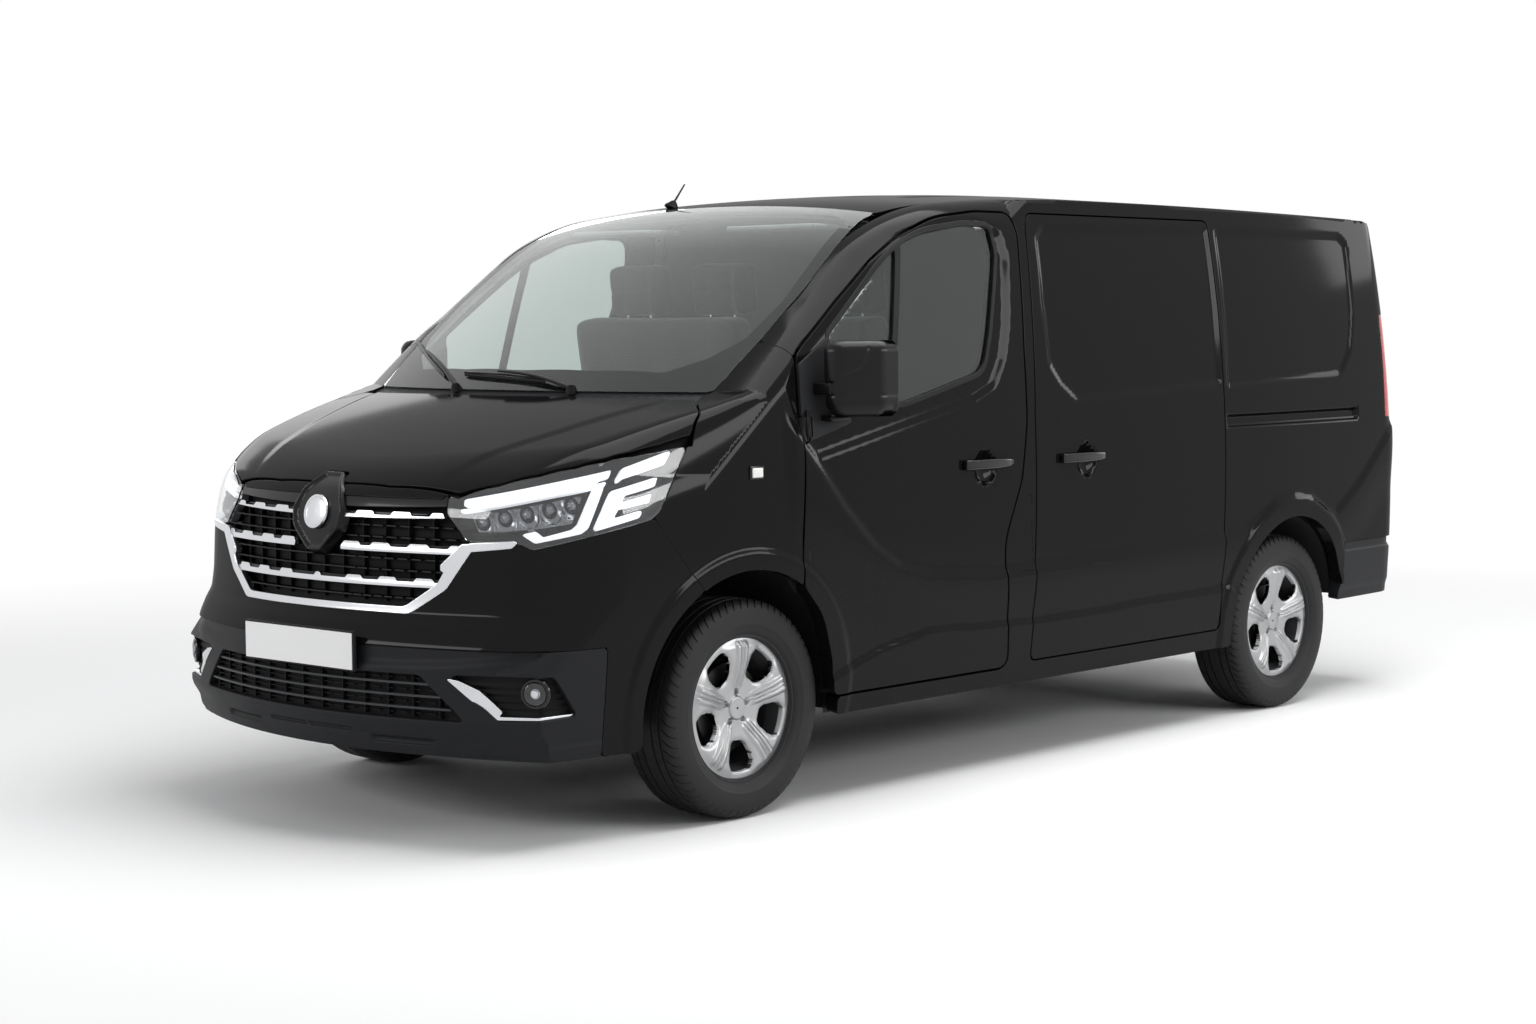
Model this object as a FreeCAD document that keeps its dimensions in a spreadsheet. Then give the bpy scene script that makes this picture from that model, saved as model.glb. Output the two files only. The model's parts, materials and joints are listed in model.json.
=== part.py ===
import FreeCAD
import Part
import math
import os
import re
import Sketcher

# Panel van, short wheelbase, low roof, left-hand drive.
# Frame: millimetres, ground at z = 0, origin midway between the two ends.
# The nose points to -Y, the van's left side is +X, up is +Z.

os.makedirs("parts", exist_ok=True)
doc = FreeCAD.newDocument("panel_van")
sheet = doc.addObject("Spreadsheet::Sheet", "sizes")

SIZES = {
    # whole vehicle
    "front_axle_y": -1526, "rear_axle_y": 1572,
    # side of the body: an upright arc, narrower towards both ends
    "half_width": 976, "side_widest_height": 950, "side_crown_radius": 4950,
    "front_taper_start": -1250, "front_taper_radius": 6200,
    "rear_taper_start": 1300, "rear_taper_radius": 16000,
    # nose
    "front_face_y": -2540, "front_bow_radius": 1785, "nose_top_height": 1140, "nose_depth": 205,
    # bonnet
    "bonnet_rear_y": -1720, "bonnet_rear_height": 1305, "bonnet_length": 668,
    "bonnet_drop": 164, "bonnet_sag": 48, "bonnet_crown_radius": 11100,
    # windscreen
    "screen_foot_y": -1720, "screen_foot_height": 1300, "screen_top_y": -900,
    "screen_top_height": 1905, "screen_bulge": 25, "screen_bow_radius": 2174,
    # roof and tail
    "roof_height": 2003, "roof_peak_y": 300, "roof_front_radius": 9000, "roof_rear_radius": 80000,
    "roof_crown_radius": 8620, "rear_face_y": 2536, "rear_lean_height": 600, "rear_bow_radius": 8333,
    # roundings between these faces
    "corner_blend": 180, "shoulder_blend": 250, "cant_blend": 95, "pillar_blend": 60,
    "rear_blend": 130, "header_blend": 120, "nose_blend": 60,
    "corner_blend_top": 700, "shoulder_blend_foot": 1000, "shoulder_fade_foot": 1080,
    "shoulder_fade_top": 1300, "pillar_blend_top": 1800,
    # panels
    "wall": 45, "skin": 25, "fascia_wall": 30, "glass_wall": 5, "roof_wall": 35,
    "seam": 0.3, "door_gap": 7, "panel_gap": 5, "overrun": 300,
    # side chart
    "chart_x": 700, "chart_drop": 150, "chart_low": 262, "chart_rear_y": 2300,
    # front door, as a box that holds its outline
    "front_door_y": -1325, "front_door_length": 1155, "front_door_foot": 350, "front_door_height": 1555,
    # sliding door
    "slide_door_y": -118, "slide_door_length": 1187, "slide_door_foot": 360, "slide_door_height": 1545,
    # wheel arches
    "front_arch_radius": 412, "rear_arch_radius": 420, "arch_lift": 25, "front_arch_shift": 30,
    # ditch and pillar line in plan
    "ditch_x": 848, "pillar_foot_y": -1600, "pillar_run": 1523, "roof_front_y": -700,
    "wing_rear_y": -1333, "wing_top_height": 1432, "pillar_seam_y": -1370, "pillar_seam_height": 1516,
    "side_foot": 285, "post_depth": 95, "post_wall": 45, "post_foot": 690, "post_top": 1560,
    # bonnet outline in plan
    "bonnet_front_y": -2416, "bonnet_tail_y": -1738, "bonnet_tail_radius": 3200,
    "lamp_inner_x": 532, "lamp_inner_y": -2354, "lamp_tip_x": 924, "lamp_tip_y": -1777,
    "bonnet_corner_x": 792, "bonnet_corner_y": -1625, "hem_height": 30, "edge_lean": 0.7, "bonnet_gap": 6,
    # lamps, seen from an azimuth between front and side
    "lamp_view_angle": 50, "lamp_start": -1484, "lamp_length": 717, "lamp_foot": 881, "lamp_height": 314,
    "lamp_wall": 60,
    # front bumper
    "bumper_seam_height": 590, "bumper_foot": 262, "bumper_side_y": -2110,
    "wing_seam_top_y": -1942, "wing_seam_top_height": 956, "wing_seam_foot_y": -1758,
    "wing_seam_foot_height": 734,
    "intake_half_width": 560, "intake_foot": 385, "intake_height": 125,
    "fog_x": 835, "fog_y": -2342, "fog_angle": 30, "fog_height": 470, "fog_radius": 38,
    "fog_pocket_width": 377, "fog_pocket_start": -1506, "fog_pocket_foot": 386, "fog_pocket_height": 132, "fog_pocket_depth": 20,
    # grille opening
    "grille_half_width": 520, "grille_foot": 690, "grille_height": 330, "grille_ring": 22,
    "grille_bar": 34, "grille_plate": 5, "grille_depth": 18, "grille_crown": 40,
    # number plates
    "plate_length": 520, "plate_height": 110, "plate_wall": 4, "front_plate_z": 513, "rear_plate_z": 470,
    "plate_pad": 40,
    # rear doors and tail
    "rear_door_half": 775, "rear_door_foot": 640, "rear_door_height": 1245, "rear_door_split": 7,
    "tail_lamp_foot": 1130, "tail_lamp_height": 420, "tail_lamp_inner_x": 800, "tail_lamp_y": 2330,
    "rear_bumper_foot": 395, "rear_bumper_height": 235, "rear_bumper_wall": 45, "rear_bumper_y": 1990,
    # floor and rails
    "floor_top": 552, "floor_wall": 30, "floor_front_y": -1180, "floor_rear_y": 2400,
    "rail_x": 430, "rail_width": 70, "rail_height": 110, "rail_front_y": -2330, "rail_rear_y": 2330,
    "sill_x": 800, "sill_foot": 290, "house_radius": 425, "house_wall": 12,
    "rear_house_foot": 420, "front_house_foot": 300,
    "rear_house_x": 660, "front_house_x": 485, "front_house_outer_x": 870, "firewall_y": -1330,
    # cab
    "bulkhead_y": -80, "bulkhead_wall": 30,
    "dash_y": -1330, "dash_depth": 360, "dash_foot": 760, "dash_middle": 1000, "dash_top": 1225, "dash_toe": 150,
    "dash_pad": 80,
    "seat_y": -760, "seat_length": 500, "seat_width": 500, "seat_x": 420, "seat_base_height": 260,
    "cushion_height": 130, "back_height": 620, "back_wall": 120, "headrest_width": 270,
    "headrest_height": 190, "headrest_wall": 100, "bench_width": 860, "bench_x": -400, "seat_lean": 100,
    "seat_rounding": 35, "seat_gap": 10,
    "steer_wheel_radius": 190, "steer_rim_radius": 16, "steer_wheel_y": -890, "steer_wheel_z": 1250,
    "steer_wheel_tilt": 58, "steer_hub_radius": 75, "steer_hub_height": 40, "steer_spoke_width": 42,
    "steer_spoke_height": 18, "column_radius": 28, "column_length": 150,
    # wheels
    "front_track": 1615, "rear_track": 1628, "tyre_radius": 343, "tyre_width": 215,
    "bead_radius": 205, "bead_half": 79, "tyre_side": 285, "tread_width": 186, "tyre_wall": 12,
    "rim_width": 178, "rim_flange": 232,
    "rim_wall": 9, "disc_offset": 62, "disc_wall": 16, "hub_radius": 78, "window_inner": 105,
    "window_outer": 182, "opening_inner_half": 26, "opening_outer_half": 62, "rotor_back": 14,
    "bore_radius": 30, "tyre_crown": 8, "tyre_shoulder": 26,
    # axles
    "king_pin_x": 700, "king_pin_lean": 12, "knuckle_inset": 28, "knuckle_wall": 22, "knuckle_length": 80,
    "knuckle_rise": 180, "stub_reach": 60, "disc_rotor_radius": 140, "rotor_wall": 24, "ball_drop": 110,
    "ball_half": 22, "ball_pin_radius": 9, "ball_pin_length": 60,
    "beam_radius": 38, "beam_half": 690, "arm_length": 430, "arm_width": 55, "arm_height": 80, "arm_x": 560,
    "subframe_depth": 120, "subframe_height": 80, "subframe_z": 255,
    "wishbone_width": 90, "wishbone_height": 34, "strut_radius": 21,
    # engine, tank, exhaust
    "engine_length": 520, "engine_width": 720, "engine_height": 620, "engine_y": -2190, "engine_z": 445,
    "tank_length": 800, "tank_width": 280, "tank_height": 220, "tank_x": -620, "tank_y": -700,
    "pipe_radius": 30, "pipe_x": -250, "silencer_radius": 90, "silencer_length": 520, "silencer_y": 800,
    "pipe_z": 385, "pipe_rear_y": 1300, "down_pipe": 150,
    # mirrors, handles, aerial, wipers
    "mirror_x": 988, "mirror_y": -1262, "mirror_z": 1240, "mirror_width": 152, "mirror_length": 210,
    "mirror_height": 238, "mirror_rounding": 30, "mirror_edge": 20, "mirror_arm": 100,
    "handle_length": 255, "handle_height": 42, "handle_proud": 28,
    "front_handle_y": -528, "slide_handle_y": 10, "handle_z": 1042,
    "aerial_x": -285, "aerial_y": -620, "aerial_base": 70, "aerial_length": 100, "aerial_radius": 5,
    "aerial_lean": 40, "aerial_foot_height": 26,
    "wiper_arm": 560, "wiper_lift": 30, "wiper_width": 22, "wiper_height": 16,
    # hinges
    "hinge_inset": 8, "hinge_setback": 25, "hinge_low": 780, "hinge_high": 1180, "hinge_height": 60,
    "hinge_radius": 7, "hinge_notch": 22, "pin_radius": 4,
    "rear_hinge_out": 30, "rear_hinge_behind": 14, "rear_hinge_low": 800, "rear_hinge_mid": 1040,
    "rear_hinge_high": 1630, "rear_hinge_height": 60, "rear_hinge_root": 40, "rear_hinge_inset": -5,
    "rear_strap": 115,
    "bonnet_hinge_y": -1620, "bonnet_hinge_z": 1285, "bonnet_hinge_x": 735,
    # openings in the doors
    "recess_depth": 9,
}

row = 0
for alias, value in SIZES.items():
    row += 1
    cell = "A%d" % row
    sheet.set(cell, str(value))
    sheet.setAlias(cell, alias)
doc.recompute()


class Sizes:
    pass


S = Sizes()
for alias in SIZES:
    setattr(S, alias, float(sheet.get(alias)))

V = FreeCAD.Vector
nodes = []


def bound(text):
    """The same sum with each size read from the sheet."""
    return re.sub(r"[a-z]+(_[a-z]+)+|[a-z]{4,}", lambda m: ("sizes." if m.group() in SIZES else "") + m.group(), text)


def node(obj, name=None):
    obj.Label = name or obj.Name
    nodes.append(obj)
    return obj


def feature(name, shape):
    obj = doc.addObject("Part::Feature", name)
    obj.Shape = shape
    obj.Placement = FreeCAD.Placement()
    return node(obj)


# The hull

nose_height_shares = [0.13, 0.274, 0.329, 0.421, 0.511, 0.561, 0.605, 0.667, 0.754, 0.849, 0.912, 0.959, 1.0]
tail_lean_share = 0.0556
bonnet_tilt_share = 0.95
screen_tilt_share = 0.81
corner_share = 0.48
nose_setback_shares = [0.44, 0.17, 0.01, 0.0, 0.015, 0.146, 0.302, 0.341, 0.346, 0.4, 0.527, 0.732, 1.0]


def smooth_max(a, b, blend):
    gap = max(blend - abs(a - b), 0) / blend
    return max(a, b) + gap * gap * blend / 4


def ramp(value, low, high):
    return min(max((value - low) / (high - low), 0), 1)


def share_curve(xs, ys, x):
    """Monotone cubic through a table of shares, straight beyond its ends."""
    last = len(xs) - 1
    steps = [(ys[k + 1] - ys[k]) / (xs[k + 1] - xs[k]) for k in range(last)]
    if x <= xs[0]:
        return ys[0] + steps[0] * (x - xs[0])
    if x >= xs[last]:
        return ys[last] + steps[last - 1] * (x - xs[last])
    k = 0
    while x > xs[k + 1]:
        k += 1

    def slope(i):
        if i == 0:
            return steps[0]
        if i == last:
            return steps[last - 1]
        if steps[i - 1] * steps[i] <= 0:
            return 0
        return 2 * steps[i - 1] * steps[i] / (steps[i - 1] + steps[i])

    span = xs[k + 1] - xs[k]
    t = (x - xs[k]) / span
    return ((2 * t - 3) * t * t + 1) * ys[k] + ((t - 2) * t + 1) * t * span * slope(k) \
        + (3 - 2 * t) * t * t * ys[k + 1] + (t - 1) * t * t * span * slope(k + 1)


def side_half(y, z):
    half = S.half_width - (z - S.side_widest_height) ** 2 / (2 * S.side_crown_radius)
    half -= max(S.front_taper_start - y, 0) ** 2 / (2 * S.front_taper_radius)
    return half - max(y - S.rear_taper_start, 0) ** 2 / (2 * S.rear_taper_radius)


def nose_face(x, y, z):
    setback = S.nose_depth * share_curve(nose_height_shares, nose_setback_shares, z / S.nose_top_height)
    return S.front_face_y + setback + x * x / (2 * S.front_bow_radius) - y


def bonnet_face(x, y, z):
    t = (S.bonnet_rear_y - y) / S.bonnet_length
    height = S.bonnet_rear_height - S.bonnet_drop * t - S.bonnet_sag * t * abs(t)
    height -= x * x / (2 * S.bonnet_crown_radius)
    return (z - height) * bonnet_tilt_share


def screen_face(x, y, z):
    t = (y - x * x / (2 * S.screen_bow_radius) - S.screen_foot_y) / (S.screen_top_y - S.screen_foot_y)
    height = S.screen_foot_height + (S.screen_top_height - S.screen_foot_height) * t
    height += 4 * S.screen_bulge * t * (1 - t)
    return (z - height) * screen_tilt_share


def roof_face(x, y, z):
    radius = S.roof_front_radius if y < S.roof_peak_y else S.roof_rear_radius
    return z - S.roof_height + (y - S.roof_peak_y) ** 2 / (2 * radius) + x * x / (2 * S.roof_crown_radius)


def tail_face(x, y, z):
    return y - S.rear_face_y + (z - S.rear_lean_height) * tail_lean_share + x * x / (2 * S.rear_bow_radius)


def hull(x, y, z):
    """Distance outside the body, negative within it."""
    side = abs(x) - side_half(y, z)
    nose = nose_face(x, y, z)
    roof = roof_face(x, y, z)
    shoulder = S.corner_blend + (S.shoulder_blend - S.corner_blend) * ramp(z, S.corner_blend_top, S.shoulder_blend_foot)
    shoulder += (S.pillar_blend - shoulder) * ramp(z, S.shoulder_fade_foot, S.shoulder_fade_top)
    low = max(smooth_max(smooth_max(bonnet_face(x, y, z), nose, S.nose_blend), side, shoulder), roof)
    pillar = S.pillar_blend + (S.cant_blend - S.pillar_blend) * ramp(z, S.shoulder_fade_top, S.pillar_blend_top)
    high = max(smooth_max(smooth_max(screen_face(x, y, z), roof, S.header_blend), side, pillar), nose)
    return smooth_max(min(low, high), tail_face(x, y, z), S.rear_blend)


def hit(start, way, depth):
    """Point where a ray from inside passes the level that lies depth inside the hull."""
    low = 0
    high = 2 * S.half_width
    for i in range(26):
        mid = (low + high) / 2
        if hull(start[0] + way[0] * mid, start[1] + way[1] * mid, start[2] + way[2] * mid) < -depth:
            low = mid
        else:
            high = mid
    return V(start[0] + way[0] * high, start[1] + way[1] * high, start[2] + way[2] * high)


def spread(low, high, count):
    return [low + (high - low) * i / (count - 1) for i in range(count)]


def surface(grid):
    spline = Part.BSplineSurface()
    spline.interpolate(grid)
    return spline


def slab(rays, outer_depth, inner_depth):
    """Closed solid between two levels of the hull over a grid of rays."""
    outer = surface([[hit(a, d, outer_depth) for a, d in line] for line in rays])
    inner = surface([[hit(a, d, inner_depth) for a, d in line] for line in rays])
    faces = [outer.toShape(), inner.toShape()]
    u0, u1, v0, v1 = outer.bounds()
    p0, p1, q0, q1 = inner.bounds()
    for a, b in ((outer.uIso(u0), inner.uIso(p0)), (outer.uIso(u1), inner.uIso(p1)),
                 (outer.vIso(v0), inner.vIso(q0)), (outer.vIso(v1), inner.vIso(q1))):
        faces.append(Part.makeRuledSurface(a.toShape(), b.toShape()))
    shell = Part.makeShell(faces)
    shell.sewShape(0.05)
    if shell.ShapeType != "Shell":
        shell = shell.Shells[0]
    solid = Part.makeSolid(shell)
    if solid.Volume < 0:
        solid.reverse()
    return solid


def rounded_wire(points, place):
    """Closed outline of (u, v) or (u, v, radius) points, laid in space by place(u, v)."""
    count = len(points)
    edges = []
    ends = []
    for i in range(count):
        u, v = points[i][0], points[i][1]
        radius = points[i][2] if len(points[i]) > 2 else 0
        a = points[i - 1]
        b = points[(i + 1) % count]
        if radius <= 0:
            ends.append(((u, v), None, (u, v)))
            continue
        la = math.hypot(a[0] - u, a[1] - v)
        lb = math.hypot(b[0] - u, b[1] - v)
        da = ((a[0] - u) / la, (a[1] - v) / la)
        db = ((b[0] - u) / lb, (b[1] - v) / lb)
        half = math.acos(max(-1, min(1, da[0] * db[0] + da[1] * db[1]))) / 2
        cut = min(radius / math.tan(half), la * corner_share, lb * corner_share)
        radius = cut * math.tan(half)
        start = (u + da[0] * cut, v + da[1] * cut)
        stop = (u + db[0] * cut, v + db[1] * cut)
        mx, my = da[0] + db[0], da[1] + db[1]
        ml = math.hypot(mx, my)
        reach = radius / math.sin(half) - radius
        ends.append((start, (u + mx / ml * reach, v + my / ml * reach), stop))
    for i in range(count):
        start, middle, stop = ends[i]
        if middle:
            edges.append(Part.Arc(place(*start), place(*middle), place(*stop)).toShape())
        follow = ends[(i + 1) % count][0]
        if math.hypot(follow[0] - stop[0], follow[1] - stop[1]) > S.seam / 100:
            edges.append(Part.makeLine(place(*stop), place(*follow)))
    return Part.Wire(edges)


def grow(points, gap):
    """The outline moved outwards by gap, mitred, its roundings grown alike."""
    area = sum(points[i - 1][0] * points[i][1] - points[i][0] * points[i - 1][1] for i in range(len(points)))
    sign = 1 if area > 0 else -1
    moved = []
    count = len(points)
    for i in range(count):
        a, p, b = points[i - 1], points[i], points[(i + 1) % count]
        la = math.hypot(p[0] - a[0], p[1] - a[1])
        lb = math.hypot(b[0] - p[0], b[1] - p[1])
        na = ((p[1] - a[1]) / la * sign, (a[0] - p[0]) / la * sign)
        nb = ((b[1] - p[1]) / lb * sign, (p[0] - b[0]) / lb * sign)
        k = gap / (1 + na[0] * nb[0] + na[1] * nb[1])
        q = [p[0] + (na[0] + nb[0]) * k, p[1] + (na[1] + nb[1]) * k]
        if len(p) > 2:
            turn = (p[0] - a[0]) * (b[1] - p[1]) - (p[1] - a[1]) * (b[0] - p[0])
            q.append(max(p[2] + (gap if turn * sign > 0 else -gap), 0))
        moved.append(tuple(q))
    return moved


def side_prism(points, low, high):
    """Outline of (y, z) points pushed along X."""
    wire = rounded_wire(points, lambda y, z: V(low, y, z))
    return Part.Face(wire).extrude(V(high - low, 0, 0))


def plan_prism(points, low, high):
    """Outline of (x, y) points pushed along Z."""
    wire = rounded_wire(points, lambda x, y: V(x, y, low))
    return Part.Face(wire).extrude(V(0, 0, high - low))


def front_prism(points, low, high):
    """Outline of (x, z) points pushed along Y."""
    wire = rounded_wire(points, lambda x, z: V(x, low, z))
    return Part.Face(wire).extrude(V(0, high - low, 0))


def slant_prism(points, angle, reach):
    """Outline of (u, z) points pushed both ways along a level direction at this azimuth."""
    a = math.radians(angle)
    back = V(math.sin(a), -math.cos(a), 0)
    wire = rounded_wire(points, lambda u, z: V(u * math.cos(a), u * math.sin(a), z))
    return Part.Face(wire).extrude(back * reach)


def block(x0, x1, y0, y1, z0, z1):
    return Part.makeBox(x1 - x0, y1 - y0, z1 - z0, V(x0, y0, z0))


def upright(x, y, z, radius, height):
    return Part.makeCylinder(radius, height, V(x, y, z))


def mirrored(shape):
    return shape.mirror(V(0, 0, 0), V(1, 0, 0))


def joined(first, *others):
    shape = first.fuse(list(others))
    return shape.removeSplitter()


def largest(shape):
    return max(shape.Solids, key=lambda s: s.Volume)


# Ray charts of the hull

def top_height(x, y):
    return hit((x, y, S.floor_top), (0, 0, 1), 0).z


def side_rays(stations, corner_angles, levels, turn_angles):
    """Rays of one flank: level along +X, over the cant rail, and round the rear corner."""
    rays = []
    for y, turn in [(y, 0) for y in stations] + [(stations[-1], a) for a in corner_angles]:
        top = top_height(S.chart_x, y) - S.chart_drop
        line = []
        for t in levels:
            line.append(((S.chart_x, y, S.chart_low + (top - S.chart_low) * t),
                         (math.cos(turn), math.sin(turn), 0)))
        for lift in turn_angles:
            line.append(((S.chart_x, y, top), (math.cos(turn) * math.cos(lift), math.sin(turn) * math.cos(lift),
                                               math.sin(lift))))
        rays.append(line)
    return rays


def degrees(*values):
    return [math.radians(v) for v in values]


level_shares = spread(0, 1, 15)
lift_angles = degrees(12, 24, 34, 42, 50, 58, 66, 73, 80)
body_stations = spread(S.front_door_y - S.post_depth * 2, S.roof_front_y, 18)
body_stations += spread(S.roof_front_y, S.chart_rear_y, 24)[1:]
body_rays = side_rays(body_stations, degrees(12, 24, 36, 48, 60, 72, 84),
                      level_shares, lift_angles)
wing_rays = side_rays(spread(S.wing_seam_top_y - S.post_depth, S.front_door_y + S.post_depth, 20), [],
                      level_shares, lift_angles)
body_slab = slab(body_rays, 0, S.wall)
post_slab = slab(wing_rays, S.skin + S.seam, S.skin + S.post_wall)
wing_slab = slab(wing_rays, 0, S.skin)


# Nose chart: level rays up to the lamps, then lifted over the bonnet
nose_chart_y = S.front_axle_y - S.post_depth
nose_angles = [math.radians(a) for a in spread(-88, 88, 45)]
nose_levels = spread(S.bumper_foot, S.lamp_foot, 17)


def nose_rays(levels, lifts):
    rays = []
    for a in nose_angles:
        line = [((0, nose_chart_y, z), (math.sin(a), -math.cos(a), 0)) for z in levels]
        for lift in lifts:
            line.append(((0, nose_chart_y, S.lamp_foot),
                         (math.sin(a) * math.cos(lift), -math.cos(a) * math.cos(lift), math.sin(lift))))
        rays.append(line)
    return rays


nose_grid = nose_rays(nose_levels, degrees(3, 6, 9, 12, 15, 18, 22, 26))
bonnet_grid = nose_rays([], [math.radians(e) for e in spread(4, 74, 26)])
fascia_slab = slab(nose_grid, 0, S.fascia_wall)
lamp_slab = slab(nose_grid, 0, S.lamp_wall)


# Outlines

front_door_shares = [
    (0, 0.695), (0, 0.232), (0.082, 0.168), (0.130, 0.071), (0.139, 0), (0.931, 0), (0.887, 0.28),
    (0.969, 0.413), (1.0, 0.541), (1.004, 0.693), (1.031, 0.955), (1.010, 1.0), (0.861, 1.0), (0.662, 0.984),
    (0.498, 0.945), (0.368, 0.894), (0.195, 0.804)]
front_door_rounding_shares = [0.05, 0.03, 0.2, 0.2, 0.02, 0.04, 0.2, 0.2, 0.3, 0.5, 0.05, 0.03, 0.4, 0.6, 0.6,
                              0.6, 0.6]
front_door = [(S.front_door_y + u * S.front_door_length, S.front_door_foot + v * S.front_door_height,
               r * S.front_door_length)
              for (u, v), r in zip(front_door_shares, front_door_rounding_shares)]

window_shares = [
    (0.134, 0.572), (0.132, 0.740), (0.380, 0.885), (0.479, 0.931), (0.605, 0.962), (0.795, 0.978),
    (0.917, 0.975), (0.932, 0.910), (0.863, 0.736), (0.820, 0.650), (0.4545, 0.588)]
window_rounding_shares = [0.02, 0.02, 0.5, 0.5, 0.5, 0.3, 0.07, 0.1, 0.5, 0.09, 0.5]
window = [(S.front_door_y + u * S.front_door_length, S.front_door_foot + v * S.front_door_height,
           r * S.front_door_length)
          for (u, v), r in zip(window_shares, window_rounding_shares)]

slide_door_shares = [(0, 0), (1, 0), (1, 1), (0.05, 1), (0.035, 0.97), (0, 0.54)]
slide_door_rounding_shares = [0.02, 0.02, 0.03, 0.03, 0.1, 0.3]
slide_door = [(S.slide_door_y + u * S.slide_door_length, S.slide_door_foot + v * S.slide_door_height,
               r * S.slide_door_length)
              for (u, v), r in zip(slide_door_shares, slide_door_rounding_shares)]

lamp_curve_shares = [(0, 0), (0.288, 0.106), (0.523, 0.234), (0.694, 0.367), (0.809, 0.504), (0.885, 0.653),
                     (0.944, 0.809), (1, 1)]
lamp_curve = [(S.lamp_inner_x + u * (S.lamp_tip_x - S.lamp_inner_x),
               S.lamp_inner_y + v * (S.lamp_tip_y - S.lamp_inner_y))
              for u, v in lamp_curve_shares]


def bonnet_tail(x):
    return S.bonnet_tail_y + x * x / (2 * S.bonnet_tail_radius)


tail_shares = [0.8, 0.6, 0.4, 0.2]
nose_point_shares = (0.5, 0.3)
half_bonnet = [(S.lamp_inner_x * nose_point_shares[0],
                S.bonnet_front_y + (S.lamp_inner_y - S.bonnet_front_y) * nose_point_shares[1])]
half_bonnet += lamp_curve
half_bonnet += [(S.lamp_tip_x - S.skin, S.lamp_tip_y + S.fascia_wall * 2), (S.bonnet_corner_x, S.bonnet_corner_y)]
half_bonnet += [(S.bonnet_corner_x * k, bonnet_tail(S.bonnet_corner_x * k)) for k in tail_shares]
bonnet_plan = half_bonnet + [(0, S.bonnet_tail_y)] + [(-x, y) for x, y in reversed(half_bonnet)]
bonnet_plan += [(0, S.bonnet_front_y)]

pillar_shares = [(0.934, 0), (0.961, 0.164), (0.958, 0.302), (0.926, 0.427), (0.879, 0.538), (0.875, 0.591),
                 (0.896, 0.657), (0.943, 0.775), (0.979, 0.9), (1, 1)]
pillar_plan = [(u * S.ditch_x, S.pillar_foot_y + v * S.pillar_run) for u, v in pillar_shares]
outer_x = S.half_width + S.overrun
outer_y = S.rear_face_y + S.overrun
outer_z = S.roof_height + S.overrun
corner_x = S.rear_door_half + S.door_gap

# Region outboard of the pillar and ditch line, and behind it round the rear door
side_plan = plan_prism([(x + S.seam / 2, y) for x, y in pillar_plan]
                       + [(S.ditch_x + S.seam / 2, S.chart_rear_y), (corner_x, S.chart_rear_y),
                          (corner_x, outer_y), (outer_x, outer_y), (outer_x, S.pillar_foot_y)], 0, outer_z)
front_arch = Part.makeCylinder(S.front_arch_radius, outer_x,
                               V(0, S.front_axle_y - S.front_arch_shift, S.tyre_radius + S.arch_lift), V(1, 0, 0))
rear_arch = Part.makeCylinder(S.rear_arch_radius, outer_x, V(0, S.rear_axle_y, S.tyre_radius), V(1, 0, 0))
bumper_line = S.rear_bumper_foot + S.rear_bumper_height + S.seam

# Body side: wall with pillars, cant rail, hinge post, sill flange and rear corner, one pressing each side
body_region = side_prism([
    (S.pillar_seam_y, outer_z), (S.pillar_seam_y, S.pillar_seam_height), (S.wing_rear_y, S.wing_top_height),
    (S.front_door_y + S.skin, S.wing_top_height - S.skin), (S.front_door_y + S.skin, S.tyre_radius + S.arch_lift),
    (S.front_axle_y - S.front_arch_shift + S.front_arch_radius, S.tyre_radius + S.arch_lift),
    (S.front_axle_y - S.front_arch_shift + S.front_arch_radius, S.side_foot),
    (S.rear_bumper_y - S.seam, S.side_foot), (S.rear_bumper_y - S.seam, bumper_line),
    (outer_y, bumper_line), (outer_y, outer_z)], 0, outer_x)
side_shell = body_slab.common(body_region).common(side_plan)
post_region = side_prism([
    (S.front_door_y - S.door_gap, S.post_top), (S.front_door_y - S.door_gap, S.post_foot),
    (S.front_door_y - S.post_depth, S.post_foot + S.post_depth), (S.front_door_y - S.post_depth, S.post_top)],
    0, outer_x)
post = largest(post_slab.common(post_region).common(side_plan))
post_space = slab(body_rays, 0, S.skin + S.post_wall + S.seam).common(side_prism([
    (S.front_door_y, S.post_top), (S.front_door_y, S.post_foot),
    (S.front_door_y - S.post_depth - S.seam, S.post_foot), (S.front_door_y - S.post_depth - S.seam, S.post_top)],
    0, outer_x))
side_left = side_shell.cut(side_prism(grow(front_door, S.door_gap), 0, outer_x))
side_left = side_left.cut(side_prism(grow(slide_door, S.panel_gap), 0, outer_x))
side_left = largest(side_left.cut(rear_arch).cut(front_arch))

# Tail lamps stand in a recess of the rear corner
lamp_skin = slab(body_rays, 0, S.skin)
lamp_cut = slab(body_rays, -S.skin, S.skin + S.seam)
lamp_box = block(S.tail_lamp_inner_x, outer_x, S.tail_lamp_y, outer_y, S.tail_lamp_foot,
                 S.tail_lamp_foot + S.tail_lamp_height)
tail_lamp = lamp_skin.common(lamp_box)
grown_box = block(S.tail_lamp_inner_x - S.seam, outer_x, S.tail_lamp_y - S.seam, outer_y,
                  S.tail_lamp_foot - S.seam, S.tail_lamp_foot + S.tail_lamp_height + S.seam)
side_left = side_left.cut(lamp_cut.common(grown_box))

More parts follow.
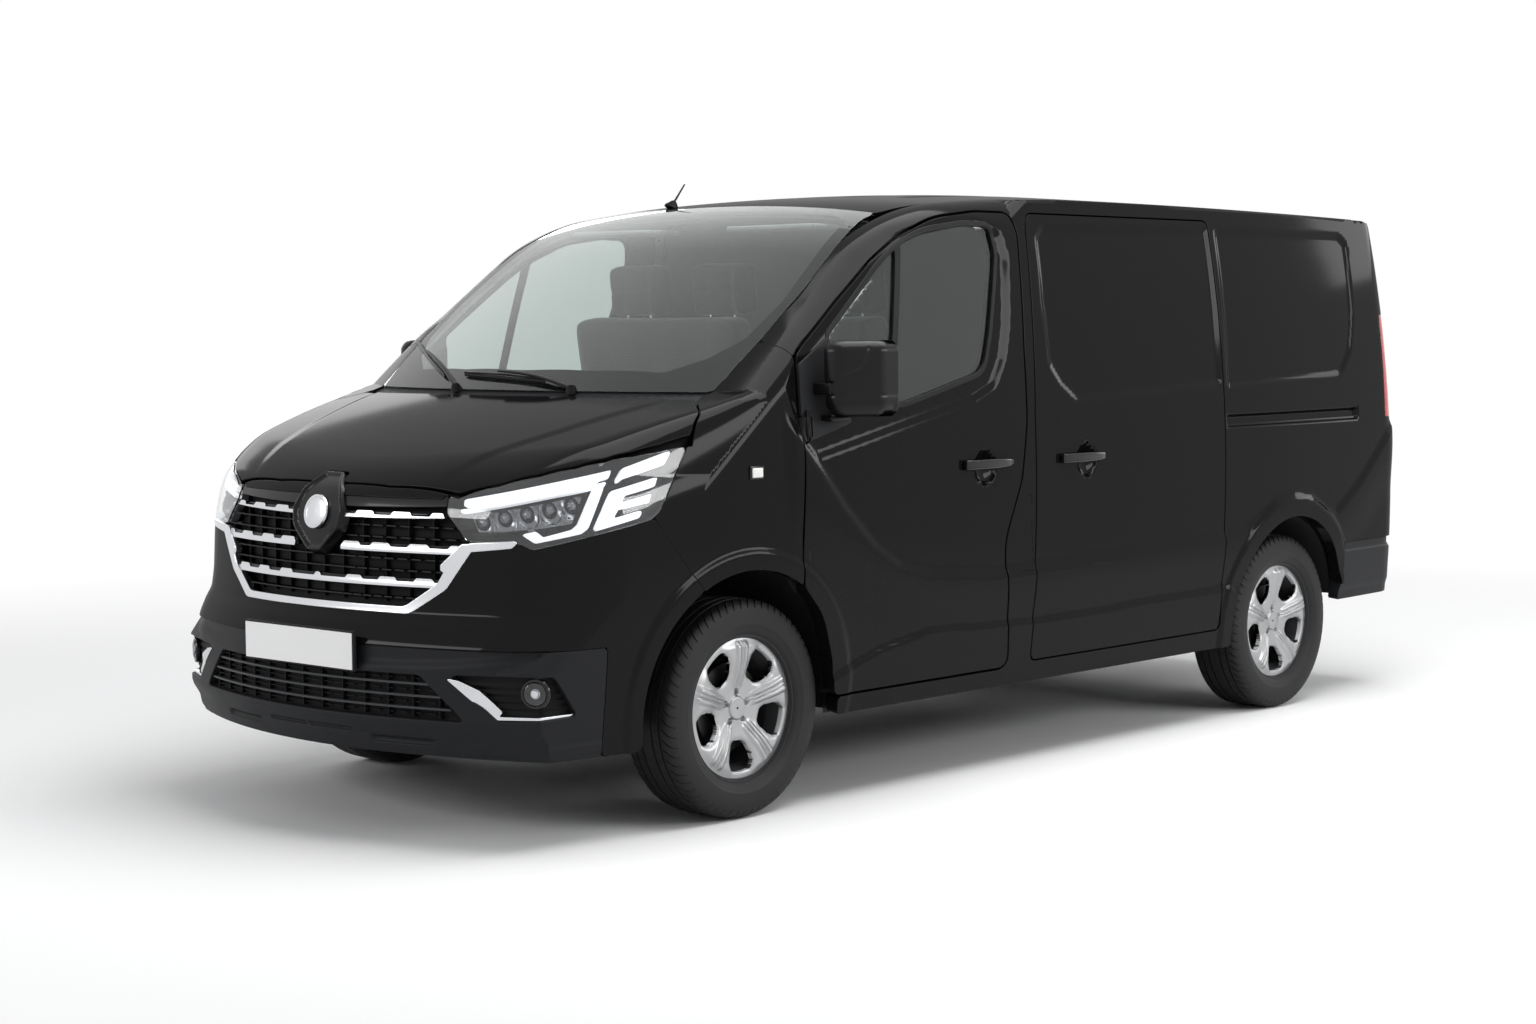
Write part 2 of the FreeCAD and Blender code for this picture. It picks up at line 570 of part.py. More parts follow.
# Door hinge pins, upright just inside the skin
hinge_x = S.half_width - S.hinge_inset
hinge_y = S.front_door_y + S.hinge_setback
hinge_heights = [S.hinge_low, S.hinge_high]
door_notches = []
side_parts = [post]
for z in hinge_heights:
    arm = block(hinge_x - S.skin * 2, hinge_x - S.skin - S.panel_gap, S.front_door_y - S.post_depth / 2, hinge_y,
                z, z + S.hinge_height)
    tip = block(hinge_x - S.skin * 2, hinge_x, S.front_door_y - S.panel_gap, hinge_y, z, z + S.hinge_height)
    barrel = upright(hinge_x, hinge_y, z, S.hinge_radius, S.hinge_height)
    pin = upright(hinge_x, hinge_y, z - S.hinge_notch, S.pin_radius, S.hinge_height + 2 * S.hinge_notch)
    side_parts += [arm, tip, barrel, pin]
    notch = block(hinge_x - S.wall * 2, outer_x, S.front_door_y - S.door_gap, hinge_y + S.hinge_notch,
                  z - S.seam, z + S.hinge_height + S.seam)
    bore = upright(hinge_x, hinge_y, z - S.hinge_notch - S.seam, S.pin_radius + S.seam,
                   S.hinge_height + 2 * (S.hinge_notch + S.seam))
    door_notches += [notch, bore]

# Rear door hinges on an axis that leans with the tail, just outside the skin
rear_hinge_x = S.rear_door_half + S.rear_hinge_out
rear_lean = math.atan(tail_lean_share)
rear_straps = []


def on_rear_hinge(shape, z):
    y = S.rear_face_y - (z - S.rear_lean_height) * tail_lean_share
    y += S.rear_hinge_behind - S.rear_door_half ** 2 / (2 * S.rear_bow_radius)
    shape.Placement = FreeCAD.Placement(V(rear_hinge_x, y, z), FreeCAD.Rotation(V(1, 0, 0), math.degrees(rear_lean)))
    return shape


knuckle_height = S.rear_hinge_height / 2 - S.seam
for z in (S.rear_hinge_low, S.rear_hinge_mid, S.rear_hinge_high):
    bracket = block(-S.hinge_radius, S.hinge_radius, -S.rear_hinge_root, 0, 0, knuckle_height)
    bracket = bracket.fuse([upright(0, 0, 0, S.hinge_radius, knuckle_height),
                            upright(0, 0, 0, S.pin_radius, S.rear_hinge_height)])
    side_parts.append(on_rear_hinge(bracket, z))
    low = S.rear_hinge_height / 2
    strap = block(-S.rear_strap, S.rear_hinge_inset - S.rear_hinge_out, -S.rear_hinge_root / 2, S.pin_radius,
                  low, S.rear_hinge_height)
    strap = strap.fuse([block(-S.rear_strap / 2, 0, -S.pin_radius, S.pin_radius, low, S.rear_hinge_height),
                        upright(0, 0, low, S.hinge_radius, knuckle_height)])
    strap = strap.cut(upright(0, 0, 0, S.pin_radius + S.seam, S.rear_hinge_height * 2))
    rear_straps.append(on_rear_hinge(strap, z))
side_left = joined(side_left, *side_parts)
feature("body_side_left", side_left)
feature("body_side_right", mirrored(side_left))
feature("tail_lamps", Part.makeCompound([tail_lamp, mirrored(tail_lamp)]))

# Front doors with a cut window, the glass let into it
door_plan = plan_prism([(x + S.door_gap, y) for x, y in pillar_plan]
                       + [(S.ditch_x + S.door_gap, outer_y), (outer_x, outer_y), (outer_x, S.pillar_foot_y)],
                       0, outer_z)
door_left = body_slab.common(side_prism(front_door, 0, outer_x)).common(door_plan)
door_left = door_left.cut(side_prism(window, 0, outer_x))
for cut in door_notches:
    door_left = door_left.cut(cut)
handle_box = block(S.half_width - S.wall / 2, S.half_width + S.handle_proud, S.front_handle_y,
                   S.front_handle_y + S.handle_length, S.handle_z, S.handle_z + S.handle_height)
door_left = largest(joined(door_left, handle_box))
glass_slab = slab(body_rays, S.skin - S.glass_wall, S.skin)
glass = largest(glass_slab.common(side_prism(grow(window, -S.seam), 0, outer_x)))
for side, flip in (("left", False), ("right", True)):
    feature("front_door_" + side, mirrored(door_left) if flip else door_left)
    feature("door_glass_" + side, mirrored(glass) if flip else glass)

# Door mirrors: a foot on the door and a rounded head, its front face turned outwards
mirror_shares = [(0, 0), (0.45, 0.02), (1, 0.62), (1, 1), (0.06, 0.86)]
head_plan = [(S.mirror_x + u * S.mirror_width, S.mirror_y + v * S.mirror_length, S.mirror_rounding)
             for u, v in mirror_shares]
head = plan_prism(head_plan, S.mirror_z, S.mirror_z + S.mirror_height)
caps = [edge for edge in head.Edges if edge.BoundBox.ZLength < S.seam]
head = head.makeFillet(S.mirror_edge, caps)
foot = block(S.half_width - S.wall * 2, S.mirror_x + S.mirror_rounding, S.mirror_y + S.mirror_rounding,
             S.mirror_y + S.mirror_rounding + S.mirror_arm, S.mirror_z - S.mirror_edge,
             S.mirror_z + S.mirror_rounding * 2)
skin_space = slab(body_rays, -S.seam, S.wall * 3)
mirror_left = largest(joined(head, foot).cut(skin_space))
feature("mirror_left", mirror_left)
feature("mirror_right", mirrored(mirror_left))

# Sliding doors: shut, with a blind window recess and a roller arm on the sill
recess_shares = [(0.07, 0.953), (0.09, 0.98), (1.0, 0.985), (1.0, 0.594), (0.206, 0.572), (0.126, 0.612),
                 (0.073, 0.66), (0.063, 0.77)]
recess = [(S.slide_door_y + u * S.slide_door_length, S.slide_door_foot + v * S.slide_door_height)
          for u, v in recess_shares]
recess_cut = slab(body_rays, -S.skin, S.recess_depth).common(side_prism(recess, 0, outer_x))
slide = body_slab.common(side_prism(slide_door, 0, outer_x)).cut(recess_cut)
slide_handle = block(S.half_width - S.wall / 2, S.half_width + S.handle_proud, S.slide_handle_y,
                     S.slide_handle_y + S.handle_length, S.handle_z, S.handle_z + S.handle_height)
slide = largest(joined(slide, slide_handle))
feature("sliding_doors", Part.makeCompound([slide, mirrored(slide)]))

# Headlamp outline
lamp_outline_shares = [(-0.02, 0.318), (0.06, 0.067), (0.271, 0.051), (0.322, 0), (0.820, 0.245), (0.855, 0.312),
                       (1.0, 1.0), (0.95, 1.12), (0.0, 0.62)]
lamp_outline = [(S.lamp_start + u * S.lamp_length, S.lamp_foot + v * S.lamp_height) for u, v in lamp_outline_shares]
front_reach = -S.bonnet_tail_y * 2
lamp_prism = slant_prism(lamp_outline, S.lamp_view_angle, front_reach)
lamp_hole = slant_prism(grow(lamp_outline, S.seam), S.lamp_view_angle, front_reach)

# Front wings
wing_region = side_prism([
    (S.wing_rear_y - S.seam, S.wing_top_height), (S.pillar_seam_y - S.seam, S.pillar_seam_height),
    (S.pillar_seam_y - S.seam, outer_z), (S.lamp_tip_y + S.seam, outer_z),
    (S.lamp_tip_y + S.seam, S.lamp_foot + S.lamp_height),
    (S.wing_seam_top_y + S.seam, S.wing_seam_top_height), (S.wing_seam_foot_y + S.seam, S.wing_seam_foot_height),
    (S.front_axle_y, S.tyre_radius), (S.wing_rear_y - S.seam, S.tyre_radius)], 0, outer_x)
bonnet_space = plan_prism(grow(bonnet_plan, S.bonnet_gap), S.lamp_foot - S.overrun, S.roof_height)
pillar_space = plan_prism([(x - S.seam / 2, y) for x, y in pillar_plan[:6]]
                          + [(0, pillar_plan[5][1]), (0, S.bonnet_front_y), (S.bonnet_corner_x, S.bonnet_tail_y),
                             (pillar_plan[0][0] - S.panel_gap, S.bonnet_corner_y)], S.nose_top_height, outer_z)
door_space = side_prism(grow(front_door, S.door_gap), 0, outer_x)
wing = wing_slab.common(wing_region).cut(bonnet_space).cut(pillar_space)
wing = wing.cut(front_arch).cut(door_space).cut(lamp_hole)
wing = largest(wing)
feature("front_wings", Part.makeCompound([wing, mirrored(wing)]))

# Bonnet: a shell over the engine, with hinge tabs at its rear corners
bonnet_slab = slab(bonnet_grid, 0, S.skin)
bonnet = bonnet_slab.common(plan_prism(bonnet_plan, 0, outer_z))

# Its edge over the lamps leans back with depth and ends in a hem, so that it lifts clear of them
front_edge = [(x, y, top_height(x, y)) for x, y in [(0, S.bonnet_front_y), half_bonnet[0]] + lamp_curve]
edge_plan = [(x, y + (z - S.lamp_foot) * S.edge_lean) for x, y, z in front_edge]
edge_plan += [(outer_x, edge_plan[-1][1]), (outer_x, 0), (0, 0)]
edge_wire = rounded_wire(edge_plan, lambda x, y: V(x, y, S.lamp_foot))
edge_rise = outer_z - S.lamp_foot
edge_space = Part.Face(edge_wire).extrude(V(0, -edge_rise * S.edge_lean, edge_rise))
hem_line = [(y, z - S.hem_height) for x, y, z in front_edge[2:]]
hem_cut = side_prism(hem_line + [(S.bonnet_corner_y + S.overrun, hem_line[-1][1]), (S.bonnet_corner_y + S.overrun, 0),
                                 (hem_line[0][0], 0)], -outer_x, outer_x)
bonnet = largest(bonnet.common(joined(edge_space, mirrored(edge_space))).cut(hem_cut))
tab = block(S.bonnet_hinge_x, S.bonnet_hinge_x + S.hinge_notch, S.bonnet_hinge_y - S.wall,
            S.bonnet_hinge_y, S.bonnet_hinge_z - S.hinge_radius, S.bonnet_hinge_z + S.hinge_radius)
eye = Part.makeCylinder(S.hinge_radius, S.hinge_notch, V(S.bonnet_hinge_x, S.bonnet_hinge_y, S.bonnet_hinge_z),
                        V(1, 0, 0))
hole = Part.makeCylinder(S.pin_radius + S.seam, S.hinge_notch, V(S.bonnet_hinge_x, S.bonnet_hinge_y, S.bonnet_hinge_z),
                         V(1, 0, 0))
tab = tab.fuse(eye).cut(hole)
bonnet_whole = largest(joined(bonnet, tab, mirrored(tab)))
feature("bonnet", bonnet_whole)

# Windscreen and the scuttle panel that carries it
foot_line = [(S.ditch_x * u, S.screen_foot_y + S.skin + (S.ditch_x * u) ** 2 / (2 * S.screen_bow_radius))
             for u in (-0.93, -0.84, -0.4, 0, 0.4, 0.84, 0.93)]
screen_sides = [(x - S.seam / 2, y) for x, y in pillar_plan if foot_line[-1][1] < y < S.roof_front_y - S.seam]
screen_top_x = pillar_plan[5][0] - S.seam / 2
screen_plan = foot_line + screen_sides
screen_plan += [(screen_top_x, S.roof_front_y - S.seam), (-screen_top_x, S.roof_front_y - S.seam)]
screen_plan += [(-x, y) for x, y in reversed(screen_sides)]
screen_rays = [[((x, y, S.nose_top_height), (0, 0, 1)) for x in spread(-S.ditch_x, S.ditch_x, 25)]
               for y in spread(S.screen_foot_y, S.roof_front_y + S.skin, 24)]
screen_slab = slab(screen_rays, 0, S.glass_wall)
feature("windscreen", largest(screen_slab.common(plan_prism(screen_plan, 0, outer_z))))
scuttle_half = S.bonnet_hinge_x - S.hinge_notch
scuttle_rays = [[((x, y, S.lamp_foot), (0, 0, 1)) for x in spread(-scuttle_half - S.skin, scuttle_half + S.skin, 19)]
                for y in spread(S.screen_foot_y - S.post_depth, S.pillar_foot_y + S.skin, 12)]
tray = slab(scuttle_rays, S.skin * 3, S.skin * 3 + S.fascia_wall)
inner_foot = foot_line[1:-1]
tray_plan = [(x, y - S.post_depth) for x, y in inner_foot] + [(x, y + S.wall) for x, y in reversed(inner_foot)]
tray = tray.common(plan_prism(tray_plan, 0, outer_z))
lip = slab(screen_rays, S.glass_wall + S.seam, S.skin * 3 + S.glass_wall)
lip_plan = [(x, y + S.seam) for x, y in inner_foot] + [(x, y + S.skin) for x, y in reversed(inner_foot)]
lip = lip.common(plan_prism(lip_plan, 0, outer_z))
ear = block(scuttle_half - S.hinge_notch, S.bonnet_hinge_x - S.seam, S.bonnet_hinge_y - S.hinge_radius,
            S.bonnet_hinge_y + S.hinge_radius, S.bonnet_hinge_z - S.post_depth, S.bonnet_hinge_z + S.hinge_radius)
bonnet_pin = Part.makeCylinder(S.pin_radius, S.hinge_notch + S.seam * 2,
                               V(S.bonnet_hinge_x - S.seam * 2, S.bonnet_hinge_y, S.bonnet_hinge_z), V(1, 0, 0))
feature("scuttle", largest(joined(tray, lip, ear, bonnet_pin, mirrored(ear), mirrored(bonnet_pin))))

# Roof, turned down at the tail over the rear doors
roof_rays = []
roof_chart_z = S.rear_door_foot + S.rear_door_height - S.wall * 2
for y, turn in [(y, 0) for y in spread(S.roof_front_y - S.skin, S.chart_rear_y, 26)] \
        + [(S.chart_rear_y, a) for a in degrees(12, 24, 36, 46, 54, 62)]:
    roof_rays.append([((x, y, roof_chart_z), (0, math.sin(turn), math.cos(turn)))
                      for x in spread(-S.ditch_x - S.skin, S.ditch_x + S.skin, 21)])
roof_slab = slab(roof_rays, 0, S.roof_wall)
roof_half = [(screen_top_x, S.roof_front_y)] + [(x - S.seam / 2, y) for x, y in pillar_plan[6:]]
roof_half += [(S.ditch_x - S.seam / 2, S.chart_rear_y - S.seam), (corner_x - S.seam, S.chart_rear_y - S.seam),
              (corner_x - S.seam, outer_y)]
roof_plan = roof_half + [(-x, y) for x, y in reversed(roof_half)]
roof = roof_slab.common(plan_prism(roof_plan, 0, outer_z))
roof = roof.cut(block(-outer_x, outer_x, S.chart_rear_y, outer_y, 0, S.rear_door_foot + S.rear_door_height + S.door_gap))
feature("roof", largest(roof))

# Rear doors on outside hinges
tail_rays = [[((x, S.chart_rear_y - S.overrun, z), (0, 1, 0))
              for x in spread(-corner_x, corner_x, 21)]
             for z in spread(S.rear_door_foot - S.skin, S.rear_door_foot + S.rear_door_height + S.skin, 20)]
tail_slab = slab(tail_rays, 0, S.wall)
door_top = S.rear_door_foot + S.rear_door_height
rear_door = [(S.rear_door_split / 2, S.rear_door_foot), (S.rear_door_half, S.rear_door_foot, S.skin),
             (S.rear_door_half, door_top, S.skin), (S.rear_door_split / 2, door_top)]
rear_left = tail_slab.common(front_prism(rear_door, 0, outer_y))
rear_left = joined(largest(rear_left), *rear_straps)
feature("rear_door_left", largest(rear_left))
feature("rear_door_right", mirrored(largest(rear_left)))

# Front bumper: painted upper part and sides, dark lower insert, grille, lamps
lamp = largest(lamp_slab.common(lamp_prism).cut(bonnet_space))
feature("headlamps", Part.makeCompound([lamp, mirrored(lamp)]))
grille_shares = [(-1.02, 1.0), (-1.14, 0.594), (-0.99, 0.22), (-0.76, 0), (0.76, 0), (0.99, 0.22),
                 (1.14, 0.594), (1.02, 1.0)]
grille_outline = [(u * S.grille_half_width, S.grille_foot + v * S.grille_height, S.grille_crown)
                  for u, v in grille_shares]
low_y = S.front_face_y - S.overrun
high_y = S.nose_depth + S.lamp_inner_y
grille_hole = front_prism(grow(grille_outline, S.seam), low_y, high_y)
bumper_plan = block(-outer_x, outer_x, low_y, S.wing_seam_foot_y + S.overrun, S.bumper_foot, S.bumper_seam_height)
seam_cut = side_prism([(S.wing_seam_top_y, S.nose_top_height + S.overrun), (S.wing_seam_top_y, S.wing_seam_top_height),
                       (S.wing_seam_foot_y, S.wing_seam_foot_height), (S.wing_seam_foot_y, 0),
                       (S.wing_seam_foot_y + S.overrun, 0),
                       (S.wing_seam_foot_y + S.overrun, S.nose_top_height + S.overrun)], -outer_x, outer_x)
insert_box = block(-outer_x, outer_x, low_y, S.bumper_side_y, 0, S.bumper_seam_height)
insert_grown = block(-outer_x, outer_x, low_y, S.bumper_side_y + S.seam, 0, S.bumper_seam_height + S.seam)
fascia = fascia_slab.cut(seam_cut).cut(insert_grown).cut(bonnet_space).cut(grille_hole)
fascia = fascia.cut(lamp_hole).cut(mirrored(lamp_hole))
both_arches = Part.makeCylinder(S.front_arch_radius, 2 * outer_x,
                                V(-outer_x, S.front_axle_y - S.front_arch_shift, S.tyre_radius + S.arch_lift), V(1, 0, 0))
fascia = fascia.cut(both_arches)
feature("front_bumper", fascia)
intake_shares = [(-1.0, 1.0), (-1.15, 0), (1.15, 0), (1.0, 1.0)]
intake = [(u * S.intake_half_width, S.intake_foot + v * S.intake_height, S.skin) for u, v in intake_shares]
intake_slab = slab(nose_grid, -S.skin, S.fog_pocket_depth)
insert = fascia_slab.common(insert_box).cut(intake_slab.common(front_prism(intake, low_y, high_y)))
fog_pocket_shares = [(0.0, 1.0), (0.374, 0.0), (1.0, 0.068), (0.817, 1.0)]
fog_pocket = [(S.fog_pocket_start + u * S.fog_pocket_width, S.fog_pocket_foot + v * S.fog_pocket_height, S.wiper_height)
              for u, v in fog_pocket_shares]
fog_hole = intake_slab.common(slant_prism(fog_pocket, S.lamp_view_angle, front_reach))
insert = insert.cut(fog_hole).cut(mirrored(fog_hole))
pad = block(-S.plate_length / 2 + S.plate_pad, S.plate_length / 2 - S.plate_pad,
            S.front_face_y - S.panel_gap / 2, S.front_face_y + S.fascia_wall + S.wall / 2,
            S.front_plate_z + S.plate_pad, S.front_plate_z + S.plate_height - S.plate_pad)
insert = joined(insert, pad)
feature("bumper_insert", insert)

# Grille: a backing plate that carries the frame and three bars
grille_slab = slab(nose_grid, 0, S.grille_depth)
plate_slab = slab(nose_grid, S.grille_depth - S.seam, S.grille_depth + S.grille_plate)
bar_slab = slab(nose_grid, S.grille_plate, S.grille_depth)
grille_prism = front_prism(grille_outline, low_y, high_y)
inner_prism = front_prism(grow(grille_outline, -S.grille_ring), low_y, high_y)
ring = grille_slab.common(grille_prism).cut(inner_prism)
plate = plate_slab.common(grille_prism)
bar_shares = [0.24, 0.55, 0.86]
bars = []
for share in bar_shares:
    z = S.grille_foot + share * S.grille_height
    bars.append(bar_slab.common(grille_prism).common(block(-outer_x, outer_x, low_y, high_y, z, z + S.grille_bar)))
grille = joined(plate, ring, *bars).cut(bonnet_space).cut(lamp_hole).cut(mirrored(lamp_hole))
feature("grille", largest(grille))

# Plates: blank
plates = [block(-S.plate_length / 2, S.plate_length / 2, S.front_face_y - S.panel_gap / 2 - S.seam - S.plate_wall,
                S.front_face_y - S.panel_gap / 2 - S.seam, S.front_plate_z, S.front_plate_z + S.plate_height)]

# Rear bumper
step_rays = [[((0, S.rear_axle_y, z), (math.sin(a), math.cos(a), 0))
              for z in spread(S.rear_bumper_foot, S.rear_bumper_foot + S.rear_bumper_height, 10)]
             for a in [math.radians(v) for v in spread(-66, 66, 33)]]
step = slab(step_rays, 0, S.rear_bumper_wall)
step = step.common(block(-outer_x, outer_x, S.rear_bumper_y, outer_y, 0, outer_z))
feature("rear_bumper", largest(step))
step_space = slab(step_rays, -S.skin, S.rear_bumper_wall + S.seam).common(
    block(-outer_x, outer_x, S.rear_bumper_y - S.seam, outer_y, 0, outer_z))
rear_plate_y = S.rear_face_y + (S.rear_lean_height - S.rear_plate_z) * tail_lean_share + S.seam
plates.append(block(-S.plate_length / 2, S.plate_length / 2, rear_plate_y, rear_plate_y + S.plate_wall,
                    S.rear_plate_z, S.rear_plate_z + S.plate_height))
feature("number_plates", Part.makeCompound(plates))

# Fog lamps in the pockets of the insert
fog_turn = math.radians(S.fog_angle)
fog_way = V(math.sin(fog_turn), -math.cos(fog_turn), 0)
fog_start = V(S.fog_x, S.fog_y, S.fog_height) - fog_way * S.overrun
fog_slab = slab(nose_grid, S.glass_wall, S.fog_pocket_depth - S.seam)
fog = fog_slab.common(Part.makeCylinder(S.fog_radius, 2 * S.overrun, fog_start, fog_way))
fog = largest(fog)
feature("fog_lamps", Part.makeCompound([fog, mirrored(fog)]))

# Wipers parked on the foot of the glass
wiper_slab = slab(screen_rays, -S.seam - S.wiper_height, -S.seam)
wiper_shares = [((-0.97, -0.088), (-0.434, -0.037)), ((-0.314, -0.029), (0.184, -0.018))]
wipers = []
for (u0, v0), (u1, v1) in wiper_shares:
    x0, x1 = u0 * S.ditch_x, u1 * S.ditch_x
    y0 = S.screen_foot_y + x0 * x0 / (2 * S.screen_bow_radius) + S.wiper_lift - v0 * S.wiper_arm
    y1 = S.screen_foot_y + x1 * x1 / (2 * S.screen_bow_radius) + S.wiper_lift - v1 * S.wiper_arm
    plan = [(x0, y0), (x1, y1), (x1, y1 + S.wiper_width), (x0, y0 + S.wiper_width)]
    wipers.append(largest(wiper_slab.common(plan_prism(plan, 0, outer_z))))
feature("wipers", Part.makeCompound(wipers))

# Aerial on the front of the roof
aerial_z = top_height(S.aerial_x, S.aerial_y) + S.seam
aerial_foot = Part.makeCone(S.aerial_base / 2, S.aerial_radius * 2, S.aerial_foot_height,
                            V(S.aerial_x, S.aerial_y, aerial_z - S.panel_gap)).cut(slab(roof_rays, -S.seam, S.skin))
aerial_lean = math.radians(S.aerial_lean)
whip = Part.makeCylinder(S.aerial_radius, S.aerial_length, V(S.aerial_x, S.aerial_y, aerial_z + S.aerial_foot_height / 2),
                         V(0, math.sin(aerial_lean), math.cos(aerial_lean)))
feature("aerial", largest(joined(aerial_foot, whip)))

# Floor with wheelhouses, sills, rails and firewall
wall_space = slab(body_rays, -S.skin, S.wall + S.seam)
door_clear = slab(body_rays, -S.skin, S.wall + S.door_gap).common(door_space)
roof_space = slab(roof_rays, -S.skin, S.roof_wall + S.seam)


def both(shape):
    return [shape, mirrored(shape)]


def house(y, z, inner_x, foot):
    """Wheelhouse shell with its inner wall, and the hole in the floor that it stands in."""
    full = Part.makeCylinder(S.house_radius + S.house_wall, S.half_width - inner_x, V(inner_x - S.house_wall, y, z),
                             V(1, 0, 0))
    hollow = Part.makeCylinder(S.house_radius, S.half_width - inner_x + S.overrun, V(inner_x, y, z), V(1, 0, 0))
    hole = Part.makeCylinder(S.house_radius + S.house_wall + S.seam, S.half_width - inner_x + S.overrun,
                             V(inner_x - S.house_wall - S.seam, y, z), V(1, 0, 0))
    keep = block(0, outer_x, y - S.overrun * 2, y + S.overrun * 2, foot, outer_z)
    return full.cut(hollow).common(keep), hole


rear_shell, rear_hole = house(S.rear_axle_y, S.tyre_radius, S.rear_house_x, S.rear_house_foot)
front_shell, front_hole = house(S.front_axle_y, S.tyre_radius + S.arch_lift, S.front_house_x, S.front_house_foot)
front_shell = front_shell.common(block(0, S.front_house_outer_x, -outer_y, 0, 0, outer_z))
floor_low = S.floor_top - S.floor_wall
pan = block(-S.half_width, S.half_width, S.floor_front_y, S.floor_rear_y, floor_low, S.floor_top)
toe = block(-S.front_house_x, S.front_house_x, S.firewall_y, S.floor_front_y, floor_low, S.floor_top)
firewall_half = S.front_house_x - S.house_wall
firewall = block(-firewall_half, firewall_half, S.firewall_y - S.house_wall, S.firewall_y, floor_low, S.dash_foot)
sill = block(S.sill_x, S.half_width, S.floor_front_y + S.post_depth, S.rear_axle_y - S.rear_arch_radius, S.sill_foot,
             floor_low)
rail_low = floor_low - S.rail_height
rail = block(S.rail_x - S.rail_width / 2, S.rail_x + S.rail_width / 2, S.rail_front_y, S.rail_rear_y, rail_low, floor_low)
floor_pan = pan.fuse([toe, firewall] + both(sill))
for cut in both(rear_hole) + both(front_hole):
    floor_pan = floor_pan.cut(cut)
floor_pan = joined(floor_pan, *both(rail))
for cut in both(wall_space) + both(door_clear) + [step_space]:
    floor_pan = floor_pan.cut(cut)
    rear_shell = rear_shell.cut(cut)
    front_shell = front_shell.cut(cut)
feature("floor_pan", largest(floor_pan))
feature("wheelhouses", Part.makeCompound(both(largest(rear_shell)) + both(largest(front_shell))))

# Bulkhead behind the seats
bulkhead = block(-S.half_width, S.half_width, S.bulkhead_y, S.bulkhead_y + S.bulkhead_wall, S.floor_top + S.seam, outer_z)
for cut in both(wall_space) + [roof_space]:
    bulkhead = bulkhead.cut(cut)
bulkhead = largest(bulkhead.common(block(-outer_x, outer_x, -outer_y, outer_y, 0, S.roof_height - S.roof_wall)))
feature("bulkhead", bulkhead)

# Dashboard with the steering column
dash_side = [(S.dash_y + S.dash_depth - S.dash_toe, S.dash_foot + S.seam), (S.dash_y + S.dash_depth, S.dash_middle),
             (S.dash_y + S.dash_depth - S.skin, S.dash_top, S.skin), (S.screen_foot_y + S.dash_pad, S.dash_top + S.skin * 2),
             (S.screen_foot_y + S.dash_pad, S.dash_top + S.skin), (S.dash_y, S.dash_top - S.dash_toe),
             (S.dash_y, S.dash_foot + S.seam)]
dash = side_prism(dash_side, -S.half_width, S.half_width)
dash_plan = [(x, y + S.dash_pad) for x, y in foot_line]
dash_plan += [(foot_line[-1][0], S.dash_y), (S.half_width, S.dash_y), (S.half_width, 0), (-S.half_width, 0),
              (-S.half_width, S.dash_y), (-foot_line[-1][0], S.dash_y)]
dash = dash.common(plan_prism(dash_plan, 0, outer_z))
hinge_clear = math.hypot(S.wall + S.hinge_inset, S.hinge_setback) + S.door_gap
hinge_space = upright(hinge_x, hinge_y, S.dash_foot, hinge_clear, S.dash_top)
for cut in both(door_clear) + both(wall_space) + both(post_space) + both(hinge_space):
    dash = dash.cut(cut)
dash = largest(dash)
tilt = math.radians(S.steer_wheel_tilt)
steer_way = V(0, math.sin(tilt), math.cos(tilt))
steer_at = V(S.seat_x, S.steer_wheel_y, S.steer_wheel_z)
column_foot = steer_at - steer_way * (S.column_length + S.steer_hub_height)
column = Part.makeCylinder(S.column_radius, S.column_length, column_foot, steer_way)
feature("dashboard", largest(joined(dash, column)))
wheel_rim = Part.makeTorus(S.steer_wheel_radius, S.steer_rim_radius, steer_at, steer_way)
hub_height = S.steer_hub_height - S.seam
hub = Part.makeCylinder(S.steer_hub_radius, hub_height, steer_at - steer_way * hub_height, steer_way)
spoke = block(-S.steer_wheel_radius, S.steer_wheel_radius, -S.steer_spoke_width / 2, S.steer_spoke_width / 2,
              -S.steer_spoke_height / 2, S.steer_spoke_height / 2)
drop = block(-S.steer_spoke_width / 2, S.steer_spoke_width / 2, 0, S.steer_wheel_radius,
             -S.steer_spoke_height / 2, S.steer_spoke_height / 2)
spokes = spoke.fuse(drop)
spokes.Placement = FreeCAD.Placement(steer_at - steer_way * S.steer_spoke_height,
                                     FreeCAD.Rotation(V(1, 0, 0), -S.steer_wheel_tilt))
feature("steering_wheel", largest(joined(wheel_rim, hub, spokes)))


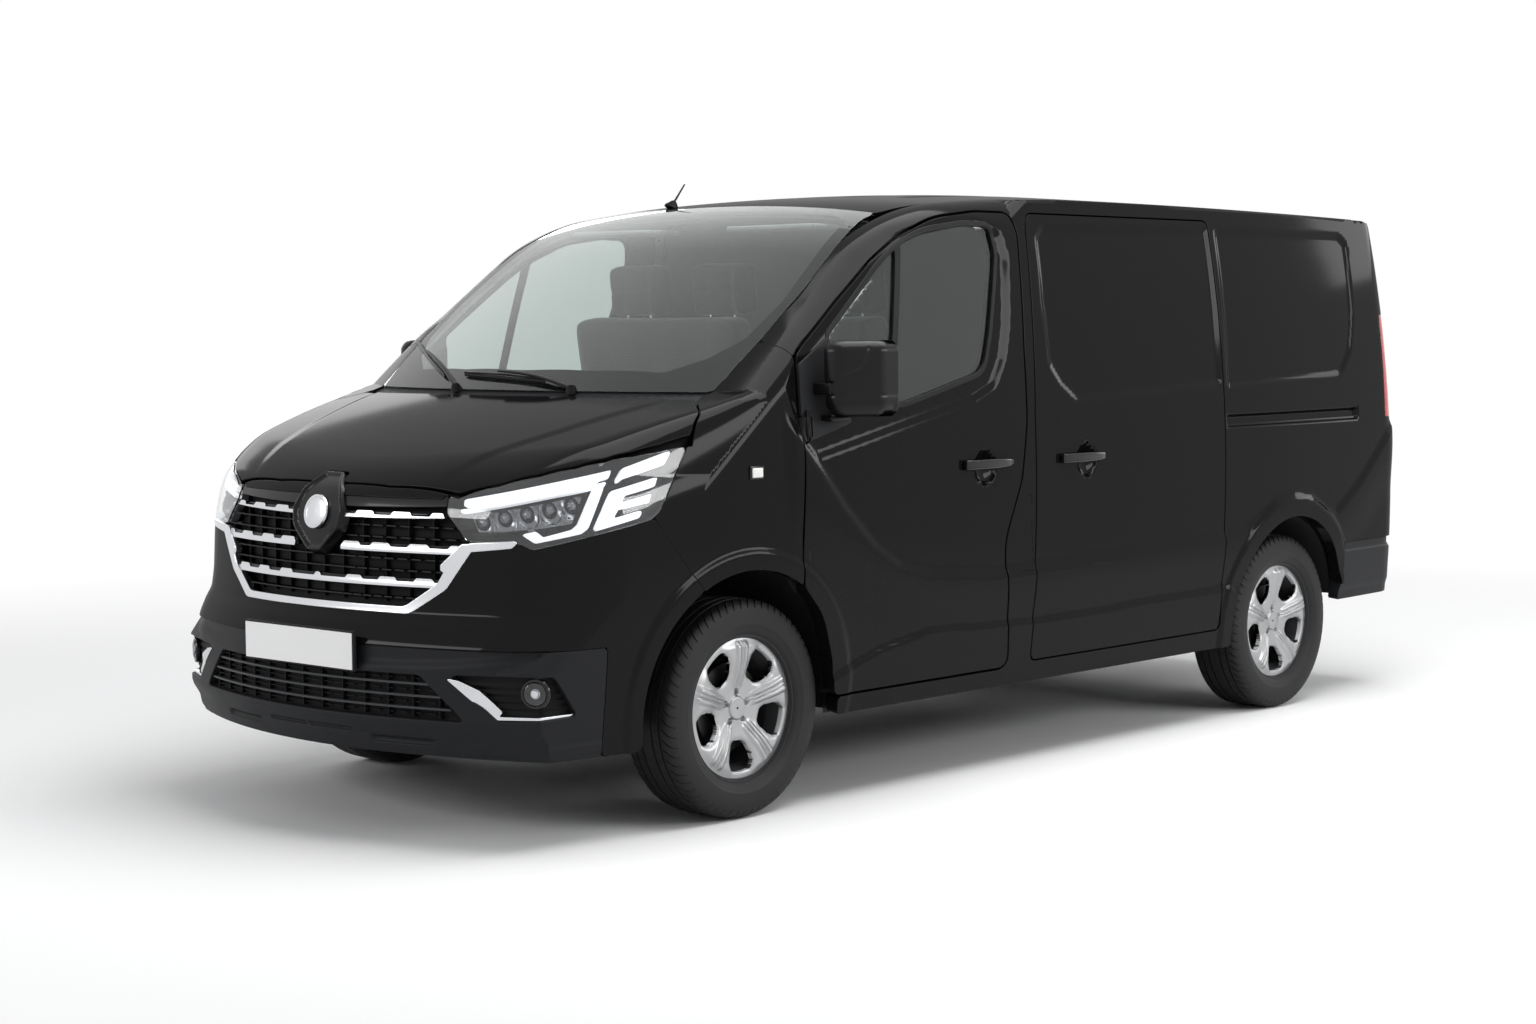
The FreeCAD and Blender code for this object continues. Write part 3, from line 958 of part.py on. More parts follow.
def seat(x, width, rests):
    """Base, cushion, leaning back and headrests as one upholstered piece."""
    low = S.floor_top + S.seam
    cushion_low = low + S.seat_base_height
    cushion_top = cushion_low + S.cushion_height
    back_y = S.seat_y + S.seat_length / 2
    base = block(x - width / 2 + S.seat_rounding, x + width / 2 - S.seat_rounding, S.seat_y - S.seat_length / 2 + S.post_depth,
                 back_y, low, cushion_low)
    cushion = block(x - width / 2, x + width / 2, S.seat_y - S.seat_length / 2, back_y, cushion_low, cushion_top)
    cushion = cushion.makeFillet(S.seat_rounding, cushion.Edges)
    back = side_prism([(back_y - S.back_wall, cushion_low + S.seat_rounding),
                       (back_y, cushion_low + S.seat_rounding, S.seat_rounding),
                       (back_y + S.seat_lean, cushion_top + S.back_height, S.seat_rounding),
                       (back_y + S.seat_lean - S.back_wall, cushion_top + S.back_height, S.seat_rounding)],
                      x - width / 2 + S.seat_gap, x + width / 2 - S.seat_gap)
    parts = [cushion, back]
    for centre in rests:
        rest = block(centre - S.headrest_width / 2, centre + S.headrest_width / 2, back_y + S.seat_lean - S.headrest_wall,
                     back_y + S.seat_lean, cushion_top + S.back_height - S.seat_gap,
                     cushion_top + S.back_height + S.headrest_height)
        parts.append(rest.makeFillet(S.seat_rounding, rest.Edges))
    return largest(joined(base, *parts))


feature("driver_seat", seat(S.seat_x, S.seat_width, [S.seat_x]))
bench_rests = [S.bench_x - S.bench_width / 4, S.bench_x + S.bench_width / 4]
feature("passenger_bench", seat(S.bench_x, S.bench_width, bench_rests))

# Engine as one plain block on the rails
engine = block(-S.engine_width / 2, S.engine_width / 2, S.engine_y, S.engine_y + S.engine_length, S.engine_z,
               S.engine_z + S.engine_height)
lug_x = S.rail_x - S.rail_width / 2 - S.seam
lug = block(-lug_x, lug_x, S.engine_y + S.post_depth * 2, S.engine_y + S.post_depth * 3, S.engine_z,
            S.engine_z + S.rail_height / 3)
feature("engine_block", joined(engine, lug))

# Front subframe with its two lower arms
lean = math.radians(S.king_pin_lean)
pin_way = V(-math.sin(lean), 0, math.cos(lean))
pin_at = V(S.king_pin_x, S.front_axle_y, S.tyre_radius)
frame_low = S.subframe_z - S.subframe_height / 2
frame_top = S.subframe_z + S.subframe_height / 2
beam_end = S.rail_x + S.rail_width / 2
crossbeam = block(-beam_end, beam_end, S.front_axle_y - S.subframe_depth / 2, S.front_axle_y + S.subframe_depth / 2,
                  frame_low, frame_top)
hanger = block(S.rail_x - S.rail_width / 2, beam_end, S.front_axle_y - S.subframe_depth / 2,
               S.front_axle_y + S.subframe_depth / 2, frame_top, rail_low - S.seam)
ball_z = S.tyre_radius - S.ball_drop
ball_x = S.king_pin_x + S.ball_drop * math.tan(lean)
arm_plan = [(beam_end - S.wishbone_width, S.front_axle_y - S.wishbone_width), (ball_x, S.front_axle_y - S.ball_half),
            (ball_x + S.ball_half, S.front_axle_y - S.ball_half, S.ball_half),
            (ball_x + S.ball_half, S.front_axle_y + S.ball_half, S.ball_half), (ball_x, S.front_axle_y + S.ball_half),
            (beam_end - S.wishbone_width, S.front_axle_y + S.wishbone_width)]
lower_arm = plan_prism(arm_plan, ball_z - S.wishbone_height / 2, ball_z + S.wishbone_height / 2)
pin_bore = Part.makeCylinder(S.ball_pin_radius + S.seam, S.overrun, pin_at - pin_way * S.overrun, pin_way)
lower_arm = lower_arm.cut(pin_bore)
subframe = joined(crossbeam, *(both(hanger) + both(lower_arm)))
feature("front_subframe", largest(subframe))

# Steering knuckle with stub axle, strut and ball pin, one each side
stub = Part.makeCylinder(S.bore_radius - S.seam, S.front_track / 2 + S.stub_reach - S.king_pin_x + S.knuckle_inset,
                         V(S.king_pin_x - S.knuckle_inset, S.front_axle_y, S.tyre_radius), V(1, 0, 0))
carrier = block(S.king_pin_x - S.knuckle_inset, S.king_pin_x - S.knuckle_inset + S.knuckle_wall,
                S.front_axle_y - S.knuckle_length / 2, S.front_axle_y + S.knuckle_length / 2,
                ball_z + S.wishbone_height / 2 + S.door_gap, S.tyre_radius + S.knuckle_rise)
tongue_low = ball_z + S.wishbone_height / 2 + S.door_gap
tongue = block(S.king_pin_x - S.knuckle_inset, ball_x + S.ball_half, S.front_axle_y - S.ball_half,
               S.front_axle_y + S.ball_half, tongue_low, tongue_low + S.wishbone_height)
ball_pin = Part.makeCylinder(S.ball_pin_radius, S.ball_pin_length, pin_at - pin_way * (S.ball_drop + S.ball_pin_length / 2),
                             pin_way)
strut_foot = S.knuckle_rise - S.knuckle_wall * 2
house_top_z = S.tyre_radius + S.arch_lift + S.house_radius
strut_length = (house_top_z - S.tyre_radius - S.door_gap) / math.cos(lean) - strut_foot
strut = Part.makeCylinder(S.strut_radius, strut_length, pin_at + pin_way * strut_foot, pin_way)
knuckle = largest(joined(carrier, stub, tongue, ball_pin, strut))
feature("knuckle_left", knuckle)
feature("knuckle_right", mirrored(knuckle))

# Rear axle beam, trailing arms and springs
beam = Part.makeCylinder(S.beam_radius, 2 * S.beam_half, V(-S.beam_half, S.rear_axle_y, S.tyre_radius), V(1, 0, 0))
rear_stub = Part.makeCylinder(S.bore_radius - S.seam, S.rear_track + 2 * S.stub_reach,
                              V(-S.rear_track / 2 - S.stub_reach, S.rear_axle_y, S.tyre_radius), V(1, 0, 0))
trail = block(S.arm_x - S.arm_width / 2, S.arm_x + S.arm_width / 2, S.rear_axle_y - S.arm_length, S.rear_axle_y,
              S.tyre_radius - S.arm_height / 2, S.tyre_radius + S.arm_height / 2)
bracket = block(S.arm_x - S.arm_width / 2, S.arm_x + S.arm_width / 2, S.rear_axle_y - S.arm_length,
                S.rear_axle_y - S.arm_length + S.arm_height, S.tyre_radius + S.arm_height / 2, floor_low - S.seam)
spring = upright(S.arm_x, S.rear_axle_y, S.tyre_radius, S.beam_radius, floor_low - S.seam - S.tyre_radius)
feature("rear_axle", largest(joined(beam, rear_stub, *(both(trail) + both(bracket) + both(spring)))))

# Fuel tank and exhaust under the floor
tank = block(S.tank_x - S.tank_width / 2, S.tank_x + S.tank_width / 2, S.tank_y, S.tank_y + S.tank_length,
             floor_low - S.seam - S.tank_height, floor_low - S.seam)
tank = tank.makeFillet(S.seat_rounding, tank.Edges[:4])
feature("fuel_tank", tank)
pipe_start = S.engine_y + S.engine_length + S.pipe_radius + S.seam
pipe = Part.makeCylinder(S.pipe_radius, S.pipe_rear_y - pipe_start, V(S.pipe_x, pipe_start, S.pipe_z), V(0, 1, 0))
down = upright(S.pipe_x, pipe_start, S.pipe_z, S.pipe_radius, S.down_pipe)
elbow = Part.makeSphere(S.pipe_radius, V(S.pipe_x, pipe_start, S.pipe_z))
silencer = Part.makeCylinder(S.silencer_radius, S.silencer_length, V(S.pipe_x, S.silencer_y - S.silencer_length / 2, S.pipe_z),
                             V(0, 1, 0))
strap = block(S.pipe_x - S.pipe_radius, S.pipe_x + S.pipe_radius, S.silencer_y - S.pipe_radius, S.silencer_y + S.pipe_radius,
              S.pipe_z, floor_low - S.seam)
feature("exhaust", largest(joined(pipe, down, elbow, silencer, strap)))


# Wheels: tyre and rim turned about X, built once at the origin with the face to +X

def sketched(body, name, plane, points):
    """Closed sketch whose corners are held by sums of named sizes."""
    sk = body.newObject("Sketcher::SketchObject", name)
    sk.AttachmentSupport = (body.Origin.OriginFeatures[plane], [""])
    sk.MapMode = "FlatFace"
    count = len(points)
    start = [V(S.rim_width * math.cos(2 * math.pi * i / count), S.rim_width * (2 + math.sin(2 * math.pi * i / count)), 0)
             for i in range(count)]
    for i in range(count):
        sk.addGeometry(Part.LineSegment(start[i], start[(i + 1) % count]), False)
    for i in range(count):
        sk.addConstraint(Sketcher.Constraint("Coincident", i, 2, (i + 1) % count, 1))
    for i in range(count):
        for way, value, text in (("X", start[i].x, points[i][0]), ("Y", start[i].y, points[i][1])):
            index = sk.addConstraint(Sketcher.Constraint("Distance" + way, -1, 1, i, 1, value))
            sk.renameConstraint(index, way.lower() + str(i))
            sk.setExpression("Constraints." + way.lower() + str(i), bound(text))
    doc.recompute()
    return sk


def turned(name, points):
    body = doc.addObject("PartDesign::Body", name)
    sk = sketched(body, name + "_profile", 3, points)
    turn = body.newObject("PartDesign::Revolution", name + "_turn")
    turn.Profile = sk
    turn.ReferenceAxis = (sk, ["H_Axis"])
    turn.Angle = 360
    body.Tip = turn
    doc.recompute()
    return body


tyre_points = [
    ("-bead_half", "bead_radius + seam"), ("-bead_half", "rim_flange + panel_gap"), ("-tyre_width / 2", "tyre_side"),
    ("-tyre_width / 2 + tyre_crown", "tyre_radius - tyre_shoulder"), ("-tread_width / 2", "tyre_radius - tyre_crown"),
    ("-tread_width / 4", "tyre_radius"), ("tread_width / 4", "tyre_radius"), ("tread_width / 2", "tyre_radius - tyre_crown"),
    ("tyre_width / 2 - tyre_crown", "tyre_radius - tyre_shoulder"), ("tyre_width / 2", "tyre_side"),
    ("bead_half", "rim_flange + panel_gap"), ("bead_half", "bead_radius + seam"),
    ("bead_half - tyre_wall", "bead_radius + seam"), ("bead_half - tyre_wall", "rim_flange + tyre_wall"),
    ("tyre_width / 2 - tyre_wall", "tyre_side"), ("tread_width / 2 - tyre_wall", "tyre_radius - tyre_shoulder"),
    ("-tread_width / 2 + tyre_wall", "tyre_radius - tyre_shoulder"), ("-tyre_width / 2 + tyre_wall", "tyre_side"),
    ("-bead_half + tyre_wall", "rim_flange + tyre_wall"), ("-bead_half + tyre_wall", "bead_radius + seam")]
rim_points = [
    ("-rim_width / 2", "rim_flange"), ("-rim_width / 2 + rim_wall", "rim_flange"),
    ("-rim_width / 2 + rim_wall", "bead_radius"), ("rim_width / 2 - rim_wall", "bead_radius"),
    ("rim_width / 2 - rim_wall", "rim_flange"), ("rim_width / 2", "rim_flange"),
    ("rim_width / 2", "bead_radius - rim_wall"), ("disc_offset + disc_wall", "bead_radius - rim_wall"),
    ("disc_offset + disc_wall", "bore_radius"), ("-rotor_back", "bore_radius"), ("-rotor_back", "disc_rotor_radius"),
    ("-rotor_back + rotor_wall", "disc_rotor_radius"), ("-rotor_back + rotor_wall", "hub_radius"),
    ("disc_offset", "hub_radius"), ("disc_offset", "bead_radius - rim_wall"), ("-rim_width / 2", "bead_radius - rim_wall")]

tyre_body = turned("tyre_front_left", tyre_points)
rim_body = turned("rim_front_left", rim_points)
opening = sketched(rim_body, "opening_profile", 5, [
    ("-opening_inner_half", "window_inner"), ("opening_inner_half", "window_inner"),
    ("opening_outer_half", "window_outer"), ("-opening_outer_half", "window_outer")])
pocket = rim_body.newObject("PartDesign::Pocket", "opening_cut")
pocket.Profile = opening
pocket.Type = 1
pocket.Midplane = False
pocket.Reversed = True
doc.recompute()
pattern = rim_body.newObject("PartDesign::PolarPattern", "openings")
pattern.Originals = [pocket]
pattern.Axis = (rim_body.Origin.OriginFeatures[0], [""])
pattern.Angle = 360
pattern.Occurrences = 5
rim_body.Tip = pattern
doc.recompute()

wheel_places = {
    "front_left": (S.front_track / 2, S.front_axle_y, False), "front_right": (-S.front_track / 2, S.front_axle_y, True),
    "rear_left": (S.rear_track / 2, S.rear_axle_y, False), "rear_right": (-S.rear_track / 2, S.rear_axle_y, True)}
for kind, body in (("tyre", tyre_body), ("rim", rim_body)):
    shape = body.Shape.copy()
    for corner, (x, y, flip) in wheel_places.items():
        if corner == "front_left":
            part = node(body)
        else:
            part = feature(kind + "_" + corner, mirrored(shape) if flip else shape.copy())
        part.Placement = FreeCAD.Placement(V(x, y, S.tyre_radius), FreeCAD.Rotation())

doc.recompute()
for obj in doc.Objects:
    if "Invalid" in obj.State or "Error" in obj.State:
        raise ValueError(obj.Label + " did not recompute")
for part in nodes:
    if part.Shape.isNull() or not part.Shape.isValid():
        raise ValueError(part.Label + " has no valid shape")
for part in nodes:
    part.Shape.exportStep("parts/" + part.Label + ".step")
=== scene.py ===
import bpy
import bmesh
import json
import math
import numpy as np
from mathutils import Matrix, Vector


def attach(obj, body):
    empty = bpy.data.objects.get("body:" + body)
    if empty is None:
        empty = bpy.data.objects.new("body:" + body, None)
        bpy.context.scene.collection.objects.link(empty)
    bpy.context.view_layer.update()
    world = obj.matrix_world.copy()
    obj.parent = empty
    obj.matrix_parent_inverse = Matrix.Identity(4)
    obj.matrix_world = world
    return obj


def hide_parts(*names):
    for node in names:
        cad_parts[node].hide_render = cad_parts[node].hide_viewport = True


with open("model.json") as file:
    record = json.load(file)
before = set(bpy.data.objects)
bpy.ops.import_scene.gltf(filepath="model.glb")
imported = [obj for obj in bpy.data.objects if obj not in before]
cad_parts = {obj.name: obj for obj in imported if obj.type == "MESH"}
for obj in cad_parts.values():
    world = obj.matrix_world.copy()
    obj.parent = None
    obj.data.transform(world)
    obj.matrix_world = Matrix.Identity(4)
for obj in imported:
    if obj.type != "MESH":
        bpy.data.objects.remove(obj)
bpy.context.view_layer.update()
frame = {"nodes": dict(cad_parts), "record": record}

# Body sides: pressed steel sides with pillars, cant rail and rear corner in one,
# painted gloss black. The outer skin is one smooth hull that all panels share.
HALF, NOSE_Y, TAIL_Y, ROOF_Z = 0.976, -2.540, 2.536, 2.003
nose_levels = np.array([150, 312, 375, 480, 582, 640, 690, 760, 860, 968, 1040, 1093, 1140]) / 1000
nose_setbacks = np.array([90, 35, 2, 0, 3, 30, 62, 70, 71, 82, 108, 150, 205]) / 1000


def rounded_max(a, b, blend):
    gap = np.maximum(blend - np.abs(a - b), 0) / blend
    return np.maximum(a, b) + gap * gap * blend / 4


def through(xs, ys, x):
    """Smooth curve through given points, straight beyond its ends."""
    step = np.diff(ys) / np.diff(xs)
    slope = np.concatenate([[step[0]], np.zeros(len(xs) - 2), [step[-1]]])
    same = step[:-1] * step[1:] > 0
    slope[1:-1][same] = 2 * (step[:-1] * step[1:])[same] / (step[:-1] + step[1:])[same]
    k = np.clip(np.searchsorted(xs, x) - 1, 0, len(xs) - 2)
    span = xs[k + 1] - xs[k]
    t = (x - xs[k]) / span
    inside = ((2 * t - 3) * t * t + 1) * ys[k] + ((t - 2) * t + 1) * t * span * slope[k] \
        + (3 - 2 * t) * t * t * ys[k + 1] + (t - 1) * t * t * span * slope[k + 1]
    ends = np.where(t < 0, ys[k] + step[k] * (x - xs[k]), ys[k + 1] + step[k] * (x - xs[k + 1]))
    return np.where((t < 0) | (t > 1), ends, inside)


def hull(x, y, z):
    """Signed distance to the body's outer skin, negative inside: crowned faces, blended where they meet."""
    half = HALF - (z - 0.95) ** 2 / 9.9
    half = half - np.maximum(-1.25 - y, 0) ** 2 / 12.4 - np.maximum(y - 1.3, 0) ** 2 / 32
    side = np.abs(x) - half
    nose = NOSE_Y + through(nose_levels, nose_setbacks, z) + x * x / 3.57 - y
    t = (-1.72 - y) / 0.668
    bonnet = (z - 1.305 + 0.164 * t + 0.048 * t * np.abs(t) + x * x / 22.2) * 0.95
    t = (y - x * x / 4.348 + 1.72) / 0.82
    screen = (z - 1.3 - 0.605 * t - 0.1 * t * (1 - t)) * 0.81
    roof = z - ROOF_Z + (y - 0.3) ** 2 / np.where(y < 0.3, 18.0, 160.0) + x * x / 17.24
    shoulder = 0.18 + 0.07 * np.clip((z - 0.7) / 0.3, 0, 1)
    shoulder = shoulder + (0.06 - shoulder) * np.clip((z - 1.08) / 0.22, 0, 1)
    low = np.maximum(rounded_max(rounded_max(bonnet, nose, 0.06), side, shoulder), roof)
    pillar = 0.06 + 0.035 * np.clip((z - 1.3) / 0.5, 0, 1)
    high = np.maximum(rounded_max(rounded_max(screen, roof, 0.12), side, pillar), nose)
    tail = y - TAIL_Y + (z - 0.6) * 0.0556 + x * x / 16.666
    return rounded_max(np.minimum(low, high), tail, 0.13)


def cast(start, way):
    """Distance along each ray to the hull, found by halving."""
    low = np.zeros(len(start))
    high = np.full(len(start), 1.95)
    for i in range(24):
        mid = (low + high) / 2
        inside = hull(*(start + way * mid[:, None]).T) < 0
        low = np.where(inside, mid, low)
        high = np.where(inside, high, mid)
    return high


def reach(start, way):
    """The same for one ray."""
    return cast(np.array([start], float), np.array([way], float))[0]


def side_chart(u, v):
    """Level rays to the side, turned over the cant rail by height and round the rear corner by length."""
    top = 1.79 - np.maximum(-0.2 - u, 0) ** 2 / 3.0
    turn = np.maximum(u - 2.3, 0) / 0.25
    lift = np.maximum(v - top, 0) / 0.25
    start = np.stack([np.full_like(u, 0.7), np.minimum(u, 2.3), np.minimum(v, top)], 1)
    way = np.stack([np.cos(turn) * np.cos(lift), np.sin(turn) * np.cos(lift), np.sin(lift)], 1)
    return start, way


def nose_chart(u, v):
    """Rays out of the engine bay by bearing, lifted above the lamps' foot by height."""
    lift = np.maximum(v - 0.881, 0) / 0.7
    start = np.stack([np.zeros_like(u), np.full_like(u, -1.621), np.minimum(v, 0.881)], 1)
    way = np.stack([np.sin(u) * np.cos(lift), -np.cos(u) * np.cos(lift), np.sin(lift)], 1)
    return start, way


def top_chart(u, v):
    """Upright rays by length, turned down over the tail."""
    turn = np.maximum(v - 2.29, 0) / 0.2
    start = np.stack([u, np.minimum(v, 2.29), np.full_like(u, 1.2)], 1)
    start[:, 2] = np.where(v > -0.8, 1.795, 1.14)
    return start, np.stack([np.zeros_like(u), np.sin(turn), np.cos(turn)], 1)


def tail_chart(u, v):
    """Level rays to the rear."""
    start = np.stack([u, np.full_like(u, 2.0), v], 1)
    return start, np.stack([np.zeros_like(u), np.ones_like(u), np.zeros_like(u)], 1)


def step_chart(u, v):
    """Level rays by bearing from the rear axle's middle."""
    start = np.stack([np.zeros_like(u), np.full_like(u, 1.572), v], 1)
    return start, np.stack([np.sin(u), np.cos(u), np.zeros_like(u)], 1)


def upright_chart(level):
    """Upright rays from a level inside the body."""
    def chart(u, v):
        start = np.stack([u, v, np.full_like(u, level)], 1)
        return start, np.stack([np.zeros_like(u), np.zeros_like(u), np.ones_like(u)], 1)
    return chart


def outline(points):
    """Closed outline of (u, v) or (u, v, radius) corners as a dense polyline."""
    result = []
    count = len(points)
    most = 0.48
    for i in range(count):
        p = np.array(points[i][:2], float)
        a, b = np.array(points[i - 1][:2], float), np.array(points[(i + 1) % count][:2], float)
        radius = points[i][2] if len(points[i]) > 2 else 0
        if radius <= 0:
            result.append(p)
            continue
        la, lb = np.linalg.norm(a - p), np.linalg.norm(b - p)
        da, db = (a - p) / la, (b - p) / lb
        half = math.acos(np.clip(da @ db, -1, 1)) / 2
        cut = min(radius / math.tan(half), la * most, lb * most)
        for t in np.linspace(0, 1, 7):
            result.append((1 - t) ** 2 * (p + da * cut) + 2 * t * (1 - t) * p + t * t * (p + db * cut))
    return np.array(result)


def within(line, u, v):
    """Signed distance to a closed polyline, negative inside."""
    best = np.full(len(u), 1e9)
    odd = np.zeros(len(u), bool)
    for a, b in zip(line, np.roll(line, -1, 0)):
        d = b - a
        if d @ d < 1e-14:
            continue
        t = np.clip(((u - a[0]) * d[0] + (v - a[1]) * d[1]) / (d @ d), 0, 1)
        best = np.minimum(best, (u - a[0] - t * d[0]) ** 2 + (v - a[1] - t * d[1]) ** 2)
        cross = (a[1] > v) != (b[1] > v)
        rise = d[1] if d[1] != 0 else 1e-12
        odd ^= cross & (u < d[0] * (v - a[1]) / rise + a[0])
    best = np.sqrt(best)
    return np.where(odd, -best, best)


def beside(line, u, v):
    """Signed distance to an open polyline running towards +u, positive below it."""
    best = np.full(len(u), 1e9)
    for a, b in zip(line[:-1], line[1:]):
        d = b - a
        t = np.clip(((u - a[0]) * d[0] + (v - a[1]) * d[1]) / (d @ d), 0, 1)
        best = np.minimum(best, np.hypot(u - a[0] - t * d[0], v - a[1] - t * d[1]))
    level = np.interp(u, line[:, 0], line[:, 1])
    return np.where(v < level, best, -best)


def ease(t):
    t = np.clip(t, 0, 1)
    return t * t * (3 - 2 * t)


class Sheet:
    """Vertices, normals and faces of one or more skins."""

    def __init__(self):
        self.points, self.normals, self.faces = [], [], []
        self.count = 0

    def add(self, points, normals, faces):
        self.points.append(points)
        self.normals.append(normals)
        self.faces += [[i + self.count for i in f] for f in faces]
        self.count += len(points)
        return self

    def mirrored(self):
        other = Sheet()
        flip = np.array([-1.0, 1, 1])
        other.add(np.concatenate(self.points) * flip, np.concatenate(self.normals) * flip,
                  [f[::-1] for f in self.faces])
        return other

    def join(self, other):
        return self.add(np.concatenate(other.points), np.concatenate(other.normals), other.faces)

    def both(self):
        """This skin and its mirror image in one."""
        return Sheet().join(self).join(self.mirrored())


def cut_grid(us, vs, level):
    """Points and faces of a grid, cut off where level(u, v) is above zero."""
    U, V = np.meshgrid(us, vs, indexing="ij")
    F = level(U.ravel(), V.ravel()).reshape(U.shape)
    gu, gv = np.gradient(F, us, axis=0), np.gradient(F, vs, axis=1)
    near = np.abs(F) < 0.22 * np.hypot(gu * (us[1] - us[0]), gv * (vs[1] - vs[0]))
    square = gu * gu + gv * gv + 1e-12
    most_u, most_v = 0.3 * np.gradient(U, axis=0), 0.3 * np.gradient(V, axis=1)
    index = np.arange(U.size).reshape(U.shape)
    u = list((U - np.where(near, np.clip(F * gu / square, -most_u, most_u), 0)).ravel())
    v = list((V - np.where(near, np.clip(F * gv / square, -most_v, most_v), 0)).ravel())
    f = np.where(near, 0.0, F).ravel()
    quads = np.stack([index[:-1, :-1], index[1:, :-1], index[1:, 1:], index[:-1, 1:]], -1).reshape(-1, 4)
    whole, some = (f[quads] <= 0).all(1), (f[quads] < 0).any(1)
    faces = [list(q) for q in quads[whole & some]]
    made = {}
    for q in quads[some & ~whole]:
        poly = []
        for k in range(4):
            a, b = int(q[k]), int(q[(k + 1) % 4])
            if f[a] <= 0:
                poly.append(a)
            if (f[a] < 0 < f[b]) or (f[b] < 0 < f[a]):
                first, last = min(a, b), max(a, b)
                if (first, last) not in made:
                    t = f[first] / (f[first] - f[last])
                    made[first, last] = len(u)
                    u.append(u[first] + t * (u[last] - u[first]))
                    v.append(v[first] + t * (v[last] - v[first]))
                poly.append(made[first, last])
        if len(poly) > 2:
            faces.append(poly)
    used = sorted({i for face in faces for i in face})
    number = {old: new for new, old in enumerate(used)}
    faces = [[number[i] for i in face] for face in faces]
    u, v = np.array(u)[used], np.array(v)[used]
    cut = np.array([i >= f.size or f[i] == 0 for i in used])
    nudge, most = 0.0005, 0.004
    for i in range(2):
        uu, vv = u[cut], v[cut]
        f0 = level(uu, vv)
        fu = (level(uu + nudge, vv) - f0) / nudge
        fv = (level(uu, vv + nudge) - f0) / nudge
        square = fu * fu + fv * fv + 1e-9
        u[cut] = uu - np.clip(f0 * fu / square, -most, most)
        v[cut] = vv - np.clip(f0 * fv / square, -most, most)
    return u, v, faces


def open_edges(faces):
    """The edges that only one face has."""
    edges = dict.fromkeys((a, b) for face in faces for a, b in zip(face, face[1:] + face[:1]))
    return [(a, b) for a, b in edges if (b, a) not in edges]


def panel(chart, us, vs, field, relief=None, rim=0.002, wall=0.014, closed=False, outside=0.0, flip=False):
    """A skin on the hull where field(x, y, z) is negative, with rolled edges that turn in by wall."""

    def on_hull(u, v):
        start, way = chart(u, v)
        return start + way * cast(start, way)[:, None], way

    def level(u, v):
        return field(*on_hull(u, v)[0].T) + rim

    def place(u, v):
        p, way = on_hull(u, v)
        if relief is not None:
            p = p + way * relief(*p.T)[:, None]
        return p + way * outside

    u, v, faces = cut_grid(us, vs, level)
    nudge = 0.0008
    p = place(u, v)
    normal = np.cross(place(u + nudge, v) - p, place(u, v + nudge) - p)
    normal /= np.linalg.norm(normal, axis=1)[:, None] + 1e-12
    if flip:
        normal = -normal
        faces = [face[::-1] for face in faces]
    rim_edges = open_edges(faces)
    outward = np.zeros_like(p)
    for a, b in rim_edges:
        d = p[b] - p[a]
        length = np.linalg.norm(d)
        if length > 1e-7:
            side = np.cross(d / length, normal[a] + normal[b])
            outward[a] += side
            outward[b] += side
    ring = sorted({i for edge in rim_edges for i in edge})
    at = {old: k for k, old in enumerate(ring)}
    n = normal[ring]
    t = outward[ring]
    t -= n * (t * n).sum(1)[:, None]
    t /= np.linalg.norm(t, axis=1)[:, None] + 1e-12
    points, normals = [p], [normal]
    total, skin = len(p), len(faces)
    previous = {i: i for i in ring}
    for angle, depth in ((30, 0), (60, 0), (90, 0), (90, wall)):
        s, c = math.sin(math.radians(angle)), math.cos(math.radians(angle))
        points.append(p[ring] + t * rim * s - n * (rim * (1 - c) + depth))
        normals.append(n * c + t * s)
        current = {i: total + at[i] for i in ring}
        faces += [[previous[b], previous[a], current[a], current[b]] for a, b in rim_edges]
        previous = current
        total += len(ring)
    if closed:
        points.append(p - normal * (wall + rim))
        normals.append(-normal)
        faces += [[i + total for i in face[::-1]] for face in faces[:skin]]
        faces += [[previous[b], previous[a], total + a, total + b] for a, b in rim_edges]
    return Sheet().add(np.concatenate(points), np.concatenate(normals), faces)


def linked(name, mesh, material):
    """A new piece with this mesh and material, in the scene."""
    mesh.materials.append(material)
    piece = bpy.data.objects.new(name, mesh)
    bpy.context.collection.objects.link(piece)
    return piece


def build(name, sheet, material, body="van", stands_for=()):
    mesh = bpy.data.meshes.new(name)
    mesh.from_pydata(np.concatenate(sheet.points).tolist(), [], sheet.faces)
    mesh.shade_smooth()
    mesh.normals_split_custom_set_from_vertices(np.concatenate(sheet.normals).tolist())
    piece = linked(name, mesh, material)
    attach(piece, body)
    if stands_for:
        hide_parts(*stands_for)


def empty_tree(owner):
    """The node tree of a new material or world, with nothing in it."""
    owner.use_nodes = True
    owner.node_tree.nodes.clear()
    return owner.node_tree


def add_node(tree, kind, inputs=None, **settings):
    """A new node; each input named is linked where an output is given for it, and set otherwise."""
    made = tree.nodes.new("ShaderNode" + kind)
    for name, value in settings.items():
        setattr(made, name, value)
    for socket, value in (inputs or {}).items():
        if isinstance(value, bpy.types.NodeSocket):
            tree.links.new(value, made.inputs[socket])
        else:
            made.inputs[socket].default_value = value
    return made


def shaded(tree, inputs):
    """Ends a material's tree in a principled shader with these inputs."""
    shader = add_node(tree, "BsdfPrincipled", inputs)
    add_node(tree, "OutputMaterial", {0: shader.outputs[0]})


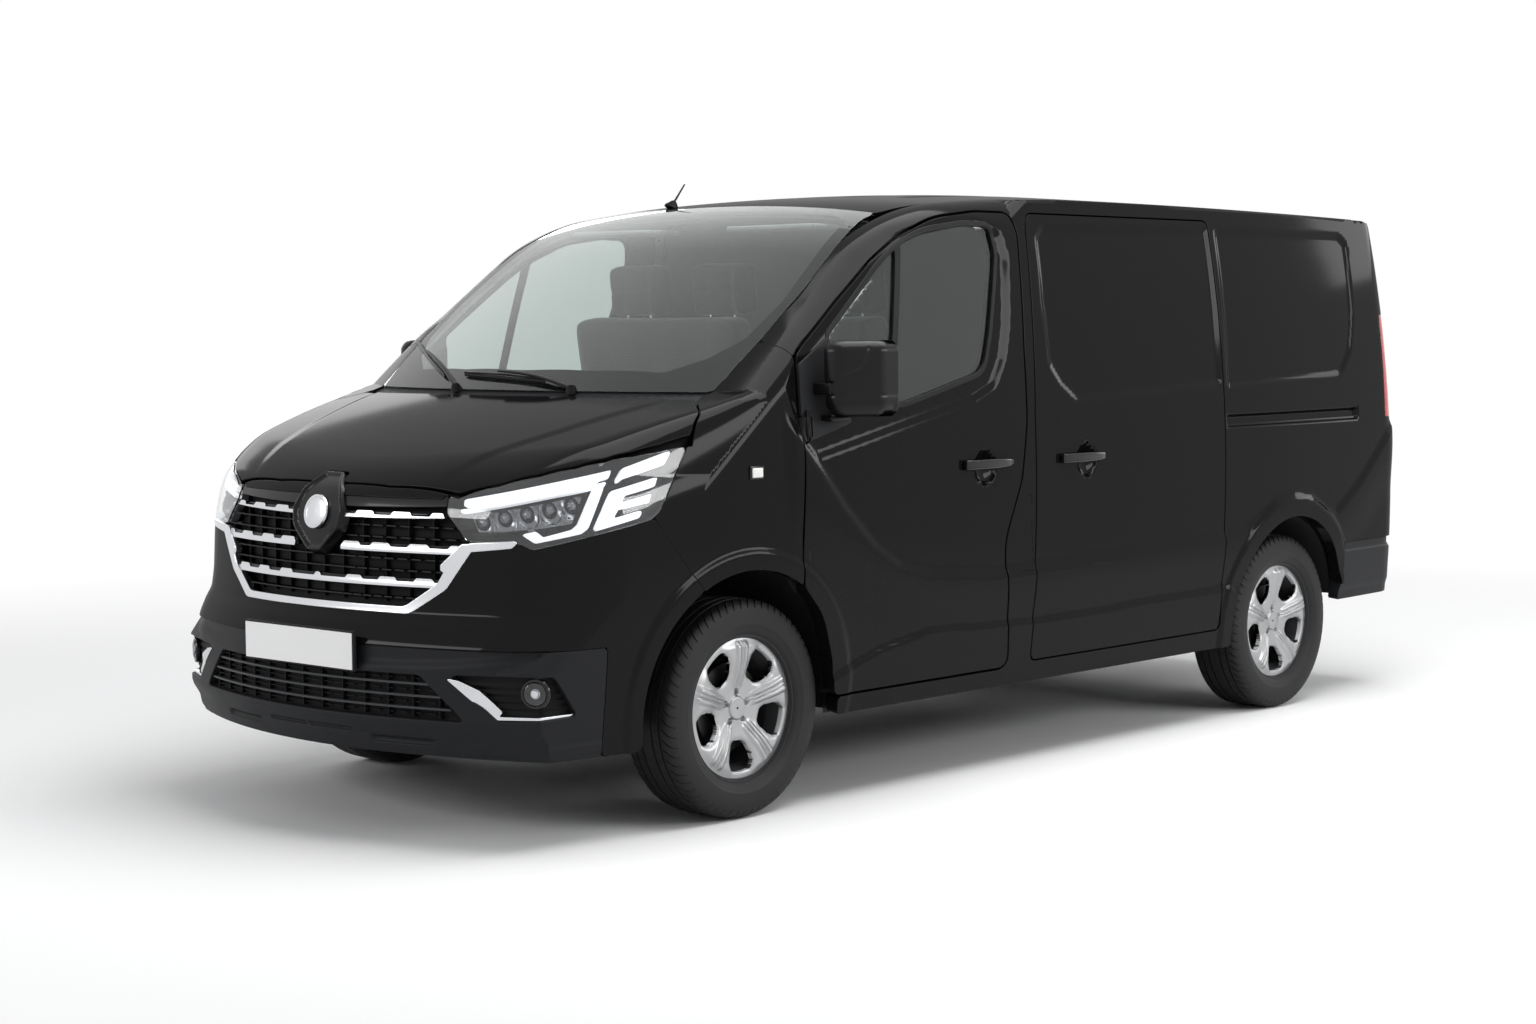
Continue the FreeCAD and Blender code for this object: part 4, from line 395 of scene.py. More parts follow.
def gloss_paint(name, colour, rough):
    """Clear coat over black enamel, with the faint waviness of sprayed paint."""
    made = bpy.data.materials.new(name)
    tree = empty_tree(made)
    place = add_node(tree, "TexCoord").outputs["Object"]
    grain = add_node(tree, "TexNoise", {"Scale": 380.0, "Vector": place})
    tint = add_node(tree, "MapRange", {"To Min": 0.85, "To Max": 1.15, "Value": grain.outputs["Fac"]})
    shade = add_node(tree, "VectorMath", {0: colour, "Scale": tint.outputs[0]}, operation="SCALE")
    wave = add_node(tree, "TexNoise", {"Scale": 900.0, "Vector": place})
    bump = add_node(tree, "Bump", {"Strength": 0.02, "Distance": 0.0005, "Height": wave.outputs["Fac"]})
    shaded(tree, {"Roughness": rough, "Specular IOR Level": 0.0, "Coat Weight": 0.24, "Coat Roughness": 0.10,
                  "Base Color": shade.outputs[0], "Normal": bump.outputs[0]})
    return made


black_paint = gloss_paint("black_paint", (0.0045, 0.0045, 0.005), 0.16)

pillar_shares = [(0.934, 0), (0.961, 0.164), (0.958, 0.302), (0.926, 0.427), (0.879, 0.538), (0.875, 0.591),
                 (0.896, 0.657), (0.943, 0.775), (0.979, 0.9), (1, 1)]
pillar_line = np.array([(0.848 * s, -1.6 + 1.523 * t) for s, t in pillar_shares]
                       + [(0.848, 2.2999), (0.782, 2.3001), (0.782, 3.0)])
door_frame = (-1.325, 0.35, 1.155, 1.555)
door_corners = [
    (0, 0.695, 0.05), (0, 0.232, 0.03), (0.082, 0.168, 0.2), (0.130, 0.071, 0.2), (0.139, 0, 0.02),
    (0.931, 0, 0.04), (0.887, 0.28, 0.2), (0.969, 0.413, 0.2), (1.0, 0.541, 0.3), (1.004, 0.693, 0.5),
    (1.031, 0.955, 0.05), (1.010, 1.0, 0.03), (0.861, 1.0, 0.4), (0.662, 0.984, 0.6), (0.498, 0.945, 0.6),
    (0.368, 0.894, 0.6), (0.195, 0.804, 0.6)]
window_corners = [
    (0.134, 0.572, 0.02), (0.132, 0.740, 0.02), (0.380, 0.885, 0.5), (0.479, 0.931, 0.5), (0.605, 0.962, 0.5),
    (0.795, 0.978, 0.3), (0.917, 0.975, 0.07), (0.932, 0.910, 0.1), (0.863, 0.736, 0.5), (0.820, 0.650, 0.09),
    (0.4545, 0.588, 0.5)]
slide_corners = [(0, 0, 0.02), (1, 0, 0.02), (1, 1, 0.03), (0.05, 1, 0.03), (0.035, 0.97, 0.1),
                 (0, 0.54, 0.3)]


def framed(corners, front, foot, length, height):
    """Outline of corners given as shares of a door's length and height."""
    return outline([(front + a * length, foot + b * height, r * length) for a, b, r in corners])


front_door = framed(door_corners, *door_frame)
window = framed(window_corners, *door_frame)
slide_door = framed(slide_corners, -0.118, 0.36, 1.187, 1.545)
first_recess = outline([(-0.035, 1.832, 0.05), (0.017, 1.875, 0.05), (1.076, 1.893, 0.03),
                        (1.069, 1.282, 0.03), (0.126, 1.243, 0.08), (0.031, 1.306, 0.08),
                        (-0.031, 1.379, 0.08), (-0.044, 1.6, 0.3)])
second_recess = outline([(1.105, 1.887, 0.03), (2.061, 1.888, 0.06), (2.130, 1.847, 0.06),
                         (2.109, 1.539, 0.3), (2.064, 1.400, 0.12), (1.970, 1.304, 0.08),
                         (1.091, 1.269, 0.03)])
waist = outline([(-1.40, 1.34), (-1.326, 1.150, 0.04), (-1.259, 1.092, 0.03), (-0.447, 1.255, 0.06),
                 (-0.330, 1.30, 0.08), (-0.262, 1.40, 0.1), (-0.224, 1.52, 0.3), (-0.188, 1.756, 0.1),
                 (-0.214, 1.850, 0.05), (-0.345, 1.897, 0.06), (-0.60, 1.886, 0.3), (-0.80, 1.848, 0.3),
                 (-0.98, 1.77, 0.3), (-1.22, 1.62, 0.3)])
crease = np.array([(-1.45, 1.30), (-1.261, 1.093), (-1.130, .947), (-.986, .820), (-.858, .746),
                   (-.702, .708), (-.304, .680), (-.118, .687), (1.053, .722), (1.227, .734), (1.293, .761),
                   (1.427, .828), (1.566, .851), (1.696, .836), (1.817, .776), (1.907, .763), (2.081, .863),
                   (2.4, 1.1)])
sill_line = np.array([(-1.2, .40), (-.947, .475), (-.685, .518), (-.287, .503), (-.097, .496), (1.12, .520),
                      (1.16, .50), (2.6, .50)])

front_arch, rear_arch = (-1.556, 0.368, 0.412), (1.572, 0.343, 0.420)
lamp_low, lamp_high = 1.13, 1.55


def pillar_x(y):
    """How far out the pillar and ditch line lies."""
    return np.interp(y, pillar_line[:, 1], pillar_line[:, 0])


def outboard(x, y, z):
    """Negative on the outer side of the pillar and ditch line."""
    return pillar_x(y) - np.abs(x)


def beyond(arch, y, z):
    """Distance outside a wheel opening, given as (y, z, radius)."""
    return np.hypot(y - arch[0], z - arch[1]) - arch[2]


def lip(arch, y, z, height=0.008, width=0.045):
    """Raised flare round a wheel opening."""
    return height * (1 - ease((beyond(arch, y, z) - width) / 0.03))


def waist_press(y, z):
    """Depth of the field pressed in round the window."""
    return 0.010 * ease(-within(waist, y, z) / 0.045)


def crease_swell(y, z):
    """Height of the shoulder that runs under the crease."""
    below = beside(crease, y, z)
    return 0.011 * ease(below / 0.045 + 0.5) * (1 - ease((below - 0.04) / 0.20))


def side_relief(x, y, z):
    high = -0.009 * ease(-within(first_recess, y, z) / 0.034)
    high -= 0.009 * ease(-within(second_recess, y, z) / 0.034)
    high -= waist_press(y, z)
    high += crease_swell(y, z)
    high += 0.008 * ease(beside(sill_line, y, z) / 0.032 + 0.5)
    high += lip(front_arch, y, z)
    high += lip(rear_arch, y, z, 0.009, 0.060)
    rail = np.maximum(np.maximum(1.085 - y, y - 2.095), np.maximum(1.128 - z, z - 1.180))
    high -= 0.016 * ease(-rail / 0.012)
    return high


def side_field(x, y, z):
    lamp = np.maximum.reduce([0.7997 - np.abs(x), 2.3297 - y, lamp_low - 0.0003 - z, z - lamp_high - 0.0003])
    front = np.interp(z, [0.368, 1.407, 1.432, 1.516], [-1.3, -1.3, -1.333, -1.370])
    front = np.where(z > 1.516, -1.37, np.where(z < 0.368, -1.144, front))
    return np.maximum.reduce([
        outboard(x, y, z) + 0.00015, 0.007 - within(front_door, y, z), 0.005 - within(slide_door, y, z),
        -beyond(rear_arch, y, z), -beyond(front_arch, y, z), np.minimum(0.6303 - z, y - 1.9897), 0.285 - z,
        0.782 - np.abs(x), front - y, -lamp])


def inner_of(node, name, material, limit=0.024, keep=()):
    """The inner pressing, brackets and pins of a CAD node: its faces deeper than limit inside the hull."""
    mesh = frame["nodes"][node].data.copy()
    mesh.name = name
    shape = bmesh.new()
    shape.from_mesh(mesh)
    bmesh.ops.remove_doubles(shape, verts=shape.verts, dist=1e-5)
    shape.verts.ensure_lookup_table()
    place = np.array([v.co[:] for v in shape.verts])
    outer = hull(*place.T) > -limit
    for low, high in keep:
        outer &= ~((place > np.array(low)) & (place < np.array(high))).all(1)
    bmesh.ops.delete(shape, geom=[v for v, gone in zip(shape.verts, outer) if gone], context="VERTS")
    shape.to_mesh(mesh)
    shape.free()
    mesh.materials.clear()
    mesh.set_sharp_from_angle(angle=math.radians(30))
    bodies = frame["record"]["behaviour"]["bodies"]
    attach(linked(name, mesh, material), next(body for body, nodes in bodies.items() if node in nodes))


def finish(name, colour, rough, metal=0.0, grain=300.0, bump=0.1, depth=0.0004, mottle=0.12, coat=0.0,
           glow=0.0, shine=0.12):
    """A finish with its own grain: the colour and the relief both vary with place on the piece."""
    made = bpy.data.materials.new(name)
    tree = empty_tree(made)
    place = add_node(tree, "TexCoord").outputs["Object"]
    fine = add_node(tree, "TexNoise", {"Scale": grain, "Detail": 4.0, "Vector": place}).outputs["Fac"]
    cloud = add_node(tree, "TexNoise", {"Scale": 7.0, "Vector": place}).outputs["Fac"]
    both = add_node(tree, "Math", {0: fine, 1: cloud}, operation="ADD")
    tint = add_node(tree, "MapRange", {"From Max": 2.0, "To Min": 1 - mottle, "To Max": 1 + mottle,
                                       "Value": both.outputs[0]})
    shade = add_node(tree, "VectorMath", {0: colour, "Scale": tint.outputs[0]}, operation="SCALE").outputs[0]
    polish = add_node(tree, "MapRange", {"To Min": rough * 0.85, "To Max": min(rough * 1.15, 1),
                                         "Value": cloud})
    relief = add_node(tree, "Bump", {"Strength": bump, "Distance": depth, "Height": fine})
    look = {"Metallic": metal, "Specular IOR Level": 0.5 if metal > 0.5 else shine, "Coat Weight": coat,
            "Coat Roughness": 0.08, "Base Color": shade, "Roughness": polish.outputs[0],
            "Normal": relief.outputs[0]}
    if glow:
        look.update({"Emission Color": shade, "Emission Strength": glow})
    shaded(tree, look)
    return made


def both_sides(name, sheet, material, body="van", node=None):
    """Builds a left piece and its mirror image on the right, each standing for its own node if it has one."""
    for side, skin in (("left", sheet), ("right", sheet.mirrored())):
        stands_for = () if node is None else (node.format(side),)
        build(name + "_" + side, skin, material, body.format(side), stands_for)


def hinge_box(sign, xs, ys, low, high):
    """Corners of the space that a hinge takes, on the side that sign gives."""
    inner, outer = sorted(sign * x for x in xs)
    return (inner, ys[0], low), (outer, ys[1], high)


hinge_boxes = [hinge_box(sign, (0.70, 0.9755), (-1.45, -1.25), z - 0.03, z + 0.09)
               for sign in (1, -1) for z in (0.78, 1.18)]
hinge_boxes += [hinge_box(sign, (0.76, 0.86), (2.40, 2.60), z - 0.01, z + 0.07)
                for sign in (1, -1) for z in (0.80, 1.04, 1.63)]
inner_steel = finish("inner_steel", (0.006, 0.006, 0.007), 0.4, grain=120, bump=0.05)
side = panel(side_chart, np.arange(-1.52, 2.62, 0.0135), np.arange(0.280, 2.10, 0.0135), side_field,
             side_relief, wall=0.043)
both_sides("body_side", side, black_paint, node="body_side_{}")
for side in ("left", "right"):
    inner_of("body_side_" + side, "body_side_inner_" + side, inner_steel, keep=hinge_boxes)

# Fuel flap let into the pillar behind the front door: a pressed lid on a concealed
# hinge, flush with the skin, so that only its seam shows. The seam is not cut: a thin matt
# black strip laid just proud of the skin along it is painted shade for the dark gap.
flap = outline([(-0.273, 0.936, 0.006), (-0.150, 0.940, 0.006), (-0.146, 0.82, 0.02), (-0.130, 0.676, 0.006),
                (-0.297, 0.678, 0.006), (-0.285, 0.85, 0.02)])
# Painted shade: a near-black matt finish for the strip that stands in for the flap's shadowed gap.
painted_seam_shade = finish("painted_seam_shade", (0.001, 0.001, 0.001), 0.9)
# The ring round the flap is a painted shade strip just proud of the skin; no groove is cut.
groove = panel(side_chart, np.arange(-0.31, -0.115, 0.004), np.arange(0.66, 0.955, 0.004),
               lambda x, y, z: np.maximum(np.abs(within(flap, y, z)) - 0.0014,
                                          0.004 - within(front_door, y, z)),
               side_relief, rim=0.0002, wall=0.0008, outside=0.0004)
build("fuel_flap_seam_shade", groove, painted_seam_shade)

# Front doors: steel skin over an inner pressing, hung on two hinges inside the front
# edge. The window drops into a black rubber channel below the pressed waist.


def door_field(x, y, z):
    return np.maximum.reduce([within(front_door, y, z), -within(window, y, z), outboard(x, y, z) + 0.007])


def dish(away, radius):
    """Share of a round hollow's depth at this distance from its middle."""
    return np.sqrt(np.clip(1 - (away / radius) ** 2, 0, 1))


def cupped(middle):
    """The side's relief with a finger cup at this length."""
    def relief(x, y, z):
        return side_relief(x, y, z) - 0.022 * dish(np.hypot(y - middle, z - 1.045), 0.060)
    return relief


door = panel(side_chart, np.arange(-1.345, -0.11, 0.0122), np.arange(0.34, 1.95, 0.0122), door_field,
             cupped(-0.405), wall=0.043)
both_sides("front_door", door, black_paint, "front_door_{}", "front_door_{}")
for side in ("left", "right"):
    inner_of("front_door_" + side, "front_door_inner_" + side, inner_steel, keep=hinge_boxes)

rubber = finish("window_rubber", (0.006, 0.006, 0.006), 0.45, grain=500, bump=0.08)
channel = panel(side_chart, np.arange(-1.2, -0.2, 0.008), np.arange(1.2, 1.93, 0.008),
                lambda x, y, z: np.maximum(within(window, y, z) - 0.007, -0.012 - within(window, y, z)),
                side_relief, rim=0.003, wall=0.012, outside=0.002)
both_sides("window_channel", channel, rubber, "front_door_{}")
bar = panel(side_chart, np.arange(-0.88, -0.74, 0.005), np.arange(1.25, 1.92, 0.01),
            lambda x, y, z: np.maximum(np.abs(y + 0.774 + (1.77 - z) * 0.215) - 0.015, within(window, y, z)),
            side_relief, rim=0.002, wall=0.012, outside=0.001)
both_sides("window_divider", bar, rubber, "front_door_{}")


def glazing(name, colour, rough=0.0):
    """Float glass, tinted through its thickness, with the slight waviness of bent panes."""
    made = bpy.data.materials.new(name)
    tree = empty_tree(made)
    place = add_node(tree, "TexCoord").outputs["Object"]
    wave = add_node(tree, "TexNoise", {"Scale": 2.5, "Vector": place})
    bump = add_node(tree, "Bump", {"Strength": 0.03, "Distance": 0.004, "Height": wave.outputs["Fac"]})
    shaded(tree, {"Base Color": (*colour, 1), "Roughness": rough, "Transmission Weight": 1.0, "IOR": 1.45,
                  "Normal": bump.outputs[0]})
    return made


side_glass = glazing("side_glass", (0.50, 0.56, 0.54))
pane = panel(side_chart, np.arange(-1.2, -0.2, 0.020), np.arange(1.2, 1.93, 0.020),
             lambda x, y, z: within(window, y, z) + 0.0005, side_relief, rim=0.0005, wall=0.004, closed=True,
             outside=-0.008)
both_sides("door_glass", pane, side_glass, "front_door_{}", "door_glass_{}")

trim = finish("grained_trim", (0.016, 0.0165, 0.018), 0.55, grain=650, bump=0.35, depth=0.0003)
sail_line = outline([(-1.322, 1.168, 0.03), (-1.29, 1.162, 0.03), (-1.055, 1.222, 0.02),
                     (-1.166, 1.262, 0.02), (-1.166, 1.494, 0.01), (-1.322, 1.405, 0.01)])
sail = panel(side_chart, np.arange(-1.34, -1.04, 0.006), np.arange(1.15, 1.52, 0.006),
             lambda x, y, z: np.maximum(within(sail_line, y, z), within(front_door, y, z) + 0.002),
             side_relief, rim=0.004, wall=0.012, outside=0.006)
both_sides("mirror_sail", sail, trim, "front_door_{}")
card_line = outline([(-1.28, 1.10, 0.03), (-1.28, 0.72, 0.03), (-1.10, 0.50, 0.05), (-0.98, 0.40, 0.03),
                     (-0.31, 0.40, 0.03), (-0.33, 0.78, 0.1), (-0.21, 1.1, 0.1), (-0.21, 1.25, 0.02),
                     (-0.40, 1.23, 0.03), (-0.80, 1.21, 0.1), (-1.16, 1.18, 0.03)])


def card_relief(x, y, z):
    rest = outline([(-1.0, 0.92, 0.04), (-1.0, 1.02, 0.04), (-0.3, 1.02, 0.04), (-0.3, 0.92, 0.04)])
    pocket = outline([(-1.0, 0.46, 0.05), (-1.05, 0.66, 0.05), (-0.42, 0.66, 0.05), (-0.4, 0.46, 0.05)])
    return -0.016 * ease(-within(rest, y, z) / 0.02) + 0.004 * ease(-within(pocket, y, z) / 0.02)


cab_plastic = finish("cab_plastic", (0.035, 0.037, 0.04), 0.6, grain=700, bump=0.3, depth=0.0003)
card = panel(side_chart, np.arange(-1.3, -0.19, 0.016), np.arange(0.39, 1.27, 0.016),
             lambda x, y, z: within(card_line, y, z), card_relief, rim=0.003, wall=0.004, outside=-0.052,
             flip=True)
both_sides("door_card", card, cab_plastic, "front_door_{}")


def rounded_box(name, low, high, radius, material, body="van", shape=None):
    """A moulded block with rounded edges; shape(x, y, z) may then move its points."""
    made = bmesh.new()
    bmesh.ops.create_cube(made, size=1.0)
    low, high = np.array(low), np.array(high)
    for v in made.verts:
        v.co = (low + high) / 2 + np.array(v.co) * (high - low)
    edges = list(made.edges)
    if shape is not None:
        bmesh.ops.subdivide_edges(made, edges=made.edges, cuts=5, use_grid_fill=True)
        edges = [e for e in made.edges if e.calc_face_angle(0) > 1.0]
    bmesh.ops.bevel(made, geom=edges, offset=radius, segments=4, profile=0.5, affect="EDGES")
    if shape is not None:
        for v in made.verts:
            v.co = shape(*v.co)
    bmesh.ops.recalc_face_normals(made, faces=made.faces)
    mesh = bpy.data.meshes.new(name)
    made.to_mesh(mesh)
    made.free()
    mesh.shade_smooth()
    mesh.set_sharp_from_angle(angle=math.radians(50))
    piece = linked(name, mesh, material)
    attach(piece, body)
    return piece


def side_box(name, sign, xs, ys, zs, radius, material, body="van", shape=None):
    """A rounded block, placed as on the left; sign -1 puts it on the right."""
    inner, outer = sorted(sign * x for x in xs)
    rounded_box(name, (inner, ys[0], zs[0]), (outer, ys[1], zs[1]), radius, material, body, shape)


# Pull handles: glossy moulded bars across the round cups, pivoted at their front ends
# and latched at the rear, with the lock barrel beside the driver's one.
handle_black = finish("handle_black", (0.008, 0.008, 0.009), 0.22, coat=0.5, grain=400, bump=0.05)
sides = (("left", 1), ("right", -1))


def handle(name, y, body, sign):
    skin = 0.7 + reach((0.7, y, 1.06), (1, 0, 0))

    def bowed(px, py, pz):
        share = (py - y) / 0.125
        lift = 0.010 * (1 - share * share)
        thick = 1 - 0.25 * max(share, 0) ** 2
        return (px + sign * (lift - 0.004), py, 1.056 + (pz - 1.056) * thick)

    side_box(name, sign, (skin + 0.004, skin + 0.024), (y - 0.125, y + 0.125), (1.039, 1.073), 0.007,
             handle_black, body, bowed)
    for part, end in (("_root", y - 0.108), ("_catch", y + 0.108)):
        side_box(name + part, sign, (skin - 0.010, skin + 0.008), (end - 0.014, end + 0.014), (1.041, 1.071),
                 0.004, handle_black, body)


for side, sign in sides:
    handle("front_handle_" + side, -0.405, "front_door_" + side, sign)
    handle("slide_handle_" + side, 0.140, "van", sign)
side_box("lock_barrel", 1, (0.984, 0.990), (-0.283, -0.267), (1.05, 1.066), 0.003, handle_black,
         "front_door_left")

# Sliding doors: one pressing each side, with a blind window recess, hung from a rail
# behind the rear quarter and shut in this part.
slide = panel(side_chart, np.arange(-0.13, 1.08, 0.013), np.arange(0.35, 1.95, 0.013),
              lambda x, y, z: within(slide_door, y, z), cupped(0.180), wall=0.043)
build("sliding_doors", slide.both(), black_paint, stands_for=("sliding_doors",))
inner_of("sliding_doors", "sliding_doors_inner", inner_steel)

# Front wings: pressings that reach from the lamps to the doors and up the foot of the
# windscreen pillar, with a flared wheel opening and a round side lamp.
bonnet_side = [(0.266, -2.3974)] + [(0.532 + a * 0.392, -2.354 + b * 0.577) for a, b in (
    (0, 0), (0.288, 0.106), (0.523, 0.234), (0.694, 0.367), (0.809, 0.504), (0.885, 0.653), (0.944, 0.809),
    (1, 1))]
bonnet_side += [(0.899, -1.717), (0.792, -1.625)]
bonnet_side += [(0.792 * k, -1.738 + (0.792 * k) ** 2 / 6.4) for k in (0.8, 0.6, 0.4, 0.2)]
bonnet_line = outline(bonnet_side + [(0, -1.738)] + [(-a, b) for a, b in reversed(bonnet_side)]
                      + [(0, -2.416)])
view_turn = math.radians(50)
lamp_corners = [(-0.02, 0.318), (0.06, 0.067), (0.271, 0.051), (0.322, 0), (0.820, 0.245), (0.855, 0.312),
                (1.0, 1.0), (0.95, 1.12), (0.0, 0.62)]
lamp_line = outline([(-1.484 + 0.717 * a, 0.881 + 0.314 * b, 0.008) for a, b in lamp_corners])


def across(x, y):
    """Place along the lamp, seen from between front and side."""
    return np.abs(x) * math.cos(view_turn) + y * math.sin(view_turn)


def lamp_edge(x, y, z):
    return within(lamp_line, across(x, y), z)


def bonnet_edge(x, y):
    return within(bonnet_line, x, y)


wing_back = np.array([(-1.3333, 0.3), (-1.3333, 1.432), (-1.3703, 1.516), (-1.3703, 2.2)])
wing_front = np.array([(-1.758, 0.2), (-1.758, 0.734), (-1.942, 0.956), (-1.942, 0.97)])


def wing_field(x, y, z):
    back = y - np.interp(z, wing_back[:, 1], wing_back[:, 0])
    ahead = np.interp(z, wing_front[:, 1], wing_front[:, 0]) - y
    ahead = np.where(z > 0.962, -1.0, ahead * 0.75)
    inner = np.where(y > -1.6, outboard(x, y, z) - 0.0001, -1.0)
    corner = np.where((y < -1.6) & (y > -1.73), 0.7975 - 0.35 * (y + 1.6) - np.abs(x), -1.0)
    return np.maximum.reduce([back, ahead, inner, corner, 0.005 - bonnet_edge(x, y),
                              0.0003 - lamp_edge(x, y, z), -beyond(front_arch, y, z), 0.343 - z,
                              0.007 - within(front_door, y, z)])


def nose_relief(x, y, z):
    """The flare and, near the door, the shoulder and the pressed field that run on from it."""
    near_door = ease((y + 1.42) / 0.06)
    return lip(front_arch, y, z) - waist_press(y, z) * near_door + crease_swell(y, z) * near_door


def around(step, low=-1.75, high=1.75):
    return np.arange(low, high, step)


wing = panel(nose_chart, around(0.007, 0.6, 1.98), np.arange(0.33, 1.56, 0.007), wing_field, nose_relief,
             wall=0.022)
build("front_wings", wing.both(), black_paint, stands_for=("front_wings",))

lens_white = glazing("lens_white", (0.95, 0.96, 0.97), 0.05)
for side, sign in sides:
    y, z = -1.537, 1.078
    skin = 0.7 + reach((0.7, y, z), (1, 0, 0))
    side_box("side_lamp_bezel_" + side, sign, (skin - 0.004, skin + 0.006), (y - 0.030, y + 0.030),
             (z - 0.021, z + 0.021), 0.005, handle_black)
    side_box("side_lamp_lens_" + side, sign, (skin, skin + 0.009), (y - 0.024, y + 0.024),
             (z - 0.015, z + 0.015), 0.004,
             finish("side_lamp_" + side, (0.75, 0.75, 0.72), 0.15, coat=0.8, grain=200))

# Bonnet: one crowned pressing with two creases that run from the pillars to the lamps'
# inner corners, hinged at its rear corners.


def bonnet_relief(x, y, z):
    line = np.interp(y, [-2.45, -2.3, -2.0, -1.7], [0.40, 0.47, 0.60, 0.70])
    fold = np.abs(x) - line
    return 0.007 * (1 - ease(fold / 0.05 + 0.5)) * ease((y + 2.42) / 0.25) * 0.8


def badge_gap(x, y):
    return np.maximum(np.abs(x) - 0.055, y + 2.374)


bonnet = panel(upright_chart(0.98), np.arange(-0.95, 0.951, 0.012), np.arange(-2.44, -1.59, 0.012),
               lambda x, y, z: np.maximum(bonnet_edge(x, y), -badge_gap(x, y)), bonnet_relief, rim=0.003,
               wall=0.022)
build("bonnet", bonnet, black_paint, "bonnet", ("bonnet",))
tabs = [hinge_box(sign, (0.72, 0.77), (-1.70, -1.59), 1.2, 1.4) for sign in (1, -1)]
inner_of("bonnet", "bonnet_inner", inner_steel, 0.015, tabs)

# Windscreen: laminated glass bonded to its frame, with a black baked border, over a
# moulded scuttle from which the two wipers rise.
screen_chart = upright_chart(1.14)


def arc(x):
    """How far the windscreen's foot sweeps back at its sides."""
    return x * x / 4.348


def screen_edge(x, y, z):
    return np.maximum.reduce([-outboard(x, y, z) * 0.93, (-1.695 + arc(x) - y) * 0.9, y + 0.7003])


screen_glass = glazing("screen_glass", (0.80, 0.86, 0.84))
screen = panel(screen_chart, np.arange(-0.83, 0.831, 0.024), np.arange(-1.71, -0.68, 0.024),
               screen_edge, rim=0.0005, wall=0.0045, closed=True)
build("windscreen", screen, screen_glass, stands_for=("windscreen",))
band = finish("baked_border", (0.008, 0.009, 0.009), 0.25, grain=900, bump=0.02)
inner_edge = [(0.30, -1.595), (0.58, -1.545), (0.69, -1.46), (0.762, -1.36), (0.776, -1.20), (0.745, -1.0),
              (0.70, -0.80)]
clear = outline([(a, b, 0.05) for a, b in inner_edge] + [(0.62, -0.765, 0.04), (0, -0.775, 1)]
                + [(-0.62, -0.765, 0.04)] + [(-a, b, 0.05) for a, b in reversed(inner_edge)]
                + [(0, -1.618, 1)])
border = panel(screen_chart, np.arange(-0.83, 0.831, 0.014), np.arange(-1.71, -0.68, 0.014),
               lambda x, y, z: np.maximum(screen_edge(x, y, z) + 0.002, -within(clear, x, y)),
               rim=0.0003, wall=0.0004, outside=-0.0056)
build("screen_border", border, band)
scuttle = panel(screen_chart, np.arange(-0.83, 0.831, 0.012), np.arange(-1.79, -1.5, 0.012),
                lambda x, y, z: np.maximum.reduce([np.abs(x) - 0.80, -1.762 + x * x / 5.5 - y,
                                                   y + 1.655 - arc(x)]),
                lambda x, y, z: -0.009 * (1 - ease((y + 1.735 - x * x / 5.5) / 0.05)),
                rim=0.004, wall=0.012, outside=-0.009)
build("scuttle", scuttle, trim, stands_for=("scuttle",))


def ring_faces(rings, count, looped=False):
    """Faces between closed rings of count points each; looped joins the last ring to the first."""
    faces = []
    for i in range(rings if looped else rings - 1):
        a, b = i * count, (i + 1) % rings * count
        faces += [[a + k, a + (k + 1) % count, b + (k + 1) % count, b + k] for k in range(count)]
    return faces


def tube(path, widths, heights=None, ring=10, up=(0, 0, 1)):
    """A closed swept bar along path, with one half width and half height, or one at each point."""
    path = np.array(path, float)
    heights = widths if heights is None else heights
    way = np.gradient(path, axis=0)
    way /= np.linalg.norm(way, axis=1)[:, None]
    points, normals = [], []
    for p, w, a, b in zip(path, way, np.broadcast_to(widths, len(path)), np.broadcast_to(heights, len(path))):
        side = np.cross(np.array(up, float), w)
        side /= np.linalg.norm(side)
        top = np.cross(w, side)
        for k in range(ring):
            t = 2 * math.pi * k / ring
            points.append(p + side * math.cos(t) * a + top * math.sin(t) * b)
            normals.append(side * math.cos(t) / a + top * math.sin(t) / b)
    faces = ring_faces(len(path), ring)
    for end, sign in ((0, -1), (len(path) - 1, 1)):
        loop = list(range(len(points), len(points) + ring))
        points += points[end * ring:(end + 1) * ring]
        normals += [way[end] * sign] * ring
        faces.append(loop if sign > 0 else loop[::-1])
    normals = np.array(normals)
    return Sheet().add(np.array(points), normals / np.linalg.norm(normals, axis=1)[:, None], faces)


def on_screen(x, y, lift):
    """A point this far above the windscreen and the scuttle."""
    return np.array([x, y, 1.14 + reach((x, y, 1.14), (0, 0, 1)) + lift])


